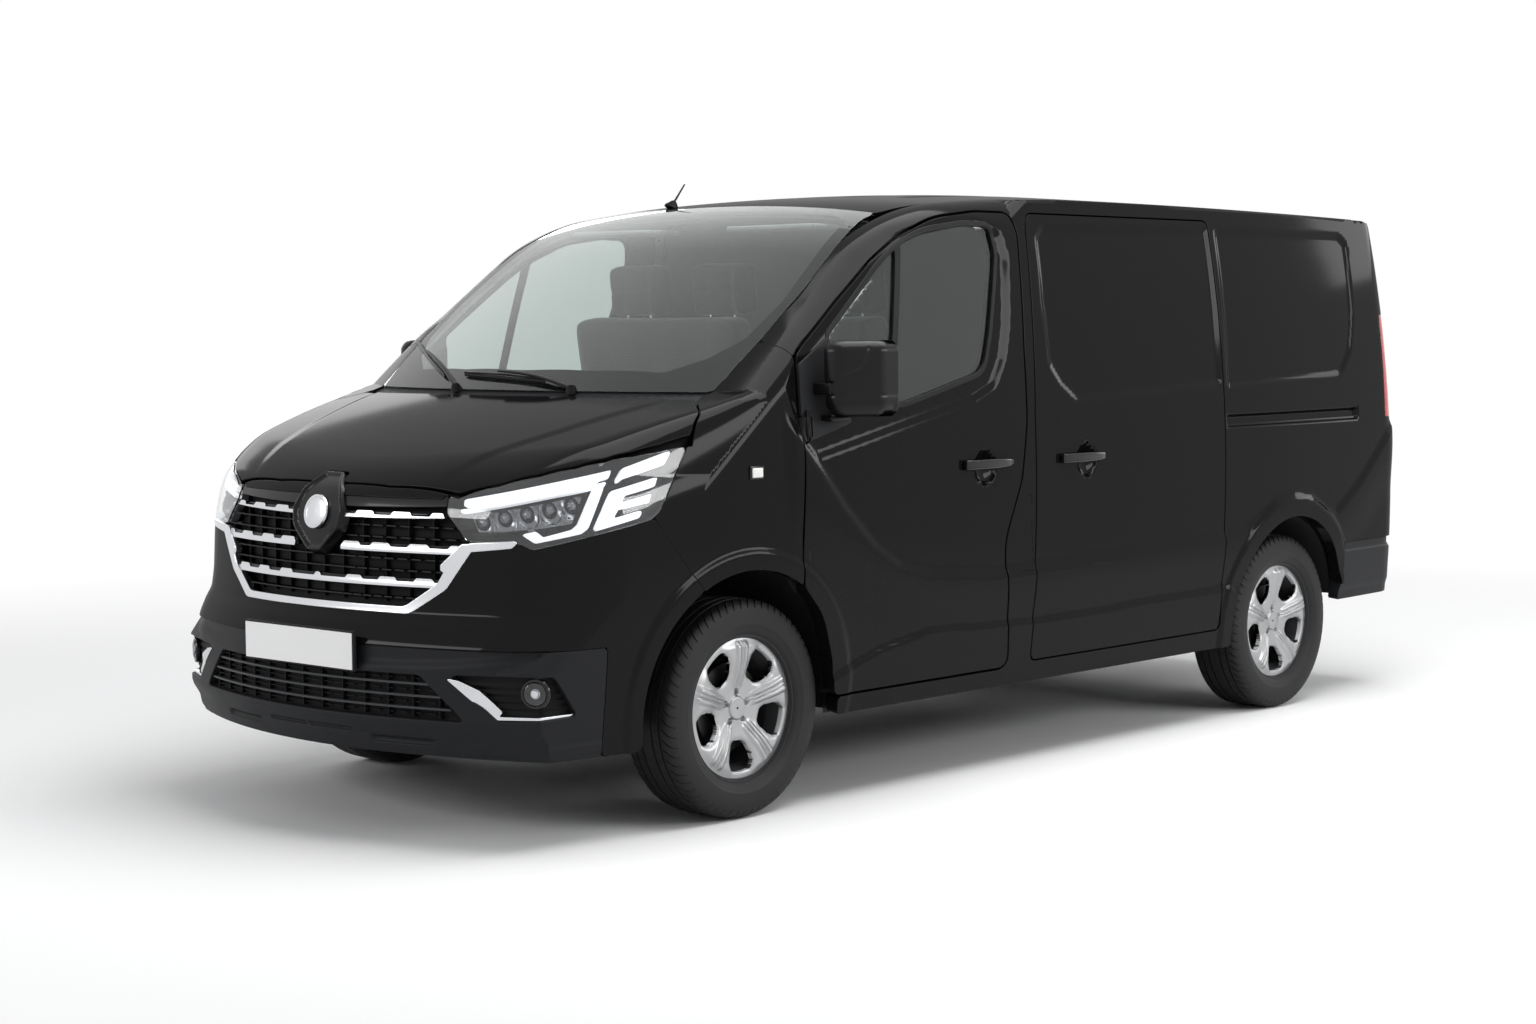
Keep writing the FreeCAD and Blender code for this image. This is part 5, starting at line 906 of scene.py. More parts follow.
wiper_black = finish("wiper_black", (0.012, 0.012, 0.012), 0.4, grain=300, bump=0.1)
wipers = Sheet()
shares = np.linspace(0, 1, 14)
arm_shares = np.linspace(0, 1, 10)
for x0, x1, lift0, lift1, pivot in ((-0.815, -0.370, 0.155, 0.020, -0.25),
                                    (-0.26, 0.165, 0.030, 0.008, 0.30)):
    rubber_line = [on_screen(x, -1.680 + arc(x) + lift0 + (lift1 - lift0) * t, 0.0095)
                   for x, t in zip(np.linspace(x0, x1, 14), shares)]
    spine = [p + np.array([0, 0, 0.0065 + 0.005 * math.sin(math.pi * t)])
             for p, t in zip(rubber_line, shares)]
    foot = on_screen(pivot, -1.700 + arc(pivot), 0.004)
    arm = [spine[6] + (foot - spine[6]) * t + np.array([0, 0, 0.010 + 0.012 * math.sin(math.pi * t)])
           for t in arm_shares]
    wipers.join(tube(rubber_line, 0.0035, 0.006, 8))
    wipers.join(tube(spine, 0.006, 0.0035, 8))
    wipers.join(tube(arm, np.linspace(0.006, 0.011, 10), np.linspace(0.004, 0.007, 10), 8))
    wipers.join(tube([foot + np.array([0, 0, h]) for h in (-0.01, 0.0, 0.012, 0.02)],
                     [0.016, 0.017, 0.016, 0.009], ring=16, up=(0, 1, 0)))
build("wipers", wipers, wiper_black, stands_for=("wipers",))

# Roof: one long crowned pressing with black strips in the side ditches and a short
# whip aerial on a moulded foot at the front.


def roof_field(x, y, z):
    return np.maximum.reduce([0.00015 - outboard(x, y, z), -0.6997 - y, np.where(y > 2.2, 1.892 - z, -1.0)])


def roof_relief(x, y, z):
    ribs = np.abs((np.abs(x) + 0.13) % 0.26 - 0.13)
    fade = ease((y + 0.35) / 0.2) * (1 - ease((y - 2.0) / 0.15)) * (1 - ease((np.abs(x) - 0.68) / 0.04))
    return -0.005 * (1 - ease((ribs - 0.03) / 0.02)) * fade


roof = panel(top_chart, np.arange(-0.86, 0.861, 0.02), np.arange(-0.72, 2.62, 0.024), roof_field, roof_relief,
             wall=0.033)
build("roof", roof, black_paint, stands_for=("roof",))
inner_of("roof", "roof_inner", inner_steel, 0.02)
strip = panel(top_chart, np.arange(0.828, 0.868, 0.005), np.arange(-0.09, 2.25, 0.02),
              lambda x, y, z: np.maximum.reduce([np.abs(np.abs(x) - 0.848) - 0.008, -0.072 - y, y - 2.2]),
              rim=0.002, wall=0.004, outside=0.0015)
build("ditch_strips", strip.both(), trim)
foot = np.array([-0.285, -0.620, 1.795 + reach((-0.285, -0.620, 1.795), (0, 0, 1))])
lean = np.array([0, math.sin(math.radians(40)), math.cos(math.radians(40))])
aerial = tube([foot + np.array([0, 0.4 * h, h]) for h in (-0.003, 0.004, 0.012, 0.022, 0.026)],
              [0.020, 0.0185, 0.014, 0.010, 0.004], [0.036, 0.033, 0.022, 0.012, 0.005], 20, (0, 1, 0))
aerial.join(tube([foot + np.array([0, 0.004, 0.014]) + lean * t for t in np.linspace(0, 0.095, 8)],
                 np.linspace(0.0045, 0.0028, 8)))
build("aerial", aerial, wiper_black, stands_for=("aerial",))

# Front bumper: a painted moulded skin down to the seam and back to the wheel openings,
# with openings for the grille and lamps.
grille_line = outline([(-0.530, 1.022, 0.01), (-0.593, 0.886, 0.04), (-0.515, 0.763, 0.05),
                       (-0.395, 0.690, 0.06), (0.395, 0.690, 0.06), (0.515, 0.763, 0.05),
                       (0.593, 0.886, 0.04), (0.530, 1.022, 0.01)])


def bumper_field(x, y, z):
    """The cover ends above the insert, and over the wheel it reaches down to the sill's level."""
    seam_y = np.interp(z, [0.2, 0.734, 0.956, 0.97, 0.98], [-1.758, -1.758, -1.942, -1.942, -1.95])
    low = np.where(y < -2.1097, 0.5903 - z, 0.262 - z)
    low = np.where((y > -2.1097) & (y < -2.09), np.maximum(low, np.where(z < 0.5903, -2.1097 - y, -1.0)), low)
    return np.maximum.reduce([low, (y - seam_y + 0.0003) * 0.8, -beyond(front_arch, y, z),
                              0.005 - bonnet_edge(x, y), 0.0003 - lamp_edge(x, y, z),
                              0.0003 - within(grille_line, x, z)])


fascia = panel(nose_chart, around(0.012), np.arange(0.25, 1.09, 0.011), bumper_field,
               lambda x, y, z: lip(front_arch, y, z), wall=0.028)
build("front_bumper", fascia, black_paint, stands_for=("front_bumper",))

# Lower bumper: grained dark moulding with a wide intake behind three thin bars, a
# sloping top ledge, corner pockets for the fog lamps, and a chin.
intake_line = outline([(-0.480, 0.510, 0.03), (-0.60, 0.405, 0.03), (-0.625, 0.378, 0.01),
                       (0.625, 0.378, 0.01), (0.60, 0.405, 0.03), (0.480, 0.510, 0.03)])
fog_corners = [(0.0, 0.98), (0.374, 0.0), (1.0, 0.068), (0.817, 1.0)]
fog_line = outline([(-1.506 + 0.377 * a, 0.386 + 0.132 * b, 0.014) for a, b in fog_corners])


def insert_field(x, y, z):
    intake = np.where(y < -2.3, within(intake_line, x, z), 1.0)
    fog = within(fog_line, across(x, y), z)
    return np.maximum.reduce([y + 2.1103, z - 0.5897, 0.262 - z, -intake, -fog])


def insert_relief(x, y, z):
    ledge = np.interp(np.abs(x), [0, 0.3, 0.56, 0.85, 0.95], [0.517, 0.520, 0.530, 0.562, 0.580])
    high = -0.012 * ease((z - ledge) / 0.03) * (1 - ease((np.abs(x) - 0.80) / 0.06))
    for low, top, start, end in ((0.296, 0.318, 0.27, 0.50), (0.318, 0.334, 0.0, 0.20)):
        slot = np.maximum(np.maximum(low - z, z - top), np.maximum(start - np.abs(x), np.abs(x) - end))
        high -= 0.010 * ease(-slot / 0.008)
    return high + 0.004 * (1 - ease((z - 0.30) / 0.02)) - 0.004 * (1 - ease((z - 0.272) / 0.01))


bumper_grey = finish("bumper_grey", (0.0125, 0.013, 0.0145), 0.5, grain=800, bump=0.3, depth=0.0003)
insert = panel(nose_chart, around(0.011, -1.28, 1.28), np.arange(0.25, 0.61, 0.008), insert_field,
               insert_relief, rim=0.004, wall=0.026)
build("bumper_insert", insert, bumper_grey, stands_for=("bumper_insert",))
pocket_black = finish("pocket_black", (0.004, 0.004, 0.0045), 0.6, grain=500, bump=0.2)
deep = panel(nose_chart, around(0.02, -1.25, 1.25), np.arange(0.36, 0.54, 0.01),
             lambda x, y, z: np.minimum(np.where(y < -2.28, within(intake_line, x, z), 1.0),
                                        within(fog_line, across(x, y), z)) - 0.004,
             lambda x, y, z: 0.0035 * np.sin(z * 2 * math.pi / 0.022) * (np.abs(x) > 0.56), wall=0.002,
             outside=-0.026)
build("intake_back", deep, pocket_black)
bars = Sheet()
for level in (0.411, 0.447, 0.483):
    bar_end = 0.485 + (0.512 - level) * 1.12
    bars.join(panel(nose_chart, around(0.012, -0.62, 0.62),
                    level + np.array([-0.006, -0.003, 0, 0.003, 0.006]),
                    lambda x, y, z: np.maximum(np.abs(z - level) - 0.0035, np.abs(x) - bar_end),
                    rim=0.002, wall=0.012, outside=-0.006))
build("intake_bars", bars, finish("intake_bars", (0.05, 0.052, 0.056), 0.35, grain=400, bump=0.1))

# Ribs behind the intake bars and in the grille: thin upright blades, one instance each
# on a row of points.


def applied(piece):
    """Turns the piece's modifiers into its plain mesh."""
    bpy.context.view_layer.update()
    made = bpy.data.meshes.new_from_object(piece.evaluated_get(bpy.context.evaluated_depsgraph_get()))
    made.name = piece.name
    piece.modifiers.clear()
    piece.data = made


def blade_row(name, places, size, material):
    """Geometry Nodes: one thin blade at each point, then made a plain mesh."""
    mesh = bpy.data.meshes.new(name)
    mesh.from_pydata([tuple(p) for p in places], [], [])
    piece = bpy.data.objects.new(name, mesh)
    bpy.context.collection.objects.link(piece)
    tree = bpy.data.node_groups.new(name, "GeometryNodeTree")
    tree.interface.new_socket("Geometry", in_out="INPUT", socket_type="NodeSocketGeometry")
    width = tree.interface.new_socket("Blade Size", in_out="INPUT", socket_type="NodeSocketVector")
    tree.interface.new_socket("Geometry", in_out="OUTPUT", socket_type="NodeSocketGeometry")
    start, end, blade, spread, real, paint = [tree.nodes.new(kind) for kind in (
        "NodeGroupInput", "NodeGroupOutput", "GeometryNodeMeshCube", "GeometryNodeInstanceOnPoints",
        "GeometryNodeRealizeInstances", "GeometryNodeSetMaterial")]
    paint.inputs["Material"].default_value = material
    for output, entry in ((start.outputs["Blade Size"], blade.inputs["Size"]),
                          (start.outputs["Geometry"], spread.inputs["Points"]),
                          (blade.outputs["Mesh"], spread.inputs["Instance"]),
                          (spread.outputs[0], real.inputs[0]), (real.outputs[0], paint.inputs["Geometry"]),
                          (paint.outputs[0], end.inputs[0])):
        tree.links.new(output, entry)
    modifier = piece.modifiers.new("blades", "NODES")
    modifier.node_group = tree
    modifier[width.identifier] = size
    applied(piece)
    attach(piece, "van")


def nose_point(x, z, depth):
    """A point at this depth behind the nose, at x and z."""
    ys = np.linspace(-2.56, -2.0, 1200)
    inside = hull(np.full(1200, x), ys, np.full(1200, z)) < -depth
    return np.array([x, ys[np.argmax(inside)], z])


blade_row("intake_ribs", [nose_point(x, 0.446, 0.019) for x in np.arange(-0.54, 0.55, 0.09)],
          (0.003, 0.014, 0.125), pocket_black)
blade_row("intake_slats", [nose_point(x, z, 0.021) for z in (0.395, 0.429, 0.465, 0.498)
                           for x in np.arange(-0.50, 0.51, 0.05)], (0.056, 0.008, 0.003), pocket_black)

# Fog lamps: round lamps with a turned bezel, reflector and domed lens, sunk into the
# corner pockets, with a plated blade clipped in at each pocket's inner foot.
chrome = finish("satin_chrome", (0.62, 0.63, 0.65), 0.22, metal=1.0, grain=200, bump=0.02, mottle=0.04)
blade_line = outline([(-1.512, 0.507, 0.004), (-1.470, 0.500, 0.01), (-1.413, 0.475, 0.02),
                      (-1.346, 0.412, 0.01), (-1.360, 0.399, 0.004), (-1.129, 0.403, 0.001),
                      (-1.127, 0.396, 0.001), (-1.370, 0.388, 0.01)])
blade = panel(nose_chart, around(0.005, 0.55, 1.2), np.arange(0.37, 0.52, 0.004),
              lambda x, y, z: within(blade_line, across(x, y), z),
              lambda x, y, z: -0.012 * ease((across(x, y) + 1.42 + (0.49 - z) * 0.9) / 0.10),
              rim=0.0015, wall=0.012, outside=0.003)
build("fog_blades", blade.both(), chrome)


def turned(profile, centre, axis, steps=40):
    """A closed turned shape: profile of (radius, height) pairs along axis."""
    axis = np.array(axis, float)
    axis /= np.linalg.norm(axis)
    first = np.cross((0.0, 0.0, 1.0), axis)
    first /= np.linalg.norm(first)
    second = np.cross(axis, first)
    points, normals, faces = [], [], []
    for (r0, h0), (r1, h1) in zip(profile[:-1], profile[1:]):
        base = len(points)
        for k in range(steps):
            t = 2 * math.pi * k / steps
            out = first * math.cos(t) + second * math.sin(t)
            slope = out * (h1 - h0) - axis * (r1 - r0)
            slope = slope / (np.linalg.norm(slope) + 1e-12)
            points += [centre + out * r0 + axis * h0, centre + out * r1 + axis * h1]
            normals += [slope, slope]
        for k in range(steps):
            a, b = base + 2 * k, base + 2 * ((k + 1) % steps)
            faces.append([a, b, b + 1, a + 1])
    return Sheet().add(np.array(points), np.array(normals), faces)


def dome(radius, rise, start=0.0, count=7):
    return [(radius * math.cos(t), start + rise * math.sin(t)) for t in np.linspace(0, math.pi / 2, count)]


fog_way = np.array([math.sin(math.radians(30)), -math.cos(math.radians(30)), 0])
fog_centre = np.array([0.835, -2.342, 0.470]) - fog_way * 0.016
bezel = turned([(0.0, -0.006), (0.046, -0.006), (0.046, 0.004), (0.043, 0.008), (0.036, 0.008),
                (0.034, 0.002), (0.0, 0.0)], fog_centre, fog_way)
build("fog_bezels", bezel.both(), handle_black)
bowl = turned([(0.033, 0.002), (0.025, -0.001), (0.012, 0.001), (0.010, 0.006), (0.0, 0.007)], fog_centre,
              fog_way)
build("fog_reflectors", bowl.both(), chrome)
lens = turned(dome(0.034, 0.008, 0.007) + [(0.0, 0.0145)], fog_centre, fog_way)
build("fog_lamps", lens.both(), lens_white, stands_for=("fog_lamps",))

# Grille: gloss black slatted insert with a satin chrome frame and three chrome bars
# whose upper edges are notched; a bare badge stands in the middle.
gloss_black = finish("gloss_black", (0.003, 0.003, 0.0034), 0.25, coat=0.22, grain=300, bump=0.03)
back = panel(nose_chart, around(0.02, -0.8, 0.8), np.arange(0.67, 1.04, 0.012),
             lambda x, y, z: np.where(y < -2.0, within(grille_line, x, z), 1.0) - 0.001, rim=0.001,
             wall=0.002, outside=-0.045)
build("grille_back", back, pocket_black)
frame_low = outline([(-0.612, 0.925, 0.02), (-0.600, 0.872, 0.02), (-0.517, 0.757, 0.05),
                     (-0.397, 0.681, 0.06), (0.397, 0.681, 0.06), (0.517, 0.757, 0.05), (0.600, 0.872, 0.02),
                     (0.612, 0.925, 0.02)])
frame_high = outline([(-0.640, 0.95), (-0.556, 0.886, 0.03), (-0.486, 0.775, 0.05), (-0.376, 0.704, 0.06),
                      (0.376, 0.704, 0.06), (0.486, 0.775, 0.05), (0.556, 0.886, 0.03), (0.640, 0.95)])
tongue = outline([(-1.475, 0.876, 0.004), (-1.432, 0.899, 0.01), (-1.289, 0.908, 0.002),
                  (-1.312, 0.884, 0.004), (-1.433, 0.870, 0.02), (-1.50, 0.80, 0.01), (-1.53, 0.82, 0.01)])


def frame_field(x, y, z):
    ring_part = np.maximum(within(frame_low, x, z), -within(frame_high, x, z))
    ring_part = np.maximum(ring_part, z - 0.896)
    ring_part = np.where(y < -2.0, ring_part, 1.0)
    wing_part = np.where(np.abs(x) > 0.5, within(tongue, across(x, y), z), 1.0)
    return np.minimum(ring_part, wing_part)


surround = panel(nose_chart, around(0.007, -0.95, 0.95), np.arange(0.665, 0.935, 0.005), frame_field,
                 rim=0.004, wall=0.020, outside=0.005)
build("grille_frame", surround, chrome, stands_for=("grille",))


def grille_half(z):
    """Half the width between the frame's flanks at this height."""
    return np.interp(z, [0.69, 0.763, 0.886, 1.02], [0.395, 0.500, 0.572, 0.520])


def beside_badge(level, x):
    """Keeps the upper bars clear of the badge."""
    return 0.110 - np.abs(x) if level > 0.80 else np.full(len(x), -1.0)


def bar_field(level, starts, tooth):
    """A chrome strip with slanted teeth along its upper edge, one from each start."""
    def field(x, y, z):
        a = np.abs(x)
        strip = np.maximum(level - 0.002 - z, z - level - 0.014)
        slant = (z - level - 0.011) * 0.9
        teeth = np.minimum.reduce([np.maximum(s + slant - a, a - s - tooth + slant) for s in starts])
        teeth = np.maximum(teeth, np.maximum(level + 0.008 - z, z - level - 0.0245))
        return np.maximum.reduce([np.minimum(strip, teeth), a - grille_half(z) + 0.008,
                                  beside_badge(level, x) + 0.002, 0.012 - lamp_edge(x, y, z)])
    return field


def core_field(level):
    """The black bar that carries the chrome one."""
    return lambda x, y, z: np.maximum.reduce([level - z, z - level - 0.022,
                                              np.abs(x) - grille_half(z) + 0.008, beside_badge(level, x)])


rows = [(0.957, (0.160, 0.304, 0.448), 0.086), (0.863, (0.112, 0.232, 0.376, 0.52), 0.086),
        (0.762, (-0.06, 0.126, 0.262, 0.398), 0.080)]
for number, (level, starts, tooth) in enumerate(rows, 1):
    bar = panel(nose_chart, around(0.005, -0.72, 0.72), np.arange(level - 0.010, level + 0.036, 0.0030),
                bar_field(level, starts, tooth),
                lambda x, y, z: 0.003 * (1 - ease((z - level - 0.002) / 0.02)), rim=0.0008, wall=0.014,
                outside=-0.004)
    build("grille_bar_%d" % number, bar, chrome)
    core = panel(nose_chart, around(0.012, -0.72, 0.72), np.arange(level - 0.002, level + 0.030, 0.005),
                 core_field(level), rim=0.0015, wall=0.016, outside=-0.011)
    build("grille_bar_core_%d" % number, core, gloss_black)
places = []
for z in (0.725, 0.806, 0.840, 0.903, 0.937):
    half = float(np.interp(z, [0.69, 0.763, 0.886, 1.02], [0.375, 0.475, 0.545, 0.500]))
    places += [nose_point(x, z, 0.034) for x in np.arange(-half, half + 0.001, half / 10)]
blade_row("grille_slats", places, (0.112, 0.020, 0.004), gloss_black)
places = [nose_point(x, 0.84, 0.040) for x in np.arange(-0.45, 0.46, 0.09)]
blade_row("grille_ribs", places, (0.004, 0.02, 0.26), pocket_black)
cover = panel(nose_chart, around(0.012, -0.85, 0.85), np.arange(0.975, 1.05, 0.006),
              lambda x, y, z: np.maximum.reduce([0.986 - z, np.abs(x) - 0.545, 0.003 - bonnet_edge(x, y),
                                                 0.001 - lamp_edge(x, y, z)]),
              rim=0.003, wall=0.012, outside=-0.004)
build("grille_cover", cover, gloss_black)
shield_half = [(0.040, 1.088, 0.02), (0.088, 1.040, 0.02), (0.116, 0.975, 0.03), (0.106, 0.925, 0.03),
               (0.030, 0.856, 0.02)]
shield = outline([(-0.040, 1.088, 0.02)] + shield_half
                 + [(-a, b, r) for a, b, r in reversed(shield_half[1:])])
seat = panel(nose_chart, around(0.006, -0.2, 0.2), np.arange(0.84, 1.12, 0.006),
             lambda x, y, z: within(shield, x, z),
             lambda x, y, z: -0.010 * ease(-within(shield, x, z) / 0.012 - 0.3), rim=0.005, wall=0.03,
             outside=0.012)
build("badge_seat", seat, gloss_black)
middle = nose_point(0, 0.968, 0)
slope = middle - nose_point(0, 0.988, 0)
face = np.array([0, -abs(slope[2]), abs(slope[1])]) / np.linalg.norm(slope)
badge = turned([(0.0, -0.004), (0.052, -0.004), (0.054, 0.002), (0.052, 0.008), (0.046, 0.010),
                (0.042, 0.007), (0.030, 0.009), (0.0, 0.0105)], middle + face * 0.006, face, 64)
build("bare_badge", badge, chrome)

# Number plates: blank white plates, pressed from thin sheet, the front one in a black
# moulded holder on the bumper and the rear one screwed to the rear bumper.
plate_white = finish("plate_white", (0.80, 0.80, 0.80), 0.35, coat=0.3, grain=500, bump=0.03, mottle=0.02)
rounded_box("front_plate", (-0.26, -2.5467, 0.513), (0.26, -2.5435, 0.623), 0.0015, plate_white)
rounded_box("front_plate_holder", (-0.265, -2.5434, 0.507), (0.265, -2.530, 0.629), 0.004, trim)
rear_plate = rounded_box("rear_plate", (-0.26, 2.5436, 0.47), (0.26, 2.5475, 0.58), 0.0015, plate_white)
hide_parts("number_plates")

# Headlamps: a clear moulded lens over a black housing, with white light strips, a comb
# of outer strips and a row of bowl reflectors.


def lamp_field(x, y, z):
    return np.maximum(lamp_edge(x, y, z), 0.005 - bonnet_edge(x, y))


def lamp_part(line, step, rim, depth, relief=None):
    """A part inside the lamps, within an outline seen from between front and side."""
    part = panel(nose_chart, around(step, 0.55, 1.75), np.arange(0.87, 1.25, step),
                 lambda x, y, z: np.maximum(within(line, across(x, y), z), 0.007 - bonnet_edge(x, y)), relief,
                 rim=rim, wall=0.02, outside=depth)
    return part.both()


lens = panel(nose_chart, around(0.010, 0.5, 1.8), np.arange(0.87, 1.30, 0.010), lamp_field, rim=0.002,
             wall=0.003, closed=True)
build("headlamps", lens.both(), lens_white, stands_for=("headlamps",))
housing = panel(nose_chart, around(0.011, 0.5, 1.8), np.arange(0.87, 1.30, 0.011),
                lambda x, y, z: lamp_field(x, y, z) + 0.001,
                lambda x, y, z: 0.024 * (1 - ease(-lamp_field(x, y, z) / 0.02)), rim=0.001, wall=0.02,
                outside=-0.034)
lamp_black = finish("lamp_black", (0.008, 0.0085, 0.0095), 0.4, coat=0.1, grain=250, bump=0.05)
build("lamp_housings", housing.both(), lamp_black)
lit = finish("lit_strip", (0.9, 0.92, 0.95), 0.3, grain=300, bump=0.05, mottle=0.03, glow=0.55)
strip = outline([(-1.446, 1.023, 0.004), (-1.014, 1.108, 0.004), (-1.024, 1.084, 0.004),
                 (-1.449, 1.003, 0.004)])
line = outline([(-1.457, 0.9935), (-1.032, 1.0745), (-1.032, 1.0655), (-1.457, 0.9845)])
hook = outline([(-1.073, 1.056, 0.004), (-1.038, 1.062, 0.004), (-1.089, 0.940, 0.01), (-1.110, 0.925, 0.01),
                (-1.246, 0.899, 0.008), (-1.285, 0.925, 0.002), (-1.243, 0.934, 0.002),
                (-1.222, 0.917, 0.005), (-1.139, 0.938, 0.01), (-1.121, 0.952, 0.01)])
comb = outline([(-1.018, 1.047, 0.004), (-0.872, 1.083, 0.003), (-0.883, 1.055, 0.003),
                (-0.975, 1.034, 0.003), (-0.988, 1.012, 0.003), (-0.893, 1.034, 0.003),
                (-0.905, 1.008, 0.003), (-0.998, 0.992, 0.003), (-1.014, 0.966, 0.003),
                (-0.922, 0.988, 0.003), (-0.934, 0.965, 0.003), (-1.074, 0.930, 0.004)])
turn_strip = outline([(-0.980, 1.112, 0.004), (-0.826, 1.161, 0.003), (-0.852, 1.117, 0.003),
                      (-1.002, 1.074, 0.004)])
strips = Sheet()
for shape, step in ((strip, 0.005), (line, 0.004), (hook, 0.005), (comb, 0.005), (turn_strip, 0.005)):
    strips.join(lamp_part(shape, step, 0.0008, -0.009))
build("lamp_strips", strips, lit)
module = outline([(-1.430, 0.975, 0.01), (-1.100, 1.038, 0.01), (-1.135, 0.955, 0.01), (-1.217, 0.943, 0.01),
                  (-1.346, 0.930, 0.01), (-1.410, 0.928, 0.01)])


def bowls(x, y, z):
    """A row of round reflectors, each with a small lamp standing in its middle."""
    u, pitch = across(x, y) + 1.430, 0.066
    cell = (u / pitch - np.floor(u / pitch) - 0.5) * pitch
    rise = z - (0.952 + 0.19 * u)
    away = np.hypot(cell + rise * 0.25, rise * 0.8)
    return -0.020 * dish(away, 0.036) + 0.014 * dish(away, 0.013)


bowl_chrome = finish("bowl_chrome", (0.16, 0.165, 0.175), 0.14, metal=1.0, grain=200, bump=0.02)
build("lamp_bowls", lamp_part(module, 0.004, 0.002, -0.018, bowls), bowl_chrome)

# Door mirrors: two-part moulded heads on arms from the window corner, with a silvered
# glass above and a smaller wide-angle one below it.


def mirror_head(sign):
    """Boxy head: a rounded plan outline drawn up over its height, with a raised upper cap,
    a groove under the arm's band and edges rounded at the top and foot."""
    corners = outline([(0.988, -1.262, 0.05), (1.056, -1.259, 0.07), (1.1395, -1.132, 0.06),
                       (1.1395, -1.048, 0.012), (0.997, -1.077, 0.012)])
    corners = np.vstack([corners, corners[:1]])
    ends = np.cumsum(np.r_[0, np.linalg.norm(np.diff(corners, axis=0), axis=1)])
    along = np.linspace(0, ends[-1], 151)[:-1]
    plan = np.stack([np.interp(along, ends, corners[:, k]) for k in range(2)], 1)
    step = np.roll(plan, -1, 0) - np.roll(plan, 1, 0)
    facing = np.stack([step[:, 1], -step[:, 0]], 1)
    facing /= np.linalg.norm(facing, axis=1)[:, None]
    low, high, edge = 1.240, 1.478, 0.036
    rounding = [(edge * (1 - math.sin(t)), edge * (1 - math.cos(t))) for t in np.linspace(0, math.pi / 2, 10)]
    stations = [(low + rise, inset) for rise, inset in rounding[::-1]]
    stations += [(z, 0.0) for z in np.arange(low + edge + 0.004, high - edge, 0.004)]
    stations += [(high - rise, inset) for rise, inset in rounding]
    front = ease((-1.06 - plan[:, 1]) / 0.02)
    points = []
    for z, inset in stations:
        cap_end = 1.052 + 0.050 * ease((z - 1.352) / 0.05) + 0.16 * (z - 1.352)
        cap = ease((z - 1.347) / 0.006) * ease((cap_end - plan[:, 0]) / 0.012) * front
        groove = math.exp(-((z - 1.3065) / 0.0022) ** 2)
        out = 0.0035 * cap - 0.0030 * groove - inset - 0.0035 - 0.010 * ease((1.29 - z) / 0.05) * front
        points += [(sign * x, y, z) for x, y in plan + facing * out[:, None]]
    count = len(plan)
    mid_x, mid_y = plan.mean(0) * (sign, 1)
    faces = []
    for first, z in ((0, low - 0.0006), ((len(stations) - 1) * count, high + 0.0006)):
        edge_ring = points[first:first + count]
        for share in (0.6, 0.2):
            start = len(points)
            points += [(mid_x + (x - mid_x) * share, mid_y + (y - mid_y) * share, z) for x, y, _ in edge_ring]
            faces += [(first + k, first + (k + 1) % count, start + (k + 1) % count, start + k)
                      for k in range(count)]
            first = start
        faces.append(tuple(range(first, first + count)))
    return points, faces + ring_faces(len(stations), count)


def solid(name, points, faces, material, body, angle=40):
    """A closed mesh with its faces turned outwards."""
    mesh = bpy.data.meshes.new(name)
    mesh.from_pydata([tuple(p) for p in points], [], [tuple(f) for f in faces])
    made = bmesh.new()
    made.from_mesh(mesh)
    bmesh.ops.remove_doubles(made, verts=made.verts, dist=1e-6)
    bmesh.ops.recalc_face_normals(made, faces=made.faces)
    made.to_mesh(mesh)
    made.free()
    mesh.shade_smooth()
    mesh.set_sharp_from_angle(angle=math.radians(angle))
    piece = linked(name, mesh, material)
    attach(piece, body)
    return piece


mirror_black = finish("mirror_black", (0.0045, 0.0045, 0.005), 0.34, coat=0.16, grain=500, bump=0.1)
silvered = finish("silvered_glass", (0.78, 0.80, 0.82), 0.03, metal=1.0, grain=50, bump=0.0, mottle=0.01)


def leaning(x, y, z):
    """The glasses look a little inwards."""
    return (x, y + 0.20 * (abs(x) - 1.07), z)


for side, sign in sides:
    body = "front_door_" + side
    head = solid("mirror_" + side + "_head", *mirror_head(sign), mirror_black, body)
    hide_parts("mirror_" + side)
    for part, xs, ys, zs, radius in (
            ("arm", (0.915, 1.03), (-1.2615, -1.205), (1.3085, 1.3465), 0.006),
            ("foot", (0.890, 0.934), (-1.250, -1.150), (1.236, 1.349), 0.012),
            ("shelf", (0.890, 1.010), (-1.232, -1.140), (1.224, 1.244), 0.008)):
        side_box("mirror_%s_%s" % (part, side), sign, xs, ys, zs, radius, mirror_black, body)
    for part, zs in (("glass", (1.316, 1.438)), ("wide_glass", (1.278, 1.311))):
        side_box("mirror_%s_%s" % (part, side), sign, (1.012, 1.124), (-1.066, -1.062), zs, 0.0015, silvered,
                 body, leaning)

# Rear doors: two steel pressings with shallow pressed fields, on outside hinges, and a
# moulded pull handle on the left leaf.


def leaf_relief(x, y, z):
    upper = np.maximum(np.abs(np.abs(x) - 0.40) - 0.29, np.abs(z - 1.53) - 0.24)
    lower = np.maximum(np.abs(np.abs(x) - 0.40) - 0.30, np.abs(z - 0.93) - 0.22)
    return -0.008 * ease(-upper / 0.035) - 0.006 * ease(-lower / 0.035)


def leaf_field(x, y, z):
    """Distance outside the leaf, a rectangle with round corners."""
    corner = 0.022
    a = np.abs(x - 0.38925) - 0.38575 + corner
    b = np.abs(z - 1.2625) - 0.6225 + corner
    return np.where((a > 0) & (b > 0), np.hypot(np.maximum(a, 0), np.maximum(b, 0)),
                    np.maximum(a, b)) - corner


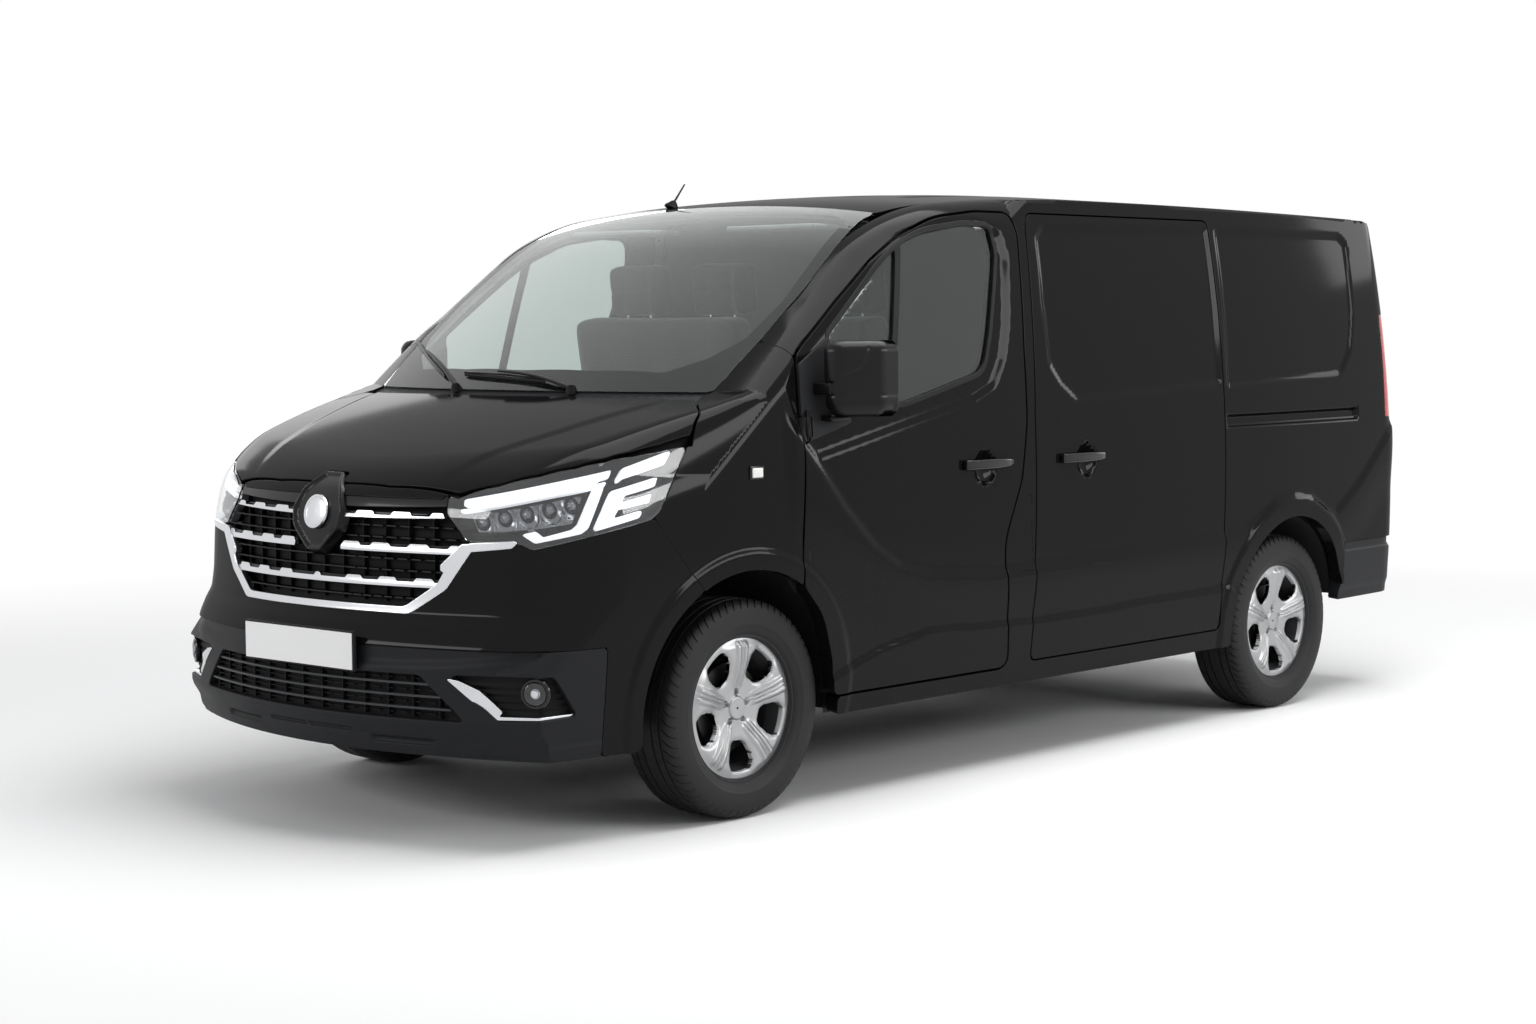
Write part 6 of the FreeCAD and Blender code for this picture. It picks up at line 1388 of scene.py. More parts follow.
leaf = panel(tail_chart, np.arange(-0.01, 0.80, 0.015), np.arange(0.62, 1.91, 0.015), leaf_field, leaf_relief,
             rim=0.003, wall=0.042, flip=True)
both_sides("rear_door", leaf, black_paint, "rear_door_{}", "rear_door_{}")
for side in ("left", "right"):
    inner_of("rear_door_" + side, "rear_door_inner_" + side, inner_steel, keep=hinge_boxes)
tail_y = 2.0 + reach((0.06, 2.0, 1.10), (0, 1, 0))
rounded_box("rear_handle", (0.03, tail_y - 0.004, 1.055), (0.24, tail_y + 0.026, 1.105), 0.009, handle_black,
            "rear_door_left")
rounded_box("rear_handle_cup", (0.015, tail_y - 0.006, 1.035), (0.255, tail_y + 0.007, 1.125), 0.006, trim,
            "rear_door_left")
seal = panel(tail_chart, np.arange(-0.012, 0.0121, 0.004), np.arange(0.63, 1.90, 0.02),
             lambda x, y, z: np.maximum(np.abs(x) - 0.010, np.abs(z - 1.2625) - 0.6225), rim=0.001,
             wall=0.004, outside=-0.016, flip=True)
build("rear_door_seal", seal, rubber)
top_y = 2.0 + reach((0, 2.0, 1.925), (0, 1, 0))
red_lens = glazing("red_lens", (0.75, 0.015, 0.015), 0.08)
red_core = finish("red_core", (0.32, 0.006, 0.008), 0.35, coat=0.6, grain=250, bump=0.2, glow=0.06)
rounded_box("high_brake_lamp", (-0.16, top_y - 0.012, 1.918), (0.16, top_y + 0.004, 1.938), 0.004, red_core)

# Tail lamps: tall moulded red lenses let into the rear corners, screwed on over
# ribbed reflectors.


def tail_lamp_field(x, y, z):
    return np.maximum.reduce([0.800 - np.abs(x), 2.330 - y, lamp_low - z, z - lamp_high])


lens = panel(side_chart, np.arange(2.28, 2.60, 0.007), np.arange(1.11, 1.57, 0.010), tail_lamp_field,
             rim=0.003, wall=0.003, closed=True)
build("tail_lamps", lens.both(), red_lens, stands_for=("tail_lamps",))
core = panel(side_chart, np.arange(2.28, 2.60, 0.008), np.arange(1.11, 1.57, 0.006),
             lambda x, y, z: tail_lamp_field(x, y, z) + 0.001,
             lambda x, y, z: (0.003 * np.cos(z * 2 * math.pi / 0.06)
                              + 0.0015 * np.cos(z * 2 * math.pi / 0.012)),
             rim=0.001, wall=0.008, outside=-0.014)
build("tail_lamp_cores", core.both(), red_core)

# Rear bumper: one grained moulding clipped round the tail, with a step along its top
# that has ribs for grip.
bumper = panel(step_chart, np.arange(-1.2, 1.201, 0.018), np.arange(0.385, 0.642, 0.010),
               lambda x, y, z: np.maximum.reduce([1.990 - y, 0.395 - z, z - 0.630]),
               lambda x, y, z: -0.012 * ease((z - 0.585) / 0.02) - 0.006 * ease((0.455 - z) / 0.03),
               rim=0.004, wall=0.04, closed=True, flip=True)
build("rear_bumper", bumper, bumper_grey, stands_for=("rear_bumper",))
blade_row("step_tread", [(x, 2.452 - x * x / 16.7, 0.6312) for x in np.arange(-0.55, 0.56, 0.022)],
          (0.008, 0.05, 0.003), trim)

# Dashboard: one long soft-topped moulding with a hood over the driver's dials, a blank
# dark screen in the middle and louvred vents.
dash_profile = [(-1.33, 0.78), (-1.34, 1.0), (-1.46, 1.10), (-1.62, 1.235), (-1.60, 1.258), (-1.45, 1.262),
                (-1.28, 1.258), (-1.12, 1.246), (-1.035, 1.226), (-1.008, 1.195), (-1.015, 1.12),
                (-0.990, 1.045), (-0.985, 1.00), (-1.03, 0.93), (-1.10, 0.82), (-1.15, 0.77)]
dash_ring = outline([(a, b, 0.03) for a, b in dash_profile])
dash_stations = np.concatenate([[-0.80, -0.795], np.linspace(-0.78, 0.78, 66), [0.795, 0.80]])
points = []
for x in dash_stations:
    end = np.clip((np.abs(x) - 0.76) / 0.04, 0, 1)
    for y, z in dash_ring:
        hood = math.exp(-(((x - 0.42) / 0.17) ** 4)) * math.exp(-(((y + 1.11) / 0.075) ** 2))
        bulge = math.exp(-((x / 0.20) ** 4)) * math.exp(-(((y + 1.03) / 0.07) ** 2)) * (z > 0.9)
        z = z + 0.058 * hood * (z > 1.15) - 0.004 * math.sin(x * 2) ** 2
        y = y + 0.018 * bulge
        points.append((x, y + (-1.30 - y) * 0.12 * end, z + (1.02 - z) * 0.12 * end))
faces = ring_faces(len(dash_stations), len(dash_ring))
faces.append(range(len(dash_ring))[::-1])
faces.append(range(len(points) - len(dash_ring), len(points)))
dash_skin = finish("dash_skin", (0.028, 0.030, 0.032), 0.6, grain=500, bump=0.4, depth=0.0004)
dash = solid("dashboard", points, faces, dash_skin, "van", 35)
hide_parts("dashboard")
rounded_box("centre_screen", (-0.125, -1.022, 1.13), (0.125, -1.000, 1.285), 0.008, gloss_black)
rounded_box("dial_panel", (0.28, -1.045, 1.17), (0.56, -1.020, 1.275), 0.01, gloss_black)
rounded_box("heater_panel", (-0.11, -0.995, 0.98), (0.11, -0.968, 1.07), 0.008, gloss_black)
for number, x in enumerate((-0.70, -0.20, 0.20, 0.70)):
    rounded_box("vent_%d" % number, (x - 0.06, -1.026, 1.10), (x + 0.06, -1.000, 1.185), 0.01, trim)
    blade_row("vent_slats_%d" % number, [(x, -1.003, z) for z in np.arange(1.115, 1.175, 0.012)],
              (0.10, 0.012, 0.003), gloss_black)
rounded_box("glovebox_lid", (-0.68, -1.02, 0.90), (-0.28, -0.988, 1.03), 0.012, cab_plastic)
rounded_box("binnacle_shelf", (-0.55, -1.40, 1.255), (-0.12, -1.12, 1.268), 0.004, trim)

# Steering wheel: a soft rim foamed onto a wire, on three spokes round a bare padded
# hub, fixed to a column with a moulded shroud and two stalks.
axis = np.array([0, 0.848, 0.530])
wheel_middle = np.array([0.42, -0.89, 1.25])
across_wheel = np.array([1.0, 0, 0])
up_wheel = np.cross(across_wheel, axis)
if up_wheel[2] < 0:
    up_wheel = -up_wheel


def wheel_way(t):
    """Direction from the hub at this angle."""
    return across_wheel * math.cos(t) + up_wheel * math.sin(t)


points = []
steps, ring = 72, 14
for i in range(steps):
    t = 2 * math.pi * i / steps
    grip = 0.0155 + 0.0015 * math.exp(-((math.sin(t) - 0.4) / 0.25) ** 2)
    for k in range(ring):
        s = 2 * math.pi * k / ring
        points.append(wheel_middle + wheel_way(t) * (0.185 + grip * math.cos(s))
                      + axis * (grip * math.sin(s) / np.linalg.norm(axis)))
rim_leather = finish("rim_leather", (0.02, 0.02, 0.021), 0.5, grain=900, bump=0.4)
rim = solid("steering_rim", points, ring_faces(steps, ring, looped=True), rim_leather, "steering_wheel")
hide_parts("steering_wheel")
hub = turned([(0.0, -0.035), (0.045, -0.032), (0.070, -0.015), (0.078, 0.0), (0.072, 0.010), (0.05, 0.016),
              (0.0, 0.019)], wheel_middle - axis * 0.010, axis, 48)
build("steering_hub", hub, cab_plastic, "steering_wheel")
for number, t in enumerate((0.0, math.pi, 1.5 * math.pi)):
    line = [wheel_middle - axis * (0.010 * (1 - s)) + wheel_way(t) * (0.055 + 0.128 * s)
            for s in np.linspace(0, 1, 8)]
    spoke = tube(line, [0.030, 0.026, 0.022, 0.020, 0.019, 0.019, 0.020, 0.022], 0.008, 14, axis)
    build("steering_spoke_%d" % number, spoke, cab_plastic, "steering_wheel")
shroud = tube([wheel_middle - axis * t for t in (0.048, 0.055, 0.10, 0.16, 0.21)],
              [0.034, 0.05, 0.056, 0.058, 0.055], [0.03, 0.042, 0.048, 0.05, 0.05], 24)
build("column_shroud", shroud, cab_plastic)
for number, sign in enumerate((1, -1)):
    line = [wheel_middle - axis * 0.085 + np.array([sign * (0.05 + 0.10 * s), 0.0, 0.012 * s])
            for s in np.linspace(0, 1, 6)]
    build("stalk_%d" % number, tube(line, [0.008, 0.0075, 0.007, 0.007, 0.009, 0.007]), gloss_black)

# Seats: sprung cushions and backs in dark woven cloth, sewn in panels over foam, on
# boxed plinths, with separate headrests on steel posts.


def woven(name, colour, thread=0.0016):
    """Two crossed waves of thread with a fleck in the yarn."""
    made = bpy.data.materials.new(name)
    tree = empty_tree(made)
    place = add_node(tree, "TexCoord").outputs["Object"]
    warp, weft = [add_node(tree, "TexWave", {"Scale": 1 / (thread * 20), "Distortion": 0.6, "Vector": place},
                           bands_direction=direction).outputs["Fac"] for direction in ("X", "Z")]
    weave = add_node(tree, "Math", {0: warp, 1: weft}, operation="MULTIPLY").outputs[0]
    fleck = add_node(tree, "TexNoise", {"Scale": 260.0, "Vector": place}).outputs["Fac"]
    both = add_node(tree, "Math", {0: weave, 1: fleck}, operation="ADD").outputs[0]
    tint = add_node(tree, "MapRange", {"From Max": 1.6, "To Min": 0.6, "To Max": 1.4, "Value": both})
    shade = add_node(tree, "VectorMath", {0: colour, "Scale": tint.outputs[0]}, operation="SCALE")
    bump = add_node(tree, "Bump", {"Strength": 0.5, "Distance": 0.0005, "Height": both})
    shaded(tree, {"Roughness": 0.9, "Sheen Weight": 0.35, "Base Color": shade.outputs[0],
                  "Normal": bump.outputs[0]})
    return made


seat_cloth = woven("seat_cloth", (0.035, 0.036, 0.040))
side_cloth = woven("side_cloth", (0.020, 0.021, 0.023), 0.0012)


def stuffed(x, y, z, size, crown, sewn):
    """Moves a point of a box's face to the cushion, which has round edges, a crown, bolsters,
    drawn-in sides and sewn channels."""
    p = np.array([x, y, z]) * size / 2
    round_by = min(size) * 0.36
    core = np.clip(p, -(size / 2 - round_by), size / 2 - round_by)
    far = np.linalg.norm(p - core)
    if far > 1e-9:
        p = core + (p - core) / far * round_by
    s, t = 2 * p[0] / size[0], 2 * p[1] / size[1]
    across_room, along_room = max(0, 1 - s * s), max(0, 1 - t * t)
    facing = max(0.0, p[2] / (size[2] / 2))
    p[2] += crown * (across_room * along_room) ** 0.6 * facing
    p[2] += 0.018 * ease((abs(s) - 0.62) / 0.22) * (1 - ease((abs(s) - 0.90) / 0.1)) * facing
    p[0] *= 1 - 0.025 * along_room
    p[1] *= 1 - 0.020 * across_room
    for seam_axis, place in sewn:
        away = (s, t)[seam_axis] - place
        p[2] -= 0.008 * math.exp(-(away * size[seam_axis] / 2 / 0.006) ** 2) * facing
    return p


def pad(name, low, high, lean, crown, sewn, stands_for=None, cloth=seat_cloth):
    """A stuffed cushion, made lying with its crowned face up and then tipped up by lean degrees."""
    low, high = np.array(low), np.array(high)
    made = bmesh.new()
    bmesh.ops.create_cube(made, size=2.0)
    bmesh.ops.subdivide_edges(made, edges=made.edges, cuts=13, use_grid_fill=True)
    turn = Matrix.Rotation(math.radians(lean), 3, "X")
    for v in made.verts:
        v.co = stuffed(*v.co, high - low, crown, sewn)
        v.co = turn @ v.co + Vector((low + high) / 2)
    bmesh.ops.recalc_face_normals(made, faces=made.faces)
    mesh = bpy.data.meshes.new(name)
    made.to_mesh(mesh)
    made.free()
    mesh.shade_smooth()
    piece = linked(name, mesh, cloth)
    smooth = piece.modifiers.new("stuffing", "SUBSURF")
    smooth.levels = smooth.render_levels = 1
    applied(piece)
    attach(piece, "van")
    if stands_for:
        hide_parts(stands_for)


def seat_set(name, x, width, rests, seams):
    half, thick = width / 2, 0.115
    back_y, back_z = -0.520, 1.205
    pad(name + "_cushion", (x - half, -1.005, 0.815), (x + half, -0.530, 0.940), 3, 0.020, seams, name)
    pad(name + "_back", (x - half + 0.01, back_y - 0.355, back_z - thick / 2),
        (x + half - 0.01, back_y + 0.355, back_z + thick / 2), 98, 0.018, seams)
    for number, rest_x in enumerate(rests):
        rest = "%s_headrest_%d" % (name, number)
        pad(rest, (rest_x - 0.130, -0.445 - 0.095, 1.655 - 0.045),
            (rest_x + 0.130, -0.445 + 0.095, 1.655 + 0.045), 96, 0.012, [(1, 0.0)], cloth=side_cloth)
        for end, post_x in (("a", rest_x - 0.06), ("b", rest_x + 0.06)):
            post = tube([(post_x, -0.462, z) for z in (1.49, 1.55, 1.60, 1.64)], 0.006, up=(1, 0, 0))
            build("%s_headrest_post_%d_%s" % (name, number, end), post, chrome)
    rounded_box(name + "_plinth", (x - half + 0.03, -0.97, 0.553), (x + half - 0.03, -0.55, 0.812), 0.02,
                cab_plastic)
    for end, sign in (("a", -1), ("b", 1)):
        edge = x + sign * (half - 0.012)
        rounded_box("%s_valance_%s" % (name, end), (edge - 0.012, -0.96, 0.76), (edge + 0.012, -0.52, 0.865),
                    0.01, cab_plastic)


seat_set("driver_seat", 0.42, 0.50, [0.42], [(0, -0.58), (0, 0.58), (1, -0.35), (1, 0.30)])
seat_set("passenger_bench", -0.40, 0.86, [-0.615, -0.185],
         [(0, -0.78), (0, 0.0), (0, 0.78), (1, -0.3), (1, 0.3)])

# Cab lining: pale moulded trims clipped over the pillars, a cloth-faced roof lining,
# two sun visors and the front belts, which run down the pillars behind the doors.
lining = finish("pale_lining", (0.33, 0.34, 0.335), 0.85, grain=600, bump=0.3, mottle=0.05)
pillar = panel(side_chart, np.arange(-1.40, -0.07, 0.014), np.arange(1.20, 2.05, 0.014),
               lambda x, y, z: np.maximum.reduce([side_field(x, y, z) - 0.002, y + 0.095, 1.28 - z]),
               rim=0.003, wall=0.01, outside=-0.050, flip=True)
both_sides("pillar_trim", pillar, lining)
post = panel(side_chart, np.arange(-0.25, -0.07, 0.012), np.arange(0.56, 1.60, 0.014),
             lambda x, y, z: np.maximum.reduce([side_field(x, y, z) - 0.002, y + 0.095, 0.58 - z, z - 1.5]),
             rim=0.003, wall=0.01, outside=-0.052, flip=True)
both_sides("post_trim", post, lining)
ceiling = panel(top_chart, np.arange(-0.80, 0.801, 0.03), np.arange(-0.75, -0.07, 0.03),
                lambda x, y, z: np.maximum.reduce([0.03 - outboard(x, y, z), -0.69 - y, y + 0.09]),
                rim=0.003, wall=0.006, outside=-0.042, flip=True)
build("roof_lining", ceiling, lining)
for side, sign in sides:
    side_box("sun_visor_" + side, sign, (0.18, 0.58), (-0.83, -0.69), (1.845, 1.862), 0.007, lining)
for side, sign in sides:
    strap = [(sign * (0.868 - 0.004 * t), -0.150 + 0.012 * t, 1.55 - 0.85 * t) for t in np.linspace(0, 1, 8)]
    web = finish("belt_web_" + side, (0.02, 0.02, 0.02), 0.8, grain=900, bump=0.4)
    build("belt_" + side, tube(strap, 0.022, 0.0012, 8, (1, 0, 0)), web)
    side_box("belt_guide_" + side, sign, (0.856, 0.880), (-0.180, -0.120), (1.53, 1.60), 0.006, cab_plastic)


def dress(node, material):
    for place in frame["nodes"][node].material_slots:
        place.material = material


dress("wheelhouses", finish("wheelhouse_steel", (0.014, 0.014, 0.015), 0.7, grain=90, bump=0.3, depth=0.001))
dress("bulkhead", finish("bulkhead_board", (0.10, 0.105, 0.11), 0.7, grain=200, bump=0.2))

# Floor, rails and running gear: pressed floor sealed underneath, welded and painted
# frames, cast knuckles, a blow-moulded tank and an aluminised exhaust.
dress("floor_pan", finish("floor_steel", (0.012, 0.012, 0.013), 0.75, grain=90, bump=0.3, depth=0.001))
dress("front_subframe", finish("subframe_black", (0.018, 0.018, 0.019), 0.55, grain=160, bump=0.25))
dress("rear_axle", finish("axle_black", (0.020, 0.020, 0.021), 0.55, grain=160, bump=0.25))
dress("engine_block", finish("cast_alloy", (0.30, 0.30, 0.31), 0.55, metal=0.9, grain=140, bump=0.4,
                             depth=0.0008))
dress("fuel_tank", finish("tank_plastic", (0.015, 0.015, 0.016), 0.5, grain=300, bump=0.3))
dress("exhaust", finish("aluminised_steel", (0.38, 0.37, 0.36), 0.45, metal=1.0, grain=60, bump=0.15,
                        mottle=0.25))
iron = finish("cast_iron", (0.09, 0.088, 0.085), 0.7, metal=0.8, grain=180, bump=0.4, depth=0.0006)
dress("knuckle_left", iron)
dress("knuckle_right", iron)

# Wheels: steel rims behind silver five-spoke covers with rounded openings, and tyres
# with four grooves round the tread and cross cuts at the shoulders.
silver = finish("wheel_silver", (0.36, 0.365, 0.37), 0.36, metal=0.7, grain=900, bump=0.03, mottle=0.04,
                coat=0.2)
rubber_black = finish("tyre_rubber", (0.0075, 0.0075, 0.0078), 0.6, grain=260, bump=0.3, depth=0.0005,
                      shine=0.3)
rotor_iron = finish("rotor_iron", (0.06, 0.058, 0.056), 0.45, metal=0.9, grain=120, bump=0.15)
SPOKES = 5


def spoke_angle(t):
    """Angle to the nearest spoke's middle line."""
    period = 2 * math.pi / SPOKES
    return (t - math.pi / 2 + period / 2) % period - period / 2


def opening(r, t):
    """Signed distance to the nearest opening between spokes, negative inside."""
    gap = math.pi / SPOKES - np.abs(spoke_angle(t))
    side = r * gap
    half = np.interp(r, [0.10, 0.120, 0.15, 0.17, 0.195], [0.020, 0.036, 0.049, 0.053, 0.046])
    ends = np.maximum(0.113 - r, r - 0.186)
    return np.where(ends > 0, np.hypot(np.maximum(ends, 0), np.maximum(side - half + 0.012, 0)) - 0.012,
                    np.maximum(side - half, ends - 0.012))


def cover_height(r, t):
    """How far the cover's face stands outboard of the wheel's centre."""
    a = spoke_angle(t)
    d = r * np.sin(a)
    dish = 0.060 + 0.026 * ease((r - 0.05) / 0.12) - 0.010 * ease((r - 0.190) / 0.035)
    edge = opening(r, t)
    dish = dish - 0.010 * np.exp(-np.maximum(edge, 0) / 0.010)
    body = ease((r - 0.055) / 0.03) * (1 - ease((r - 0.195) / 0.02))
    width = 0.010 + 0.05 * (r - 0.05)
    dish = dish + 0.007 * body * (1 - ease((np.abs(d) - width) / 0.014))
    dish = dish - 0.007 * body * np.exp(-((np.abs(d) - 0.0058) / 0.0034) ** 2)
    hole = np.hypot(r * np.cos(a) - 0.050, d)
    dish = dish - 0.018 * (1 - ease((hole - 0.0085) / 0.0035))
    dish = dish + 0.008 * (1 - ease((r - 0.033) / 0.004)) - 0.003 * (1 - ease((r - 0.027) / 0.003))
    return dish


def on_cover(t, r):
    return np.stack([cover_height(r, t), r * np.cos(t), r * np.sin(t)], 1)


def wheel_cover():
    """A grid of angles and radii drawn onto the openings' edges, which turn in by the cover's thickness."""
    angles = np.linspace(0, 2 * math.pi, 261)[:-1]
    radii = np.concatenate([np.linspace(0.004, 0.04, 9), np.linspace(0.045, 0.110, 16),
                            np.linspace(0.114, 0.190, 24), np.linspace(0.194, 0.2195, 8)])
    T, R = np.meshgrid(angles, radii, indexing="ij")
    t, r = T.ravel(), R.ravel()
    nudge, most, thick = 0.0006, 0.0016, 0.016
    for i in range(2):
        f = opening(r, t)
        fr = (opening(r + nudge, t) - f) / nudge
        ft = (opening(r, t + nudge) - f) / nudge / r
        square = fr * fr + ft * ft + 1e-9
        near = np.abs(f) < most
        r = r - np.where(near, np.clip(f * fr / square, -most, most), 0)
        t = t - np.where(near, np.clip(f * ft / square, -most, most), 0) / r
    p = on_cover(t, r)
    normal = np.cross(on_cover(t, r + nudge) - p, on_cover(t + nudge, r) - p)
    normal /= np.linalg.norm(normal, axis=1)[:, None]
    normal *= np.sign(normal[:, :1])
    cols = len(radii)
    faces = []
    keep = opening(r, t) > -0.0003
    for i in range(len(angles)):
        a, b = i * cols, (i + 1) % len(angles) * cols
        for k in range(cols - 1):
            q = [a + k, b + k, b + k + 1, a + k + 1]
            if keep[q].all():
                faces.append(q)
    rim_edges = open_edges(faces)
    ring = sorted({i for edge in rim_edges for i in edge})
    at = {old: len(p) + k for k, old in enumerate(ring)}
    toward = np.zeros((len(p), 3))
    for a, b in rim_edges:
        side = np.cross(p[b] - p[a], normal[a])
        toward[a] += side
        toward[b] += side
    toward = toward[ring]
    toward /= np.linalg.norm(toward, axis=1)[:, None] + 1e-12
    points = np.concatenate([p, p[ring], p[ring] - np.array([thick, 0, 0])])
    faces += [[at[b], at[a], at[a] + len(ring), at[b] + len(ring)] for a, b in rim_edges]
    return Sheet().add(points, np.concatenate([normal, toward, toward]), [f[::-1] for f in faces])


def tyre():
    """Points and faces of a tyre: rings of its profile, the tread's cuts slanting and its blocks in pitches.

    Each profile point has a kind: 0 in a groove, 1 shoulder, 2 middle ribs, 3 side wall."""
    pitches, tread, half = 64, 0.3428, 0.0975
    profile = []
    for a in (0.0, 0.012, 0.020, 0.0215, 0.0265, 0.028, 0.040, 0.052, 0.0535, 0.0585, 0.060, 0.072, 0.085,
              0.092, half):
        grooved = 0.0213 < a < 0.0267 or 0.0533 < a < 0.0587
        drop = 0.0040 * (a / half) ** 2 + 0.010 * max(0.0, (a - 0.080) / 0.0175) ** 2
        profile.append((a, tread - drop - (0.007 if grooved else 0), 1 if a > 0.059 else 0 if grooved else 2))
    profile.append((0.1010, 0.3225, 1))
    profile += [(a, r, 3) for a, r in (
        (0.1040, 0.3140), (0.1055, 0.306), (0.1072, 0.292), (0.1075, 0.278), (0.1060, 0.262), (0.1045, 0.260),
        (0.1010, 0.247), (0.0950, 0.236), (0.0890, 0.231), (0.080, 0.232), (0.0795, 0.222))]
    line = [(-a, r, kind) for a, r, kind in reversed(profile[1:])] + profile
    columns = [(0.0, 1.0), (0.06, 1.0), (0.10, 0.0), (0.90, 0.0), (0.96, 1.0)]
    points = []
    for i in range(pitches):
        for share, cut in columns:
            t = 2 * math.pi * (i + share) / pitches
            for a, r, kind in line:
                if kind == 1 and abs(a) > 0.0605:
                    r = r - 0.0055 * cut
                if kind == 2 and 0.03 < abs(a) < 0.051:
                    r = r - 0.0030 * cut
                slant = {0: 0.1, 3: math.copysign(0.101, a)}.get(kind, a)
                angle = t + 0.9 * slant / tread
                points.append((a, r * math.cos(angle), r * math.sin(angle)))
    rows, total = len(line), pitches * len(columns)
    faces = []
    for i in range(total):
        a, b = i * rows, (i + 1) % total * rows
        faces += [(a + k, b + k, b + k + 1, a + k + 1) for k in range(rows - 1)]
    return np.array(points), faces


cover = wheel_cover()
tyre_points, tyre_faces = tyre()
wheels = [("front_left", 0.8075, -1.526, 1), ("front_right", -0.8075, -1.526, -1),
          ("rear_left", 0.814, 1.572, 1), ("rear_right", -0.814, 1.572, -1)]
rim_steel = finish("rim_steel", (0.03, 0.03, 0.032), 0.5, grain=300, bump=0.1)
for corner, x, y, sign in wheels:
    body = "wheel_" + corner
    centre = np.array([x, y, 0.343])
    out = np.array([sign, 0.0, 0.0])
    turn = np.array([[sign, 0, 0], [0, sign, 0], [0, 0, 1.0]])
    face = Sheet().add(cover.points[0] @ turn.T + centre, cover.normals[0] @ turn.T, cover.faces)
    build("cover_" + corner, face, silver, body)
    barrel = turned([(0.2325, 0.089), (0.2335, 0.086), (0.232, 0.080), (0.214, 0.074), (0.205, 0.060),
                     (0.190, 0.020), (0.186, -0.050), (0.205, -0.076), (0.222, -0.083), (0.232, -0.088),
                     (0.228, -0.089), (0.214, -0.082), (0.198, -0.074), (0.180, -0.050), (0.183, 0.020),
                     (0.198, 0.056), (0.206, 0.070), (0.222, 0.078), (0.226, 0.089), (0.2325, 0.089)][::-1],
                    centre, out, 96)
    build("rim_" + corner + "_barrel", barrel, rim_steel, body, ("rim_" + corner,))
    disc = turned([(0.0, 0.030), (0.075, 0.030), (0.080, 0.022), (0.138, 0.022), (0.140, 0.018),
                   (0.140, 0.002), (0.138, -0.002), (0.0, -0.002)][::-1], centre, out, 72)
    build("brake_disc_" + corner, disc, rotor_iron, body)
    rolled = solid("tyre_" + corner, tyre_points @ turn.T + centre, tyre_faces, rubber_black, body, 28)
    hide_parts("tyre_" + corner)

# Studio: camera at the photograph's angle, a pale floor that runs into a white
# surround, one broad overhead light and four lower ones, one facing each side.
cam_data = bpy.data.cameras.new("camera")
cam_data.sensor_width = 36.0
cam_data.lens = 61.72
camera = bpy.data.objects.new("camera", cam_data)
bpy.context.collection.objects.link(camera)
camera.location = (6.421, -7.435, 1.540)
camera.rotation_mode = "QUATERNION"
yaw, pitch, roll = math.radians(42.506), math.radians(4.148), math.radians(-0.345)
ahead = Vector((-math.sin(yaw) * math.cos(pitch), math.cos(yaw) * math.cos(pitch), -math.sin(pitch)))
aside = ahead.cross(Vector((0, 0, 1))).normalized()
above = aside.cross(ahead)
turn = Matrix((aside, above, -ahead)).transposed() @ Matrix.Rotation(roll, 3, "Z")
camera.rotation_quaternion = turn.to_quaternion()
bpy.context.scene.camera = camera
bpy.context.scene.view_settings.view_transform = "Standard"


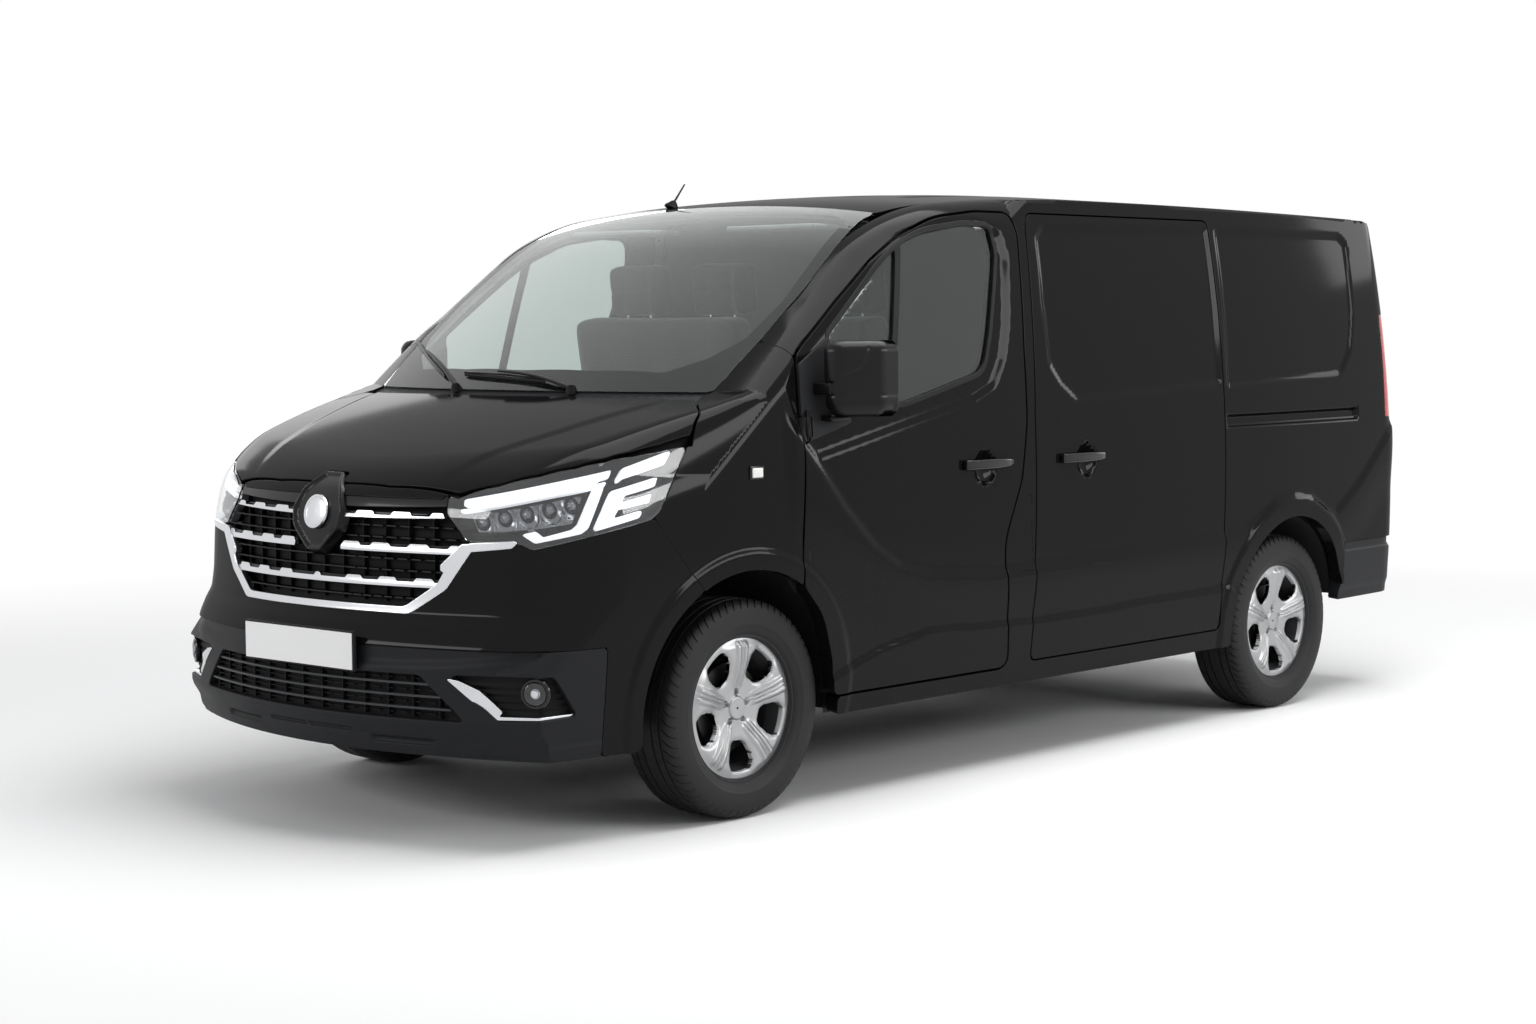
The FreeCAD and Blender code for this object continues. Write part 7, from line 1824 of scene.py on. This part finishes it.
def seen_white(tree, shader):
    """White where the camera, a mirror or glass looks at it, else the given shader."""
    path = add_node(tree, "LightPath")
    seen = add_node(tree, "Math", {0: path.outputs["Is Camera Ray"], 1: path.outputs["Is Transmission Ray"]},
                    operation="MAXIMUM")
    seen = add_node(tree, "Math", {0: seen.outputs[0], 1: path.outputs["Is Glossy Ray"]}, operation="MAXIMUM")
    white = add_node(tree, "Background", {"Color": (1, 1, 1, 1), "Strength": 1.0})
    return add_node(tree, "MixShader", {0: seen.outputs[0], 1: shader.outputs[0], 2: white.outputs[0]})


world = bpy.data.worlds.new("studio")
bpy.context.scene.world = world
tree = empty_tree(world)
dim = add_node(tree, "Background", {"Color": (0.97, 0.98, 1.0, 1), "Strength": 0.36})
add_node(tree, "OutputWorld", {0: seen_white(tree, dim).outputs[0]})

floor_mesh = bpy.data.meshes.new("studio_floor")
floor_mesh.from_pydata([(-60, -60, 0), (60, -60, 0), (60, 60, 0), (-60, 60, 0)], [], [(0, 1, 2, 3)])
floor_finish = bpy.data.materials.new("studio_floor")
tree = empty_tree(floor_finish)
matt = add_node(tree, "BsdfDiffuse", {"Color": (0.93, 0.93, 0.93, 1)})
away = add_node(tree, "VectorMath", {0: add_node(tree, "TexCoord").outputs["Object"]}, operation="LENGTH")
fade = add_node(tree, "MapRange", {"From Min": 3.6, "From Max": 7.5, "Value": away.outputs["Value"]})
white = add_node(tree, "Emission", {"Strength": 1.0})
blended = add_node(tree, "MixShader", {0: fade.outputs[0], 1: matt.outputs[0], 2: white.outputs[0]})
add_node(tree, "OutputMaterial", {0: blended.outputs[0]})
linked("studio_floor", floor_mesh, floor_finish)


def softbox(name, place, aim, size, power):
    data = bpy.data.lights.new(name, "AREA")
    data.shape = "RECTANGLE"
    data.size, data.size_y = size
    data.energy = power
    box = bpy.data.objects.new(name, data)
    box.location = place
    box.rotation_mode = "QUATERNION"
    box.rotation_quaternion = (Vector(aim) - Vector(place)).to_track_quat("-Z", "Y")
    bpy.context.collection.objects.link(box)


softbox("overhead", (1.3, 0.2, 5.2), (0.4, 0.2, 0.8), (5.4, 4.2), 320)
softbox("left_side", (7.5, 2.5, 3.2), (0.9, 0.3, 0.9), (6.0, 1.6), 210)
softbox("front", (-2.5, -8.5, 3.4), (0, -2.0, 0.8), (4.5, 1.6), 150)
softbox("right_side", (-7.5, 2.5, 3.2), (-0.9, 0.3, 0.9), (6.0, 1.6), 100)
softbox("rear", (1.5, 8.5, 3.4), (0, 2.2, 0.9), (4.5, 1.6), 90)
